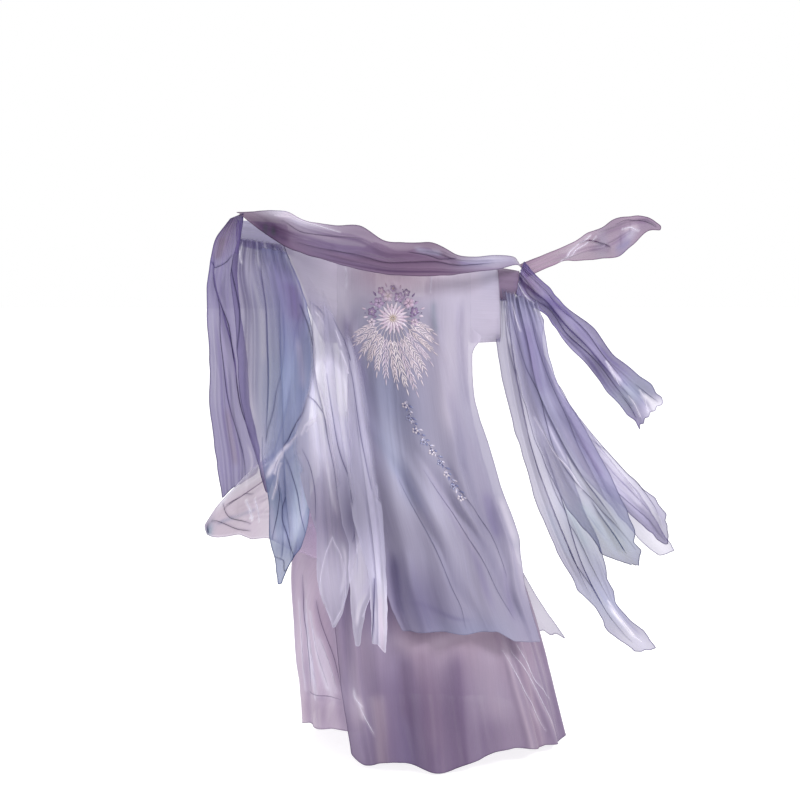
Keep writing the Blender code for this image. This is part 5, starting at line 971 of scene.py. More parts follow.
        ("w", 0.35, [(0.775, 0.91), (0.847, 0.93), (0.900, 0.94)]),
    ],
}


# ---------------------------------------------------------------- forms
def read(table, t):
    """Columns of a table at the part t of its length, on a smooth curve that
    runs straight on past its ends."""
    tab = np.array(table, float)
    knots, cols = tab[:, 0], tab[:, 1:]
    step = np.diff(knots)[:, None]
    slope = np.diff(cols, axis=0) / step
    tang = np.empty_like(cols)
    tang[0], tang[-1] = slope[0], slope[-1]
    tang[1:-1] = (slope[:-1] * step[1:] + slope[1:] * step[:-1]) / (step[:-1] + step[1:])
    asked = np.asarray(t, float)
    t = np.clip(asked, knots[0], knots[-1])
    i = np.clip(np.searchsorted(knots, t, side="right") - 1, 0, len(knots) - 2)
    h = (knots[i + 1] - knots[i])[..., None]
    u = ((t - knots[i])[..., None]) / h
    value = ((2 * u**3 - 3 * u**2 + 1) * cols[i] + (u**3 - 2 * u**2 + u) * h * tang[i]
             + (3 * u**2 - 2 * u**3) * cols[i + 1] + (u**3 - u**2) * h * tang[i + 1])
    past = (asked - t)[..., None]
    return value + np.where(past < 0, tang[0], tang[-1]) * past


def panel(table, s, t, out, folds=2.0, phase=0.0, slant=0.0, yoke=None):
    """Points of a hanging panel; s runs across it and t down it."""
    row = read(table, t)
    left, right = row[..., 0:3], row[..., 3:6]
    crown, fold = row[..., 6], row[..., 7]
    p = left + (right - left) * s[..., None]
    lift = crown * 4 * s * (1 - s)
    lift = lift + fold * np.cos(2 * math.pi * (folds * s + phase + slant * t)) * np.sqrt(np.clip(4 * s * (1 - s), 0, 1) * 0.6 + 0.4)
    p = p + np.array(out) * lift[..., None]
    if yoke is not None:
        edge = read(yoke, s)
        top = read(table, np.zeros_like(s))
        flat = top[..., 0:3] + (top[..., 3:6] - top[..., 0:3]) * s[..., None]
        flat = flat + np.array(out) * (top[..., 6] * 4 * s * (1 - s))[..., None]
        hold = np.clip(1 - t / 0.10, 0, 1)[..., None]
        p = p + (edge - flat) * hold ** np.array([1.5, 2.4, 1.1])
    return p


def skirt_point(angle, z, step=0.0, pleat=0.0, pleats=18, phase=0.0):
    """A point on the skirt: angle 0 is the middle of the back, 90 degrees is +X."""
    d = (z - SKIRT[0][0]) / (SKIRT[-1][0] - SKIRT[0][0])
    table = [((r[0] - SKIRT[0][0]) / (SKIRT[-1][0] - SKIRT[0][0]),) + tuple(r[1:]) for r in SKIRT]
    cx, cy, a, b = np.moveaxis(read(table, d), -1, 0)
    grow = step + pleat * np.clip(d, 0, 1) * np.cos(pleats * angle + phase)
    return np.stack([cx + (a + grow) * np.sin(angle), cy - (b + grow) * np.cos(angle), z + 0 * angle], -1)


def unit(v):
    return v / np.maximum(np.linalg.norm(v, axis=-1, keepdims=True), 1e-9)


def ease(x):
    x = np.clip(x, 0, 1)
    return x * x * (3 - 2 * x)


def grain(x, y, seed):
    """Soft even noise from 0 to 1 on a repeatable lattice."""
    lattice = np.random.RandomState(seed).rand(67, 67)
    i, j = np.floor(x).astype(int), np.floor(y).astype(int)
    u, v = ease(x - i), ease(y - j)
    a, b = lattice[i % 67, j % 67], lattice[(i + 1) % 67, j % 67]
    c, d = lattice[i % 67, (j + 1) % 67], lattice[(i + 1) % 67, (j + 1) % 67]
    return (a * (1 - u) + b * u) * (1 - v) + (c * (1 - u) + d * u) * v


def spread(columns, x, last=0.0):
    """Straight reading of a two-column table, for cut edges."""
    if not columns:
        return np.full_like(x, last)
    tab = np.array(columns, float)
    return np.interp(x, tab[:, 0], tab[:, 1])


def linear(srgb):
    c = np.array(srgb, float) / 255.0
    return np.where(c <= 0.04045, c / 12.92, ((c + 0.055) / 1.055) ** 2.4)


def crease_field(creases, s, t, wide):
    """Lift and sideways slide in mm of the named creases, and how dark their
    laps lie; wide is the panel's width in mm at each point."""
    lift, slide, line_dark = np.zeros_like(s), np.zeros_like(s), np.zeros_like(s)
    for kind, height, half, line in creases:
        first, last = line[0][0], line[-1][0]
        centre = read(line, np.clip(t, first, last))[..., 0]
        part = (t - first) / (last - first)
        fade = ease((part + (0.25 if first <= 0.02 else 0.0)) / 0.22) * ease((1 - part + (0.3 if last >= 0.99 else 0.0)) / 0.22)
        d = (s - centre) * wide / half
        if kind == "r":
            lift += height * fade * np.exp(-d * d)
        else:
            lift += height * fade * np.tanh(1.2 * d) * np.exp(-(d / 3.4) ** 2)
            slide -= 0.85 * half * fade * 2.33 * d * np.exp(-d * d)
            line_dark += fade * np.exp(-((d + 0.5) / 0.8) ** 2)
    return lift, slide, line_dark


def streaked(streaks, s, t, wide):
    """Narrow runs of another colour along a line, painted highlights and painted shade among them: a list of (dye,
    weight over the panel).
    """
    made = []
    for dye, strength, half, line in streaks:
        first, last = line[0][0], line[-1][0]
        centre = read(line, np.clip(t, first, last))[..., 0]
        part = (t - first) / (last - first)
        fade = ease((part + (0.3 if first <= 0.01 else 0.0)) / 0.25) * ease((1 - part + (0.3 if last >= 0.99 else 0.0)) / 0.25)
        made.append((dye, strength * fade * np.exp(-((s - centre) * wide / half) ** 2)))
    return made


LIGHT = 1.50           # how bright plain white cloth comes out in this room


def dye_light_and_shade(look, s, t, wide=300.0, streaks=(), depth=()):
    """Cloth colour and opacity over a panel from its dyes, washes, thin places,
    streaks and spots; the washes, streaks and spots also paint light, highlights and shade."""
    seen = np.tile(linear(DYE_AND_PAINTED_LIGHT[look["dye"]]), s.shape + (1,))
    for dye, ws, wt, rs, rt, strength in look["wash"]:
        k = strength * np.exp(-(((s - ws) / rs) ** 2 + ((t - wt) / rt) ** 2))
        seen = seen + (linear(DYE_AND_PAINTED_LIGHT[dye]) - seen) * k[..., None]
    for dye, weight in streaked(streaks, s, t, wide):
        seen = seen + (linear(DYE_AND_PAINTED_LIGHT[dye]) - seen) * weight[..., None]
    opaque = np.full(s.shape, look["opacity"])
    for change, ws, wt, rs, rt in look["thin"]:
        opaque = opaque + change * np.exp(-(((s - ws) / rs) ** 2 + ((t - wt) / rt) ** 2))
    opaque = np.clip(opaque, 0.25, 0.99)
    back = look["behind"]
    behind = (spread(back, t) if isinstance(back, list) else np.full(s.shape, back)) ** 2.2
    cloth = (seen - ((1 - opaque) * behind)[..., None]) / opaque[..., None]
    # spots painted paler or deeper, many of the paler ones painted light that lifts the shade other pieces cast
    for change, ws, wt, rs, rt in depth:
        some = change * np.exp(-(((s - ws) / rs) ** 2 + ((t - wt) / rt) ** 2))[..., None]
        cloth = cloth * (1 + 0.35 * some) + 0.65 * some * cloth.mean(axis=-1, keepdims=True)
    cloth = cloth * look.get("gain", 1.0) / LIGHT
    cloth = cloth * np.minimum(1, 0.96 / np.maximum(cloth.max(axis=-1, keepdims=True), 1e-6))
    return np.clip(cloth, 0.02, 0.96), opaque


# ---------------------------------------------------------------- meshes
def make_object(name, verts, quads, tint, dense, uv=None, material=None):
    mesh = bpy.data.meshes.new(name)
    mesh.from_pydata(verts.reshape(-1, 3).tolist(), [], quads.tolist())
    colour = np.ones((len(mesh.vertices), 4))
    colour[:, :3] = tint.reshape(-1, 3)
    mesh.attributes.new("Tint", "FLOAT_COLOR", "POINT").data.foreach_set("color", colour.ravel())
    mesh.attributes.new("Dense", "FLOAT", "POINT").data.foreach_set("value", dense.ravel())
    if uv is not None:
        loops = np.empty(len(mesh.loops), int)
        mesh.loops.foreach_get("vertex_index", loops)
        mesh.uv_layers.new(name="cloth").data.foreach_set("uv", uv.reshape(-1, 2)[loops].ravel())
    mesh.shade_smooth()
    obj = bpy.data.objects.new(name, mesh)
    bpy.context.scene.collection.objects.link(obj)
    if material is not None:
        mesh.materials.append(material)
    return obj


def grid_quads(down, across, closed=False):
    idx = np.arange(down * across).reshape(down, across)
    if closed:
        nxt = np.roll(idx, -1, axis=1)
        return np.stack([idx[:-1], nxt[:-1], nxt[1:], idx[1:]], -1).reshape(-1, 4)
    return np.stack([idx[:-1, :-1], idx[:-1, 1:], idx[1:, 1:], idx[1:, :-1]], -1).reshape(-1, 4)


def resample(path, step):
    seg = np.linalg.norm(np.diff(path, axis=0), axis=1)
    far = np.concatenate([[0], np.cumsum(seg)])
    n = max(3, int(far[-1] / step) + 1)
    at = np.linspace(0, far[-1], n)
    return np.stack([np.interp(at, far, path[:, k]) for k in range(path.shape[1])], -1)


def tube_parts(path, radius, sides=6, taper=0.0):
    """Rings of a round cord along a path of x, y, z points, with pinched ends."""
    n = len(path)
    tang = unit(np.gradient(path, axis=0))
    ref = np.array([0.31, 0.83, 0.46])
    side = unit(np.cross(tang, ref))
    for k in range(1, n):
        side[k] = side[k - 1] - tang[k] * np.dot(side[k - 1], tang[k])
        side[k] /= max(np.linalg.norm(side[k]), 1e-9)
    up = np.cross(tang, side)
    a = np.linspace(0, 2 * math.pi, sides + 1)[:-1]
    r = radius * np.ones(n)
    if taper:
        r = r * (1 - taper * np.abs(np.linspace(-1, 1, n)) ** 3)
    r[0] = r[-1] = radius * 0.15
    ring = path[:, None] + r[:, None, None] * (side[:, None] * np.cos(a)[None, :, None] + up[:, None] * np.sin(a)[None, :, None])
    return ring, grid_quads(n, sides, closed=True)


def join_parts(parts):
    verts, quads, base = [], [], 0
    for v, q in parts:
        verts.append(v.reshape(-1, 3))
        quads.append(q + base)
        base += v.size // 3
    return np.concatenate(verts), np.concatenate(quads)


# ---------------------------------------------------------------- materials
def node(tree, kind, x, y, **inputs):
    n = tree.nodes.new(kind)
    n.location = (x, y)
    for key, value in inputs.items():
        n.inputs[key.replace("_", " ")].default_value = value
    return n


def chiffon(name, rough=0.62, sheen=0.30, through=0.34, crepe=0.30):
    """Sheer woven cloth: colour from the piece with its painted light and shade, fine streaks along it, a crepe weave,
    light through it, and clear gaps between its threads."""
    mat = bpy.data.materials.new(name)
    mat.use_nodes = True
    tree = mat.node_tree
    tree.nodes.clear()
    link = tree.links.new
    tint = node(tree, "ShaderNodeAttribute", -1100, 300)
    tint.attribute_name = "Tint"
    dense = node(tree, "ShaderNodeAttribute", -1100, -100)
    dense.attribute_name = "Dense"
    uv = node(tree, "ShaderNodeUVMap", -1700, 0)
    uv.uv_map = "cloth"
    along = node(tree, "ShaderNodeMapping", -1500, 150)
    along.inputs["Scale"].default_value = (330.0, 9.0, 1.0)
    link(uv.outputs["UV"], along.inputs["Vector"])
    streak = node(tree, "ShaderNodeTexNoise", -1300, 150, Scale=1.0, Detail=3.0, Roughness=0.6)
    link(along.outputs["Vector"], streak.inputs["Vector"])
    fine = node(tree, "ShaderNodeMapping", -1500, -250)
    fine.inputs["Scale"].default_value = (1.0, 1.0, 1.0)
    link(uv.outputs["UV"], fine.inputs["Vector"])
    weft = node(tree, "ShaderNodeTexWave", -1300, -250, Scale=430.0, Distortion=1.2, Detail=1.0)
    weft.bands_direction = "X"
    warp = node(tree, "ShaderNodeTexWave", -1300, -500, Scale=430.0, Distortion=1.2, Detail=1.0)
    warp.bands_direction = "Y"
    pebble = node(tree, "ShaderNodeTexNoise", -1300, -750, Scale=900.0, Detail=2.0, Roughness=0.7)
    for tex in (weft, warp, pebble):
        link(fine.outputs["Vector"], tex.inputs["Vector"])
    weave = node(tree, "ShaderNodeMath", -1100, -350)
    weave.operation = "MULTIPLY"
    link(weft.outputs["Fac"], weave.inputs[0])
    link(warp.outputs["Fac"], weave.inputs[1])
    crinkle = node(tree, "ShaderNodeMath", -950, -500)
    crinkle.operation = "ADD"
    link(weave.outputs[0], crinkle.inputs[0])
    link(pebble.outputs["Fac"], crinkle.inputs[1])
    bump = node(tree, "ShaderNodeBump", -700, -500, Strength=crepe, Distance=0.0004)
    link(crinkle.outputs[0], bump.inputs["Height"])
    shade = node(tree, "ShaderNodeMapRange", -1050, 120)
    shade.inputs["From Min"].default_value = 0.25
    shade.inputs["From Max"].default_value = 0.75
    shade.inputs["To Min"].default_value = 0.965
    shade.inputs["To Max"].default_value = 1.03
    link(streak.outputs["Fac"], shade.inputs["Value"])
    colour = node(tree, "ShaderNodeVectorMath", -850, 280)
    colour.operation = "SCALE"
    link(tint.outputs["Color"], colour.inputs[0])
    link(shade.outputs["Result"], colour.inputs["Scale"])
    bsdf = node(tree, "ShaderNodeBsdfPrincipled", -500, 300)
    bsdf.inputs["Roughness"].default_value = rough
    bsdf.inputs["Sheen Weight"].default_value = sheen
    bsdf.inputs["Sheen Roughness"].default_value = 0.45
    bsdf.inputs["Specular IOR Level"].default_value = 0.25
    link(colour.outputs["Vector"], bsdf.inputs["Base Color"])
    link(bump.outputs["Normal"], bsdf.inputs["Normal"])
    glow = node(tree, "ShaderNodeBsdfTranslucent", -500, -250)
    link(colour.outputs["Vector"], glow.inputs["Color"])
    body = node(tree, "ShaderNodeMixShader", -200, 150)
    body.inputs["Fac"].default_value = through
    link(bsdf.outputs[0], body.inputs[1])
    link(glow.outputs[0], body.inputs[2])
    gaps = node(tree, "ShaderNodeBsdfTransparent", -200, -100)
    cover = node(tree, "ShaderNodeMapRange", -700, -50)
    cover.inputs["From Min"].default_value = 0.2
    cover.inputs["From Max"].default_value = 0.8
    cover.inputs["To Min"].default_value = -0.02
    cover.inputs["To Max"].default_value = 0.02
    link(streak.outputs["Fac"], cover.inputs["Value"])
    share = node(tree, "ShaderNodeMath", -450, -100)
    share.operation = "ADD"
    share.use_clamp = True
    link(dense.outputs["Fac"], share.inputs[0])
    link(cover.outputs["Result"], share.inputs[1])
    mix = node(tree, "ShaderNodeMixShader", 50, 100)
    link(share.outputs[0], mix.inputs["Fac"])
    link(gaps.outputs[0], mix.inputs[1])
    link(body.outputs[0], mix.inputs[2])
    out = node(tree, "ShaderNodeOutputMaterial", 250, 100)
    link(mix.outputs[0], out.inputs["Surface"])
    return mat


def thread(name, rough, sheen, coat, grain_scale=900.0):
    """Floss or bead: colour from the piece with fine variation."""
    mat = bpy.data.materials.new(name)
    mat.use_nodes = True
    tree = mat.node_tree
    bsdf = tree.nodes["Principled BSDF"]
    link = tree.links.new
    tint = node(tree, "ShaderNodeAttribute", -800, 300)
    tint.attribute_name = "Tint"
    place = node(tree, "ShaderNodeTexCoord", -1000, 0)
    noise = node(tree, "ShaderNodeTexNoise", -800, 0, Scale=grain_scale, Detail=2.0)
    link(place.outputs["Object"], noise.inputs["Vector"])
    shade = node(tree, "ShaderNodeMapRange", -600, 50)
    shade.inputs["To Min"].default_value = 0.84
    shade.inputs["To Max"].default_value = 1.10
    link(noise.outputs["Fac"], shade.inputs["Value"])
    colour = node(tree, "ShaderNodeVectorMath", -400, 250)
    colour.operation = "SCALE"
    link(tint.outputs["Color"], colour.inputs[0])
    link(shade.outputs["Result"], colour.inputs["Scale"])
    link(colour.outputs["Vector"], bsdf.inputs["Base Color"])
    bump = node(tree, "ShaderNodeBump", -300, -200, Strength=0.35, Distance=0.0003)
    link(noise.outputs["Fac"], bump.inputs["Height"])
    link(bump.outputs["Normal"], bsdf.inputs["Normal"])
    bsdf.inputs["Roughness"].default_value = rough
    bsdf.inputs["Sheen Weight"].default_value = sheen
    bsdf.inputs["Coat Weight"].default_value = coat
    return mat


CLOTH = {
    "skirt_mauve": chiffon("skirt_mauve_chiffon", through=0.20, sheen=0.22),
    "skirt_pale": chiffon("skirt_pale_chiffon", through=0.40),
    "robe_lilac": chiffon("robe_lilac_chiffon", through=0.30),
    "collar_lilac": chiffon("collar_lilac_chiffon", through=0.22, sheen=0.35),
    "sleeve_violet": chiffon("sleeve_violet_chiffon"),
    "sleeve_blue": chiffon("sleeve_blue_chiffon", through=0.38),
    "sleeve_white": chiffon("sleeve_white_chiffon", through=0.46, sheen=0.20),
    "shawl_plum": chiffon("shawl_plum_chiffon", through=0.24),
    "shawl_violet": chiffon("shawl_violet_chiffon"),
    "shawl_mauve": chiffon("shawl_mauve_chiffon", through=0.40),
    "strap_plum": chiffon("strap_plum_weave", rough=0.5, through=0.05, crepe=0.6),
}


# ---------------------------------------------------------------- cloth pieces
def line_gap(x, y, line, wide_row, level, long):
    """Distance in mm on the flat cloth from each point to a line of (t, s)."""
    line = np.array(line, float)
    wide = np.interp(line[:, 0], level, wide_row) * 1000
    lx, ly = line[:, 1] * wide, line[:, 0] * long * 1000
    far = np.full(x.shape, 1e9)
    for ax, ay, bx, by in zip(lx[:-1], ly[:-1], lx[1:], ly[1:]):
        dx, dy = bx - ax, by - ay
        u = np.clip(((x - ax) * dx + (y - ay) * dy) / max(dx * dx + dy * dy, 1e-6), 0, 1)
        far = np.minimum(far, np.hypot(x - ax - u * dx, y - ay - u * dy))
    return far


class Sheet:
    """One cut of cloth: its fine grid of points, with creases, and what is
    needed to lay other things on it."""

    def __init__(self, name, form, out, across, down, look, slot, creases=(), edges=None,
                 gather=(0, 0.0, 0.1), crinkle=1.0, fray=1.6, seed=1, flat=None, held="hung",
                 rests_on=(), area=None, node_name=None, hem="all", hem_dark=0.78, hem_r=HEM_R,
                 round_out=None, keep=0.0, seams=0.55, melt=(0, 0, 0), marks=(), hem_from=0.0, rim=None, sewn=0.0):
        edges = edges or {}
        u, v = np.meshgrid(np.linspace(0, 1, across + 1), np.linspace(0, 1, down + 1))
        row = np.linspace(0, 1, down + 1)
        wide_row = np.linalg.norm(form(np.ones_like(row), row) - form(np.zeros_like(row), row), axis=-1)
        wide_row = np.maximum(wide_row, 0.006)
        probe = form(np.full_like(row, 0.5), row)
        long = np.linalg.norm(np.diff(probe, axis=0), axis=1).sum()
        wob = lambda k, x: (grain(x, np.full_like(x, 3.3 + k), seed + 90 + k) - 0.5) * 2 * fray
        left = (spread(edges.get("left"), row) + wob(1, row * long / 0.030)) / 1000 / wide_row
        right = (spread(edges.get("right"), row) + wob(2, row * long / 0.030)) / 1000 / wide_row
        col = np.linspace(0, 1, across + 1)
        foot = (spread(edges.get("foot"), col) + wob(3, col * wide_row.max() / 0.028)) / 1000 / long
        s = -left[:, None] + (1 + left + right)[:, None] * u
        head = edges.get("head", 0.0) / 1000 / long
        t = -head * (1 - v) ** 3 + v * (1 + foot[None, :] * v**4)
        base = form(s, t)
        side = unit(np.gradient(base, axis=1))
        fall = np.gradient(base, axis=0)
        normal = unit(np.cross(side, fall))
        lead = np.array(out) if round_out is None else round_out(base)
        normal = np.where((normal * lead).sum(-1, keepdims=True) < 0, -normal, normal)
        wide = wide_row[:, None] * 1000 * np.ones_like(s)
        x, y = s * wide, t * long * 1000
        lift, slide, lap = crease_field(creases, s, t, wide)
        pleats, depth, reach = gather
        if pleats:
            lift = lift + depth * np.exp(-t / reach) * np.cos(2 * math.pi * pleats * (s + 0.03 * np.sin(9 * t + 5 * s))) * (0.55 + 0.9 * grain(s * pleats, t * 2, seed + 7))
        if crinkle:
            drift = 46 * (grain(x / 150, y / 240, seed + 1) - 0.5)
            a = 1 - np.sqrt((2 * grain((x + drift) / 24, y / 260 + 9.1, seed + 2) - 1) ** 2 + 0.015)
            b = 1 - np.sqrt((2 * grain((x + drift) / 9.5, y / 95 + 4.7, seed + 3) - 1) ** 2 + 0.03)
            c = grain((x + 0.5 * drift) / 44, y / 210, seed + 4) - 0.5
            some = grain(x / 90, y / 160, seed + 5)
            lift = lift + crinkle * (1.4 * a * a + 0.40 * b * b * some + 5.0 * c)
        if keep:
            near = np.minimum(np.minimum(s, 1 - s) * wide, 30) / 30
            lift, slide = lift * (1 - keep + keep * ease(near)), slide * ease(near)
        points = base + normal * (lift / 1000)[..., None] + side * (slide / 1000)[..., None]
        self.s, self.t, self.points, self.normal, self.side = s, t, points, normal, side
        self.fall = unit(np.gradient(points, axis=0))
        self.wide, self.long, self.wide_row = wide_row, long, wide_row
        tilt = np.gradient(lift, axis=1) / np.maximum(np.gradient(x, axis=1), 0.05)
        steep = np.abs(tilt) / np.sqrt(1 + tilt**2)
        hollow = np.clip(-lift, 0, 9) / 9
        ink, painted_highlight = np.zeros_like(s), np.zeros_like(s)
        for kind, strength, line in marks:
            d = line_gap(x, y, line, wide_row, t[:, 0], long)
            if kind == "d":
                ink = np.maximum(ink, strength * np.exp(-(d / 2.6) ** 2))
            else:
                painted_highlight = np.maximum(painted_highlight, strength * np.exp(-(d / 3.0) ** 2))
        tint, opaque = dye_light_and_shade(LOOK[look], s, t, wide, STREAKS.get(look, ()), PAINTED_LIGHT_AND_DEPTH.get(look, ()))
        near_edge = np.minimum(np.minimum(u * wide, (1 - u) * wide), np.maximum((1 - v) * long * 1000, 0))
        edge = np.exp(-(near_edge / 2.2) ** 2) * (t > sewn)
        dense = np.clip(opaque + 0.16 * steep + 0.05 * hollow + 0.10 * edge + 0.12 * lap + 0.12 * ink + 0.10 * painted_highlight - 0.02, 0.2, 0.995)
        top_mm, left_mm, right_mm = melt          # how far in from an edge one layer thins out
        v_mm, l_mm, r_mm = v * long * 1000, u * wide, (1 - u) * wide
        for reach, near in ((top_mm, v_mm), (left_mm, l_mm + 400 * np.clip(t - 0.5, 0, 1)), (right_mm, r_mm + 400 * np.clip(t - 0.5, 0, 1))):
            if reach:
                dense = dense * (0.12 + 0.88 * ease(near / reach))
        cloud = grain(x / 60 + 3, y / 130 + 5, seed + 11) - 0.5
        # painted shade: the cloth is darker on the steep sides of its folds and in their troughs, the shade keeping
        # more blue; laps and dark seams darken it as doubled cloth, and a soft cloud varies its tone
        painted_shade_and_tone = (1 - 0.20 * steep - 0.16 * hollow + 0.14 * cloud) * (1 - 0.18 * np.clip(lap, 0, 1)) * (1 - 0.42 * ink)
        tint = tint * painted_shade_and_tone[..., None] ** np.array([1.0, 1.03, 0.72])
        if rim is not None:
            tint = tint + (linear(DYE_AND_PAINTED_LIGHT[rim]) - tint) * (0.40 * np.exp(-(near_edge / 4.0) ** 2) * ease((t - hem_from) / 0.06))[..., None]
        # painted highlight: white laid along the w marks
        tint = tint + (linear(DYE_AND_PAINTED_LIGHT["white"]) - tint) * (0.85 * painted_highlight)[..., None]
        uv = np.stack([x / 1000, y / 1000], -1)
        self.tint, self.dense = tint, dense
        self.obj = make_object(name, points, grid_quads(down + 1, across + 1), tint, dense, uv, CLOTH[slot])
        self.name, self.slot = name, slot
        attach(self.obj, "root")
        if node_name:
            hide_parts(node_name)
        extra = []
        if hem:
            extra.append(self.roll(hem, hem_dark, hem_r, hem_from, [line for kind, _, _, line in creases if kind == "l"] if seams else [], seams, marks))
        self.flat, self.area, self.held, self.rests_on = flat, area, held, rests_on
        self.extra = extra

    def declare(self):
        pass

    def border(self, which, start):
        p = self.points
        tt = self.t[:, 0]
        first = int(np.argmax(tt > start)) if start else 0
        left, foot, right, top = p[first:, 0], p[-1, :], p[::-1, -1][:len(p) - first], p[0, ::-1]
        cut = int(np.argmax(tt > 0.205))
        runs = {"all": [np.concatenate([left, foot[1:], right[1:]])], "foot": [foot],
                "below": [np.concatenate([left[cut:], foot[1:], right[1:len(right) - cut]])],
                "ring": [np.concatenate([left, foot[1:], right[1:], top[1:]])],
                "sides": [left, right[::-1]], "right": [np.concatenate([foot, right[1:]])],
                "left": [np.concatenate([left, foot[1:]])], "long": [left, right[::-1]]}
        return runs[which]

    def roll(self, which, dark, radius, start=0.0, laps=(), lap_dark=0.55, marks=()):
        """Rolled hem along the cut edges, and fine rolled seams along the laps."""
        parts, shades = [], []
        flat_points, flat_tint = self.points.reshape(-1, 3), self.tint.reshape(-1, 3)
        tree = mathutils.kdtree.KDTree(len(flat_points))
        for k, q in enumerate(flat_points):
            tree.insert(q, k)
        tree.balance()

        def local(path, factor):
            near = np.array([flat_tint[tree.find(q)[1]] for q in path])
            for _ in range(6):
                near[1:-1] = (near[:-2] + near[1:-1] + near[2:]) / 3
            return near * np.array([factor, factor * 0.99, factor ** 0.7])
        for run in self.border(which, start):
            path = resample(run, 0.0042)
            if len(path) > 5:
                path[1:-1] = (path[:-2] + 2 * path[1:-1] + path[2:]) / 4
            parts.append(tube_parts(path, radius, 6, 0.25))
            shades.append(np.repeat(local(path, dark), 6, axis=0))
        for line in laps:
            first, last = line[0][0], line[-1][0]
            tt = np.linspace(first + 0.04 * (last - first), last - 0.04 * (last - first), 120)
            path = resample(self.at(read(line, tt)[:, 0], tt, 0.0007), 0.0042)
            parts.append(tube_parts(path, radius * 0.62, 5, 0.8))
            shades.append(np.repeat(local(path, lap_dark), 5, axis=0))
        for kind, strength, line in marks:
            turn = np.linspace(0, len(line) - 1, 16 * len(line))
            knot = np.array([(i, *pair) for i, pair in enumerate(line)], float)
            both = read(knot, turn) if len(line) > 2 else np.stack([np.interp(turn, [0, 1], [line[0][k], line[1][k]]) for k in (0, 1)], -1)
            path = resample(self.at(both[:, 1], both[:, 0], 0.0008), 0.0042)
            if len(path) > 5:
                path[1:-1] = (path[:-2] + 2 * path[1:-1] + path[2:]) / 4
            parts.append(tube_parts(path, 0.00055 + 0.0005 * strength, 5, 0.85))
            if kind == "d":
                shades.append(np.repeat(local(path, 0.62 - 0.30 * strength), 5, axis=0))
            else:
                # the white marks' cords are painted highlights
                shades.append(np.tile(linear(DYE_AND_PAINTED_LIGHT["white"]), (5 * len(path), 1)))
        verts, quads = join_parts(parts)
        shade = np.concatenate(shades)
        vary = 0.86 + 0.28 * grain(verts[:, 2] * 90, verts[:, 0] * 90, 5)
        obj = make_object(self.name + "_hem", verts, quads, shade * vary[:, None], np.full(len(verts), 0.88),
                          np.stack([verts[:, 0] + verts[:, 1], verts[:, 2]], -1), CLOTH[self.slot])
        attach(obj, "root")
        return obj

    def at(self, s, t, off=0.0):
        """Points on the finished cloth at the parts s and t, moved out by off."""
        rows, cols = self.s.shape
        level = self.t[:, cols // 2]
        lo, hi = np.interp(t, level, self.s[:, 0]), np.interp(t, level, self.s[:, -1])
        j = np.clip((np.asarray(s) - lo) / (hi - lo), 0, 1) * (cols - 1)
        i = np.interp(np.asarray(t), level, np.arange(rows, dtype=float))
        i0, j0 = np.clip(i.astype(int), 0, rows - 2), np.clip(j.astype(int), 0, cols - 2)
        a, b = (i - i0)[..., None], (j - j0)[..., None]

        def mix(g):
            return (g[i0, j0] * (1 - a) * (1 - b) + g[i0 + 1, j0] * a * (1 - b)
                    + g[i0, j0 + 1] * (1 - a) * b + g[i0 + 1, j0 + 1] * a * b)
        return mix(self.points) + unit(mix(self.normal)) * np.asarray(off)[..., None]


sheets = {}


def hang(name, table, folds, phase, slant, across, down, slot, **more):
    form = lambda s, t: panel(table, s, t, BACK, folds, phase, slant)
    more.setdefault("look", name)
    more.setdefault("marks", MARKS.get(name, ()))
    sheets[name] = Sheet("cloth_" + name, form, BACK, across, down, slot=slot,
                         creases=CREASES.get(name, ()), edges=EDGES.get(name), node_name=name, **more)
    return sheets[name]


# ---- skirt
band_angle = np.linspace(0, 2 * math.pi, 241)[:-1]


def wrap_form(hem_table, step, pleat, pleats, phase):
    top = BAND_TOP - BAND_H - 0.0015

    def make(s, t):
        degrees = hem_table[0][0] + (hem_table[-1][0] - hem_table[0][0]) * s
        z = top + (read(hem_table, degrees)[..., 0] - top) * t
        out = step * (0.4 + 0.6 * np.clip(t / 0.10, 0, 1))
        return skirt_point(np.radians(degrees), z, out, pleat, pleats, phase)
    return make


def from_axis(points):
    lead = points - np.array([0.0, 0.0, 0.0])
    lead[..., 0] -= 0.02
    lead[..., 2] = 0
    return lead


sheets["skirt_back"] = Sheet(
    "cloth_skirt_back", wrap_form(HEM_BACK, WRAP_GAP, 0.005, 22, 0.4), BACK, 230, 146, "skirt_back",
    "skirt_mauve", CREASES["skirt_back"], EDGES.get("skirt_back"), (34, 2.2, 0.10), 1.0, 1.2, 21, (0.95, 1.20), "gathered",
    ("skirt_band",), 0.86, "skirt_back", "all", 0.80, 0.0011, from_axis, marks=MARKS["skirt_back"])
sheets["skirt_front"] = Sheet(
    "cloth_skirt_front", wrap_form(HEM_FRONT, 0.0, 0.004, 14, 1.1), BACK, 260, 118, "skirt_front",
    "skirt_pale", CREASES["skirt_front"], EDGES.get("skirt_front"), (46, 1.8, 0.10), 0.9, 1.2, 31, (1.70, 1.19), "gathered",
    ("skirt_band",), 1.60, "skirt_front", "all", 0.84, 0.0011, from_axis, marks=MARKS["skirt_front"])


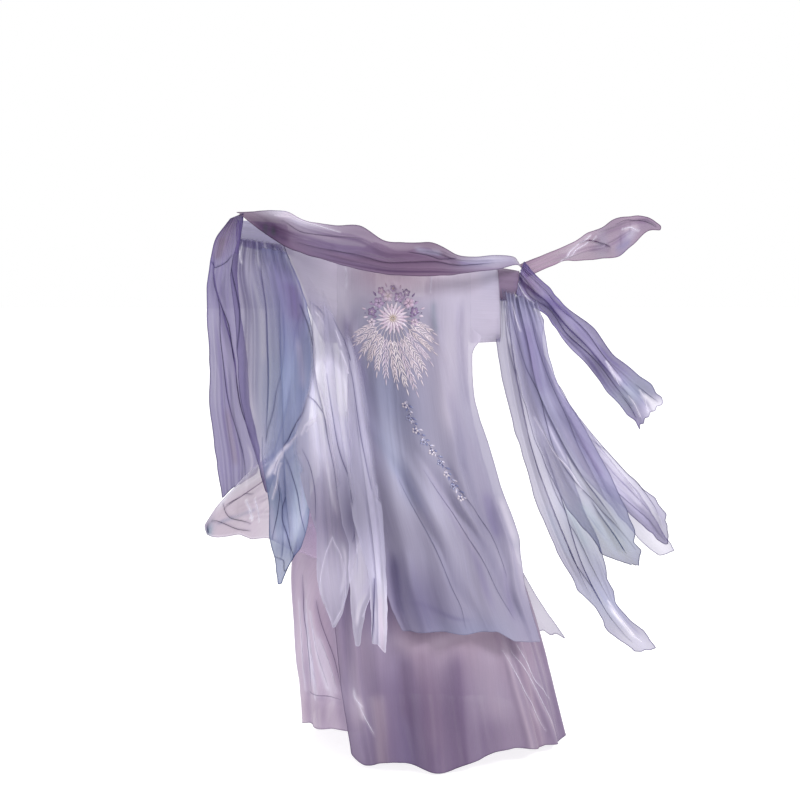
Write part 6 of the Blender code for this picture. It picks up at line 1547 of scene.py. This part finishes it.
def ring_cloth(name, grid, slot, look, seed, wave=1.2, hems=(0, -1), dark=0.8, joins=None):
    """Cloth sewn into a tube: rows of the grid run round it."""
    down, across = grid.shape[:2]
    centre = grid.mean(axis=1, keepdims=True)
    lead = unit(grid - centre)
    side = np.roll(grid, -1, 1) - np.roll(grid, 1, 1)
    fall = np.gradient(grid, axis=0)
    normal = unit(np.cross(side, fall))
    normal = np.where((normal * lead).sum(-1, keepdims=True) < 0, -normal, normal)
    round_m = np.cumsum(np.linalg.norm(np.diff(grid, axis=1, append=grid[:, :1]), axis=-1), axis=1)
    down_m = np.cumsum(np.linalg.norm(np.diff(grid, axis=0, prepend=grid[:1]), axis=-1), axis=0)
    turn = np.linspace(0, 1, across + 1)[:-1][None, :] * np.ones((down, 1))
    fold = np.cos(2 * math.pi * (9 * turn + 0.4 * np.sin(2 * math.pi * turn) + 2.5 * down_m))
    fine = np.cos(2 * math.pi * (31 * turn + 3 * np.sin(2 * math.pi * (turn + 0.2)) + 4 * down_m))
    lift = wave * (0.9 * fold + 0.35 * fine * (0.5 + grain(turn * 12, down_m * 20, seed)))
    points = grid + normal * (lift / 1000)[..., None]
    tint, opaque = dye_light_and_shade(LOOK[look], turn, np.linspace(0, 1, down)[:, None] * np.ones((1, across)))
    # painted shade: the colour follows the waves, lighter on their ridges and darker in their troughs
    tint = tint * (1 + wave * (0.025 * fold - 0.015 * fine))[..., None]
    if joins is not None:                     # takes up the colour of the cloth it is sewn to, its painted shade included
        own = (1 - ease(np.linspace(0, 1, down) / 0.75))[:, None]
        tint = tint + (joins[0][None] - tint) * own[..., None]
        opaque = opaque + (joins[1][None] - opaque) * own
    uv = np.stack([round_m, down_m], -1)
    obj = make_object("cloth_" + name, points, grid_quads(down, across, True), tint, opaque, uv, CLOTH[slot])
    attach(obj, "root")
    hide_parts(name)
    parts = []
    for r in hems:
        loop = np.concatenate([points[r], points[r, :2]])
        parts.append(tube_parts(resample(loop, 0.004), HEM_R))
    if parts:
        verts, quads = join_parts(parts)
        rim = make_object("cloth_" + name + "_hem", verts, quads, np.tile(tint.reshape(-1, 3).mean(axis=0) * dark, (len(verts), 1)),
                          np.full(len(verts), 0.88), np.stack([verts[:, 0] + verts[:, 1], verts[:, 2]], -1), CLOTH[slot])
        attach(rim, "root")
    return points


band_rows = BAND_TOP - np.linspace(0, 1, 17) * BAND_H
ring_cloth("skirt_band", np.stack([skirt_point(band_angle, np.full_like(band_angle, z)) for z in band_rows]),
           "skirt_mauve", "skirt_band", 3, 0.8)

for side_name, table in (("left", STRAP_L), ("right", STRAP_R)):
    def strap_form(s, t, table=table):
        mid = read(table, t)
        return mid + (s[..., None] - 0.5) * np.array([STRAP_W, 0, 0])
    sheets["skirt_strap_" + side_name] = Sheet(
        "cloth_skirt_strap_" + side_name, strap_form, (0, 0, 1), 8, 90, "skirt_strap", "strap_plum",
        crinkle=0.25, fray=0.15, seed=41, flat=(0.013, 0.27), held="stretched", rests_on=("skirt_band",),
        node_name="skirt_strap_" + side_name, hem="sides", hem_r=0.0008)

# ---- robe body
robe = Sheet("cloth_robe_back", lambda s, t: panel(ROBE_BACK, s, t, BACK, 3.5, 0.1, 0.35, YOKE_BACK), BACK,
             176, 240, "robe_back", "robe_lilac", CREASES["robe_back"], EDGES["robe_back"],
             (0, 0, 0.1), 0.9, 1.2, 51, (0.44, 1.09), "hung", ("skirt_band",), 0.44, "robe_back",
             "below", 0.92, 0.0009, None, 0.8, marks=MARKS["robe_back"], sewn=0.2)
sheets["robe_back"] = robe


def shoulder(first, last):
    part = np.linspace(0, 1, 5)
    line = read(YOKE_BACK, first + (last - first) * part) + np.array([0.0, 2.2 * SEAM, 0.0])
    return [(f, *point) for f, point in zip(part, line)]


for side_name, table, yoke, seed in (("right", ROBE_FRONT_R, shoulder(1.0, 0.80), 61), ("left", ROBE_FRONT_L, shoulder(0.0, 0.20), 67)):
    sheets["robe_front_" + side_name] = Sheet(
        "cloth_robe_front_" + side_name,
        lambda s, t, table=table, yoke=yoke: panel(table, s, t, FRONT, 1.5, 0.0, 0.2, yoke), FRONT,
        70, 184, "robe_front_" + side_name, "robe_lilac", CREASES["robe_front"], EDGES.get("robe_front_" + side_name), (0, 0, 0.1), 1.0, 1.0, seed,
        (0.36, 1.16) if side_name == "right" else (0.28, 1.16), "hung", ("skirt_band",), 0.27 if side_name == "right" else 0.22, "robe_front_" + side_name, "below", 0.80, 0.0010, None, 0.8, sewn=0.2)

# the collar band, up one front edge, round the nape and down the other
tt = np.linspace(1.0, 0.0, 150)
lo = sheets["robe_front_left"].at(np.ones_like(tt), tt)
ro = sheets["robe_front_right"].at(np.ones_like(tt), tt[::-1])
nape = read(YOKE_BACK, np.linspace(0.16, 0.84, 90))
inward_n = unit(np.array([0.010, -0.030, 0.10]) - nape)
line = np.concatenate([lo, nape[2:-2], ro])
inward = np.concatenate([np.tile([1.0, 0.0, 0.0], (len(lo), 1)), inward_n[2:-2], np.tile([-1.0, 0.0, 0.0], (len(ro), 1))])
for _ in range(60):
    inward[1:-1] = (inward[:-2] + 2 * inward[1:-1] + inward[2:]) / 4
for _ in range(4):
    line[1:-1] = (line[:-2] + 2 * line[1:-1] + line[2:]) / 4
inward = unit(inward)
collar_len = np.linalg.norm(np.diff(line, axis=0), axis=1).sum()


def collar_form(s, t):
    k = np.clip(t, 0, 1) * (len(line) - 1)
    k0 = np.clip(k.astype(int), 0, len(line) - 2)
    f = (k - k0)[..., None]
    p = line[k0] * (1 - f) + line[k0 + 1] * f
    d = inward[k0] * (1 - f) + inward[k0 + 1] * f
    return p + d * (0.0022 + COLLAR_W * s)[..., None]


sheets["robe_collar"] = Sheet(
    "cloth_robe_collar", collar_form, (0, 1, 0.3), 14, 420, "robe_collar", "collar_lilac",
    crinkle=0.5, fray=0.3, seed=71, flat=(0.032, round(collar_len, 2)), held="stretched",
    rests_on=("cloth_robe_back", "cloth_robe_front_left", "cloth_robe_front_right"), node_name="robe_collar",
    hem="sides", hem_r=0.0011)

# ---- sleeves: short tubes on the armholes, cuffs, then petals
def armhole(back, front, side, t_end, shift, n=44):
    t = np.linspace(0.0, t_end, n)
    b = back.at(np.full_like(t, side), t)
    f = front.at(np.zeros_like(t), t)
    return np.concatenate([b, f[::-1][1:-1]]) + np.array([shift, 0, 0])


def colour_at(back, front, side, t_end, n=44):
    """Colour, painted light and shade included, and opacity of the two cloths along their armhole."""
    t = np.linspace(0.0, t_end, n)
    made = []
    for cloth, edge, order in ((back, side, slice(None)), (front, 0.0, slice(None, None, -1))):
        rows = np.interp(t, cloth.t[:, 0], np.arange(len(cloth.t))).astype(int)
        col = 6 if edge == 0.0 else -7
        made.append((cloth.tint[rows, col][order], cloth.dense[rows, col][order]))
    (a, da), (b, db) = made
    return np.concatenate([a, b[1:-1]]), np.concatenate([da, db[1:-1]])


def slanted(n, top_pt, bottom_pt, depth_back, depth_front):
    a = np.linspace(0, 2 * math.pi, n + 1)[:-1]
    u = (1 - np.cos(a)) / 2
    mid = np.array(top_pt)[None] * (1 - u[:, None]) + np.array(bottom_pt)[None] * u[:, None]
    side = np.sin(a)
    mid[:, 1] += np.where(side > 0, -depth_back * side, -depth_front * side)
    return mid


def lofted(first, last, along, bulge=0.0):
    f = np.linspace(0, 1, along + 1)[:, None, None]
    grid = first[None] * (1 - f) + last[None] * f
    mid = grid.mean(axis=1, keepdims=True)
    return mid + (grid - mid) * (1 + bulge * np.sin(math.pi * f))


def ring(n, c, ry, rz, tip):
    a = np.linspace(0, 2 * math.pi, n + 1)[:-1]
    return np.stack([c[0] + tip * np.cos(a), c[1] - ry * np.sin(a), c[2] + rz * np.cos(a)], -1)


ring_l = armhole(robe, sheets["robe_front_left"], 0.0, 0.21, -0.0004)
ring_r = armhole(robe, sheets["robe_front_right"], 1.0, 0.21, 0.0004)
cuff_l = slanted(len(ring_l), (-0.336, -0.010, 0.036), (-0.214, -0.010, -0.262), 0.085, 0.075)
cuff_r = slanted(len(ring_r), (0.276, 0.030, -0.052), (0.286, 0.030, -0.262), 0.075, 0.070)
ring_cloth("sleeve_upper_left", lofted(ring_l, cuff_l, 56), "robe_lilac", "sleeve_upper", 81,
           0.8, (-1,), 0.86, colour_at(robe, sheets["robe_front_left"], 0.0, 0.21))
ring_cloth("sleeve_upper_right", lofted(ring_r, cuff_r, 44), "robe_lilac", "sleeve_upper", 83,
           0.5, (-1,), 0.86, colour_at(robe, sheets["robe_front_right"], 1.0, 0.21))
ring_cloth("sleeve_cuff_left", lofted(ring(72, (-0.312, -0.015, 0.026), 0.046, 0.044, -0.010),
                                      ring(72, (-0.458, -0.010, 0.048), 0.036, 0.034, 0.0), 48, 0.04),
           "sleeve_violet", "sleeve_cuff", 85, 1.6, (0, -1), 0.82)
ring_cloth("sleeve_cuff_right", lofted(ring(72, (0.279, 0.038, -0.098), 0.042, 0.046, 0.0),
                                       ring(72, (0.334, 0.052, -0.105), 0.038, 0.044, 0.008), 24, 0.02),
           "sleeve_violet", "sleeve_cuff_rose", 87, 1.2, (0, -1), 0.82)

hang("sleeve_left_main", SLEEVE_L_MAIN, 2.0, 0.0, 0.3, 100, 200, "sleeve_violet", gather=(9, 3.4, 0.16), seed=101, melt=(8, 0, 14),
     flat=(0.26, 0.72), area=0.130, held="gathered", rests_on=("cloth_sleeve_cuff_left",))
hang("sleeve_left_blue", SLEEVE_L_BLUE, 1.5, 0.25, 0.3, 80, 240, "sleeve_blue", gather=(7, 2.8, 0.12), seed=111, melt=(14, 60, 0), hem_from=0.5,
     flat=(0.18, 0.96), area=0.126, held="gathered", rests_on=("cloth_sleeve_cuff_left",))
hang("sleeve_left_corner", SLEEVE_L_CORNER, 1.5, 0.1, 0.2, 110, 120, "sleeve_white", gather=(0, 0, 0.1), seed=121, fray=2.2, hem_from=0.34, rim="white", hem_dark=1.04,
     flat=(0.46, 0.52), area=0.118, held="draped", rests_on=("cloth_sleeve_upper_left",))
hang("sleeve_left_petal_1", SLEEVE_L_PETAL_1, 1.0, 0.0, 0.2, 56, 220, "sleeve_white", gather=(3, 0.7, 0.10), seed=131, melt=(90, 10, 12), hem_from=0.74, rim="white", hem_dark=1.06,
     flat=(0.15, 0.95), area=0.098, rests_on=("cloth_sleeve_upper_left",))
hang("sleeve_left_petal_2", SLEEVE_L_PETAL_2, 1.0, 0.3, 0.2, 56, 230, "sleeve_white", gather=(3, 0.7, 0.10), seed=141, melt=(70, 14, 10), hem_from=0.70, rim="white", hem_dark=1.06,
     flat=(0.13, 0.97), area=0.084, rests_on=("cloth_sleeve_upper_left",))
hang("sleeve_left_petal_3", SLEEVE_L_PETAL_3, 1.0, 0.6, 0.2, 44, 210, "sleeve_white", gather=(2, 0.5, 0.10), seed=151, melt=(60, 12, 10), hem_from=0.74, rim="white", hem_dark=1.06,
     flat=(0.10, 0.88), area=0.060, rests_on=("cloth_sleeve_upper_left",))
hang("sleeve_right_long", SLEEVE_R_LONG, 1.5, 0.0, 0.4, 80, 240, "sleeve_blue", gather=(6, 2.6, 0.07), seed=161, melt=(10, 0, 0), fray=3.4,
     flat=(0.16, 1.14), area=0.135, rests_on=("cloth_sleeve_upper_right",))
hang("sleeve_right_mid", SLEEVE_R_MID, 2.0, 0.2, 0.4, 100, 200, "sleeve_violet", gather=(7, 2.8, 0.07), seed=171, melt=(12, 10, 0), fray=3.4,
     flat=(0.24, 0.85), area=0.128, held="gathered", rests_on=("cloth_sleeve_upper_right",))
hang("sleeve_right_outer", SLEEVE_R_OUTER, 1.5, 0.5, 0.4, 76, 200, "sleeve_white", gather=(4, 2.0, 0.07), seed=181, melt=(12, 10, 0), fray=3.4,
     flat=(0.16, 0.82), area=0.078, rests_on=("cloth_sleeve_upper_right",))
hang("sleeve_right_under", SLEEVE_R_UNDER, 1.0, 0.3, 0.4, 60, 190, "sleeve_white", gather=(3, 1.4, 0.10), seed=191, fray=2.6,
     flat=(0.14, 0.86), area=0.08, rests_on=("cloth_sleeve_upper_right",))
hang("shawl_back", SHAWL_BACK, 1.5, 0.2, 0.6, 72, 260, "shawl_plum", gather=(0, 0, 0.1), seed=201, crinkle=1.1,
     flat=(0.14, 0.92), area=0.078, held="draped", rests_on=("cloth_sleeve_cuff_left", "cloth_sleeve_upper_right"), hem="long")
hang("shawl_end_left", SHAWL_END_LEFT, 1.5, 0.0, 0.2, 64, 210, "shawl_violet", gather=(5, 2.0, 0.10), seed=211, fray=1.8,
     flat=(0.14, 0.79), area=0.085, held="draped", rests_on=("cloth_sleeve_cuff_left",))
hang("shawl_end_right", SHAWL_END_RIGHT, 1.5, 0.0, 0.5, 72, 190, "shawl_violet", gather=(5, 2.0, 0.10), seed=221, fray=3.0,
     flat=(0.14, 0.60), area=0.056, held="draped", rests_on=("cloth_sleeve_cuff_right",))
hang("shawl_end_hand", SHAWL_END_HAND, 1.5, 0.3, 0.5, 60, 160, "shawl_mauve", gather=(3, 1.2, 0.10), seed=231, fray=2.4,
     flat=(0.12, 0.46), area=0.031, held="draped", rests_on=("cloth_sleeve_cuff_right",))


# ---------------------------------------------------------------- stitching
FLOSS = thread("satin_floss", 0.42, 0.25, 0.10, 700.0)
BEADS = thread("seed_beads", 0.22, 0.0, 0.60, 400.0)
MEDAL = (0.42, 0.150)          # part of width and length at the middle of the medallion

THREAD = {"white": (228, 216, 226), "cream": (220, 206, 208), "shell": (212, 192, 206), "lilac": (184, 162, 192),
          "violet": (148, 122, 164), "deep": (104, 82, 126), "grey": (168, 162, 186), "ink": (80, 78, 124),
          "blue": (134, 140, 184), "gold": (192, 172, 156), "rose": (202, 172, 192)}
THREAD = {name: tuple(255 * (v / 255) * (1.24 / LIGHT) ** 0.45 for v in shade) for name, shade in THREAD.items()}


class Stitching:
    """Stitched work on the robe's back, placed in mm right and down of its middle."""

    def __init__(self, cloth, middle):
        self.cloth, self.middle = cloth, middle
        self.parts, self.tints, self.bead_parts, self.bead_tints = [], [], [], []

    def place(self, a, b, off):
        a, b = np.asarray(a, float), np.asarray(b, float)
        t = self.middle[1] + b / 1000 / self.cloth.long
        wide = np.interp(t, self.cloth.t[:, 0], self.cloth.wide_row)
        return self.cloth.at(self.middle[0] + a / 1000 / wide, t, np.asarray(off, float) / 1000)

    def leaf(self, a, b, angle, length, width, base, tip, bow=0.0, raise_mm=1.0, point=0.8):
        """One satin-stitched leaf or petal, from its foot at a, b; angle 0 points down."""
        u, v = np.meshgrid(np.linspace(0, 1, 9), np.linspace(-1, 1, 5), indexing="ij")
        half = width / 2 * np.sin(math.pi * u ** point) ** 0.85
        along = length * u
        aside = half * v + bow * np.sin(math.pi * u)
        ca, sa = math.cos(angle), math.sin(angle)
        off = 0.5 + raise_mm * (1 - v**2) * np.sin(math.pi * np.clip(u * 0.92 + 0.04, 0, 1)) ** 0.6
        points = self.place(a + along * sa + aside * ca, b + along * ca - aside * sa, off)
        shade = linear(THREAD[base]) + (linear(THREAD[tip]) - linear(THREAD[base])) * u[..., None]
        # painted shade: each leaf darkens towards its sides, where the raised satin turns away, and fine bands run
        # across it
        shade = shade * (1 - 0.22 * (v[..., None] ** 2)) * (0.94 + 0.10 * np.sin(9 * v + 5 * u))[..., None]
        self.parts.append((points, grid_quads(9, 5)))
        self.tints.append(shade.reshape(-1, 3))

    def stem(self, path, radius, colour, lift=0.7):
        """A couched cord through points in mm."""
        path = resample(np.array(path, float), 2.2)
        for _ in range(3):
            path[1:-1] = (path[:-2] + 2 * path[1:-1] + path[2:]) / 4
        ring, quads = tube_parts(self.place(path[:, 0], path[:, 1], np.full(len(path), lift)), radius / 1000, 5, 0.5)
        self.parts.append((ring, quads))
        twist = 0.88 + 0.18 * (np.arange(len(path)) % 2)
        self.tints.append(np.repeat(linear(THREAD[colour]) * twist[:, None], 5, axis=0))
        return path

    def bead(self, a, b, radius, colour):
        """A small round bead sewn through its middle."""
        down, across = 6, 9
        th = np.linspace(0.12, math.pi - 0.12, down)
        ph = np.linspace(0, 2 * math.pi, across + 1)[:-1]
        ball = np.stack([np.sin(th)[:, None] * np.cos(ph), np.sin(th)[:, None] * np.sin(ph),
                         np.cos(th)[:, None] * np.ones(across)], -1) * radius / 1000
        centre = self.place(a, b, 0.4 + radius)
        self.bead_parts.append((ball + centre, grid_quads(down, across, closed=True)))
        self.bead_tints.append(np.tile(linear(THREAD[colour]), (down * across, 1)))

    def spray(self, a, b, angle, turn, length, pairs, leaf_mm, colour, tip, wide=4.6, stem="white", beads=True, seed=0):
        """A leaf spray: a curving stem with leaves in pairs, a leaf at its tip, and with beads set three beads along
        it.
        """
        rnd = np.random.RandomState(seed)
        steps = np.linspace(0, 1, 26)
        heading = angle + turn * steps
        path = np.stack([a + np.cumsum(np.sin(heading)) * length / 26, b + np.cumsum(np.cos(heading)) * length / 26], -1)
        self.stem(path, 0.75, stem)
        for k in range(pairs):
            u = 0.14 + 0.78 * (k + 0.5) / pairs
            i = int(u * 25)
            size = leaf_mm * (0.75 + 0.45 * math.sin(math.pi * u)) * rnd.uniform(0.88, 1.12)
            for side in (-1, 1):
                swing = heading[i] + side * rnd.uniform(0.24, 0.44)
                self.leaf(path[i, 0], path[i, 1], swing, size, wide * rnd.uniform(0.85, 1.15), colour, tip,
                          bow=side * 1.1, raise_mm=0.8)
        self.leaf(path[-1, 0], path[-1, 1], heading[-1], leaf_mm * 0.95, wide, colour, tip, raise_mm=0.8)
        if beads:
            for u in (0.30, 0.52, 0.74):
                i = int(u * 25)
                self.bead(path[i, 0] + 1.2, path[i, 1], 1.15, "white")
        return path

    def blossom(self, a, b, size, petals, outer, inner, centre, turn=0.0, notch=True):
        """A small round-petalled blossom with a beaded middle."""
        for k in range(petals):
            ang = turn + 2 * math.pi * k / petals
            self.leaf(a + 1.2 * math.sin(ang), b + 1.2 * math.cos(ang), ang, size, size * 0.86, inner, outer, raise_mm=1.3, point=1.25)
        for k in range(petals):
            ang = turn + 2 * math.pi * (k + 0.5) / petals
            self.bead(a + size * 0.34 * math.sin(ang), b + size * 0.34 * math.cos(ang), 0.95, centre)
        self.bead(a, b, 1.5, centre)

    def finish(self, name):
        made = []
        for tag, parts, tints, mat in (("floss", self.parts, self.tints, FLOSS), ("beads", self.bead_parts, self.bead_tints, BEADS)):
            if not parts:
                continue
            verts, quads = join_parts(parts)
            obj = make_object(name + "_" + tag, verts, quads, np.concatenate(tints), np.ones(len(verts)), None, mat)
            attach(obj, "root")
            self.cloth.extra.append(obj)
            made.append(obj)
        return made


# A chrysanthemum medallion with plum blossoms above it and leaf sprays below.
work = Stitching(robe, MEDAL)
for k in range(20):
    ang = 2 * math.pi * k / 20 + 0.08
    work.leaf(10 * math.sin(ang), 10 * math.cos(ang) - 8, ang, 33 + 4 * (k % 2), 8.5, "lilac", "shell" if k % 3 else "white", raise_mm=1.5, bow=1.4)
for k in range(15):
    ang = 2 * math.pi * k / 15 + 0.2
    work.leaf(6 * math.sin(ang), 6 * math.cos(ang) - 8, ang, 22, 6.5, "shell", "white", raise_mm=2.6, bow=-1.0)
for k in range(10):
    ang = 2 * math.pi * k / 10
    work.leaf(2 * math.sin(ang), 2 * math.cos(ang) - 8, ang, 12, 4.6, "gold", "cream", raise_mm=3.2)
for k in range(9):
    ang = 2 * math.pi * k / 9 + 0.3
    work.bead(4.6 * math.sin(ang), 4.6 * math.cos(ang) - 8, 1.3, "gold")
work.bead(0, -8, 2.0, "cream")
for k in range(26):
    ang = 2 * math.pi * k / 26
    work.bead(29 * math.sin(ang), 29 * math.cos(ang) - 8, 1.1, "deep" if k % 2 else "white")

# blossoms: mm right, mm down, petal mm, turn, outer, inner, centre
BLOSSOMS = [(-40, -50, 14, 0.1, "violet", "lilac", "deep"), (-14, -68, 15, 0.5, "lilac", "shell", "gold"),
            (17, -66, 14, 0.2, "violet", "lilac", "white"), (43, -50, 15, 0.9, "lilac", "rose", "deep"),
            (-58, -26, 12, 0.4, "deep", "violet", "white"), (59, -26, 12, 0.1, "deep", "violet", "white"),
            (-58, 2, 10, 0.7, "lilac", "white", "deep"), (59, 2, 10, 0.2, "violet", "shell", "deep"),
            (-32, -78, 10, 0.2, "violet", "rose", "white"), (38, -78, 10, 0.6, "deep", "lilac", "white"),
            (2, -88, 9, 0.3, "lilac", "violet", "gold")]
for a, b, size, turn, outer, inner, centre in BLOSSOMS:
    work.blossom(a, b, size, 5, outer, inner, centre, turn)
# leaves: mm right, mm down, angle, length, width, foot, tip
for a, b, ang, length, width, foot, tip in [
        (-28, -42, -2.5, 17, 6, "deep", "violet"), (-28, -62, -2.9, 15, 6, "violet", "lilac"), (0, -78, 3.14, 15, 6, "violet", "rose"),
        (32, -66, 2.7, 15, 6, "violet", "lilac"), (30, -42, 2.4, 17, 6, "deep", "violet"), (-54, -44, -2.1, 16, 6, "violet", "lilac"),
        (57, -46, 2.1, 16, 6, "violet", "lilac"), (-68, -12, -1.5, 14, 6, "lilac", "white"), (70, -14, 1.5, 14, 6, "lilac", "white"),
        (-44, -14, -1.2, 14, 6, "deep", "violet"), (45, -16, 1.2, 14, 6, "deep", "violet"), (-46, -66, -2.4, 14, 5, "deep", "violet"),
        (52, -66, 2.4, 14, 5, "deep", "violet"), (-16, -88, -2.8, 13, 5, "lilac", "rose"), (20, -88, 2.8, 13, 5, "lilac", "rose"),
        (-74, -32, -1.9, 13, 5, "lilac", "shell"), (75, -32, 1.9, 13, 5, "lilac", "shell")]:
    work.leaf(a, b, ang, length, width, foot, tip)
for a, b in [(-34, -58), (34, -60), (-4, -56), (8, -54), (-52, -38), (54, -38), (-70, -2), (71, -4), (-42, -32), (42, -32), (-24, -50), (26, -50),
             (-60, -52), (62, -54), (-20, -54), (20, -52), (-24, -84), (28, -86), (-76, -22), (78, -22)]:
    work.bead(a, b, 1.6, "deep" if (a + b) % 3 else "white")

# sprays: mm right, mm down, heading, turn, length, pairs, leaf mm, foot, tip
SPRAYS = [(-30, 6, -0.98, 0.16, 92, 7, 16, "shell", "white"), (-27, 11, -0.78, 0.26, 108, 8, 16, "white", "shell"),
          (-22, 15, -0.58, 0.20, 118, 9, 16, "shell", "cream"), (-17, 18, -0.42, 0.22, 134, 10, 16, "white", "shell"),
          (-11, 20, -0.26, 0.18, 148, 11, 16, "lilac", "white"), (-5, 21, -0.10, 0.18, 158, 12, 16, "shell", "white"),
          (1, 22, 0.02, 0.16, 172, 13, 16, "white", "cream"), (7, 21, 0.14, 0.12, 182, 13, 16, "lilac", "white"),
          (13, 19, 0.30, 0.00, 156, 11, 16, "shell", "white"), (19, 16, 0.44, -0.08, 140, 10, 16, "white", "shell"),
          (24, 12, 0.62, -0.10, 124, 9, 16, "lilac", "white"), (29, 7, 0.82, -0.12, 110, 8, 16, "shell", "cream"),
          (32, 1, 1.06, -0.22, 98, 7, 15, "white", "shell"), (33, -5, 1.30, -0.34, 84, 6, 14, "shell", "white"),
          (-32, 0, -1.24, 0.34, 80, 6, 14, "shell", "white")]
for n, (a, b, ang, turn, length, pairs, leaf_mm, foot, tip) in enumerate(SPRAYS):
    work.spray(a, b, ang, turn, length, pairs, leaf_mm * 1.35, foot, tip, wide=3.0, seed=20 + n, stem="cream" if n % 2 else "white")
work.finish("stitch_medallion")

# A slim budding sprig below it, across the back.
# columns: part of the width, part of the length
SPRIG = [(0.46, 0.360), (0.475, 0.410), (0.52, 0.450), (0.585, 0.490), (0.64, 0.530), (0.675, 0.570), (0.71, 0.600), (0.73, 0.620)]
twig = Stitching(robe, (0.0, 0.0))
k = np.linspace(0, 1, 60)
line_s = np.interp(k, np.linspace(0, 1, len(SPRIG)), [p[0] for p in SPRIG])
line_t = np.interp(k, np.linspace(0, 1, len(SPRIG)), [p[1] for p in SPRIG])
wide = np.interp(line_t, robe.t[:, 0], robe.wide_row)
twig_path = np.stack([line_s * wide * 1000, line_t * robe.long * 1000], -1)


def on_twig(a, b, off):
    t = np.asarray(b, float) / 1000 / robe.long
    width = np.interp(t, robe.t[:, 0], robe.wide_row)
    return robe.at(np.asarray(a, float) / 1000 / width, t, np.asarray(off, float) / 1000)


twig.place = on_twig
twig_path = twig.stem(twig_path, 0.9, "grey")
total = len(twig_path)
for n in range(34):
    i = int((n + 0.7) / 34.5 * (total - 1))
    a, b = twig_path[i]
    da, db = twig_path[min(i + 1, total - 1)] - twig_path[max(i - 1, 0)]
    heading = math.atan2(da, db)
    side = 1 if n % 2 else -1
    size = 13 + 4.0 * math.sin(1.7 * n)
    twig.leaf(a, b, heading + side * 0.85, size, 6.0, "ink" if n % 3 else "blue", "blue" if n % 3 else "white", bow=side * 0.8)
    if n % 2 == 0:
        twig.bead(a + side * 4.5 * math.cos(heading), b - side * 4.5 * math.sin(heading), 1.5, ("white", "ink", "blue")[n % 3])
    if n % 4 == 1:
        twig.blossom(a - side * 8 * math.cos(heading), b + side * 8 * math.sin(heading), 8.0, 5, "white" if n % 8 == 1 else "blue", "grey", "ink", turn=0.3 * n)
    twig.bead(a, b, 1.1, "ink" if n % 2 else "white")
twig.finish("stitch_sprig")

for item in sheets.values():
    item.declare()

# ---------------------------------------------------------------- room
floor_mesh = bpy.data.meshes.new("floor")
floor_mesh.from_pydata([(-60, -60, FLOOR_Z), (60, -60, FLOOR_Z), (60, 60, FLOOR_Z), (-60, 60, FLOOR_Z)], [], [(0, 1, 2, 3)])
floor = bpy.data.objects.new("floor", floor_mesh)
bpy.context.scene.collection.objects.link(floor)
floor_mat = bpy.data.materials.new("pale_floor")
floor_mat.use_nodes = True
floor_bsdf = floor_mat.node_tree.nodes["Principled BSDF"]
floor_bsdf.inputs["Base Color"].default_value = (0.44, 0.44, 0.445, 1)
floor_bsdf.inputs["Roughness"].default_value = 0.9
floor_bsdf.inputs["Specular IOR Level"].default_value = 0.1
floor_bsdf.inputs["Emission Color"].default_value = (1, 1, 1, 1)
floor_bsdf.inputs["Emission Strength"].default_value = 0.78
floor_mesh.materials.append(floor_mat)

world = bpy.data.worlds.new("room")
world.use_nodes = True
bpy.context.scene.world = world
wt = world.node_tree
wt.nodes.clear()
seen_bg = node(wt, "ShaderNodeBackground", 0, 100, Strength=1.0)
lit_bg = node(wt, "ShaderNodeBackground", 0, -100, Strength=0.90)
seen_bg.inputs["Color"].default_value = (1, 1, 1, 1)
lit_bg.inputs["Color"].default_value = (1.0, 0.985, 0.985, 1)
ray = node(wt, "ShaderNodeLightPath", -200, 300)
choose = node(wt, "ShaderNodeMixShader", 200, 0)
wt.links.new(ray.outputs["Is Camera Ray"], choose.inputs["Fac"])
wt.links.new(lit_bg.outputs[0], choose.inputs[1])
wt.links.new(seen_bg.outputs[0], choose.inputs[2])
wt.links.new(choose.outputs[0], node(wt, "ShaderNodeOutputWorld", 400, 0).inputs["Surface"])


def area_light(name, place, aim, size, power, colour=(1, 1, 1)):
    data = bpy.data.lights.new(name, "AREA")
    data.shape = "SQUARE"
    data.size = size
    data.energy = power
    data.color = colour
    obj = bpy.data.objects.new(name, data)
    bpy.context.scene.collection.objects.link(obj)
    obj.location = place
    d = np.array(place, float) - np.array(aim, float)
    flat = math.hypot(d[0], d[1])
    obj.rotation_euler = (math.atan2(flat, d[2]), 0, math.atan2(d[0], -d[1]) + 0.0)
    return obj


area_light("key", (3.6, -2.2, 2.2), (0.0, 0.0, -0.5), 1.4, 180)
area_light("fill", (-3.6, -3.0, 0.8), (0.0, 0.0, -0.5), 3.0, 30)
area_light("back", (-2.6, 3.2, 2.6), (0.0, 0.0, -0.4), 2.2, 90)

cam_data = bpy.data.cameras.new("camera")
cam_data.sensor_width = 36.0
cam_data.lens = 66.33
cam = bpy.data.objects.new("camera", cam_data)
bpy.context.scene.collection.objects.link(cam)
cam.location = (0.0, -4.2, -0.08)
cam.rotation_euler = (math.radians(90 - 4.73), 0, 0)
bpy.context.scene.camera = cam
bpy.context.scene.view_settings.view_transform = "Standard"
bpy.context.scene.view_settings.look = "None"
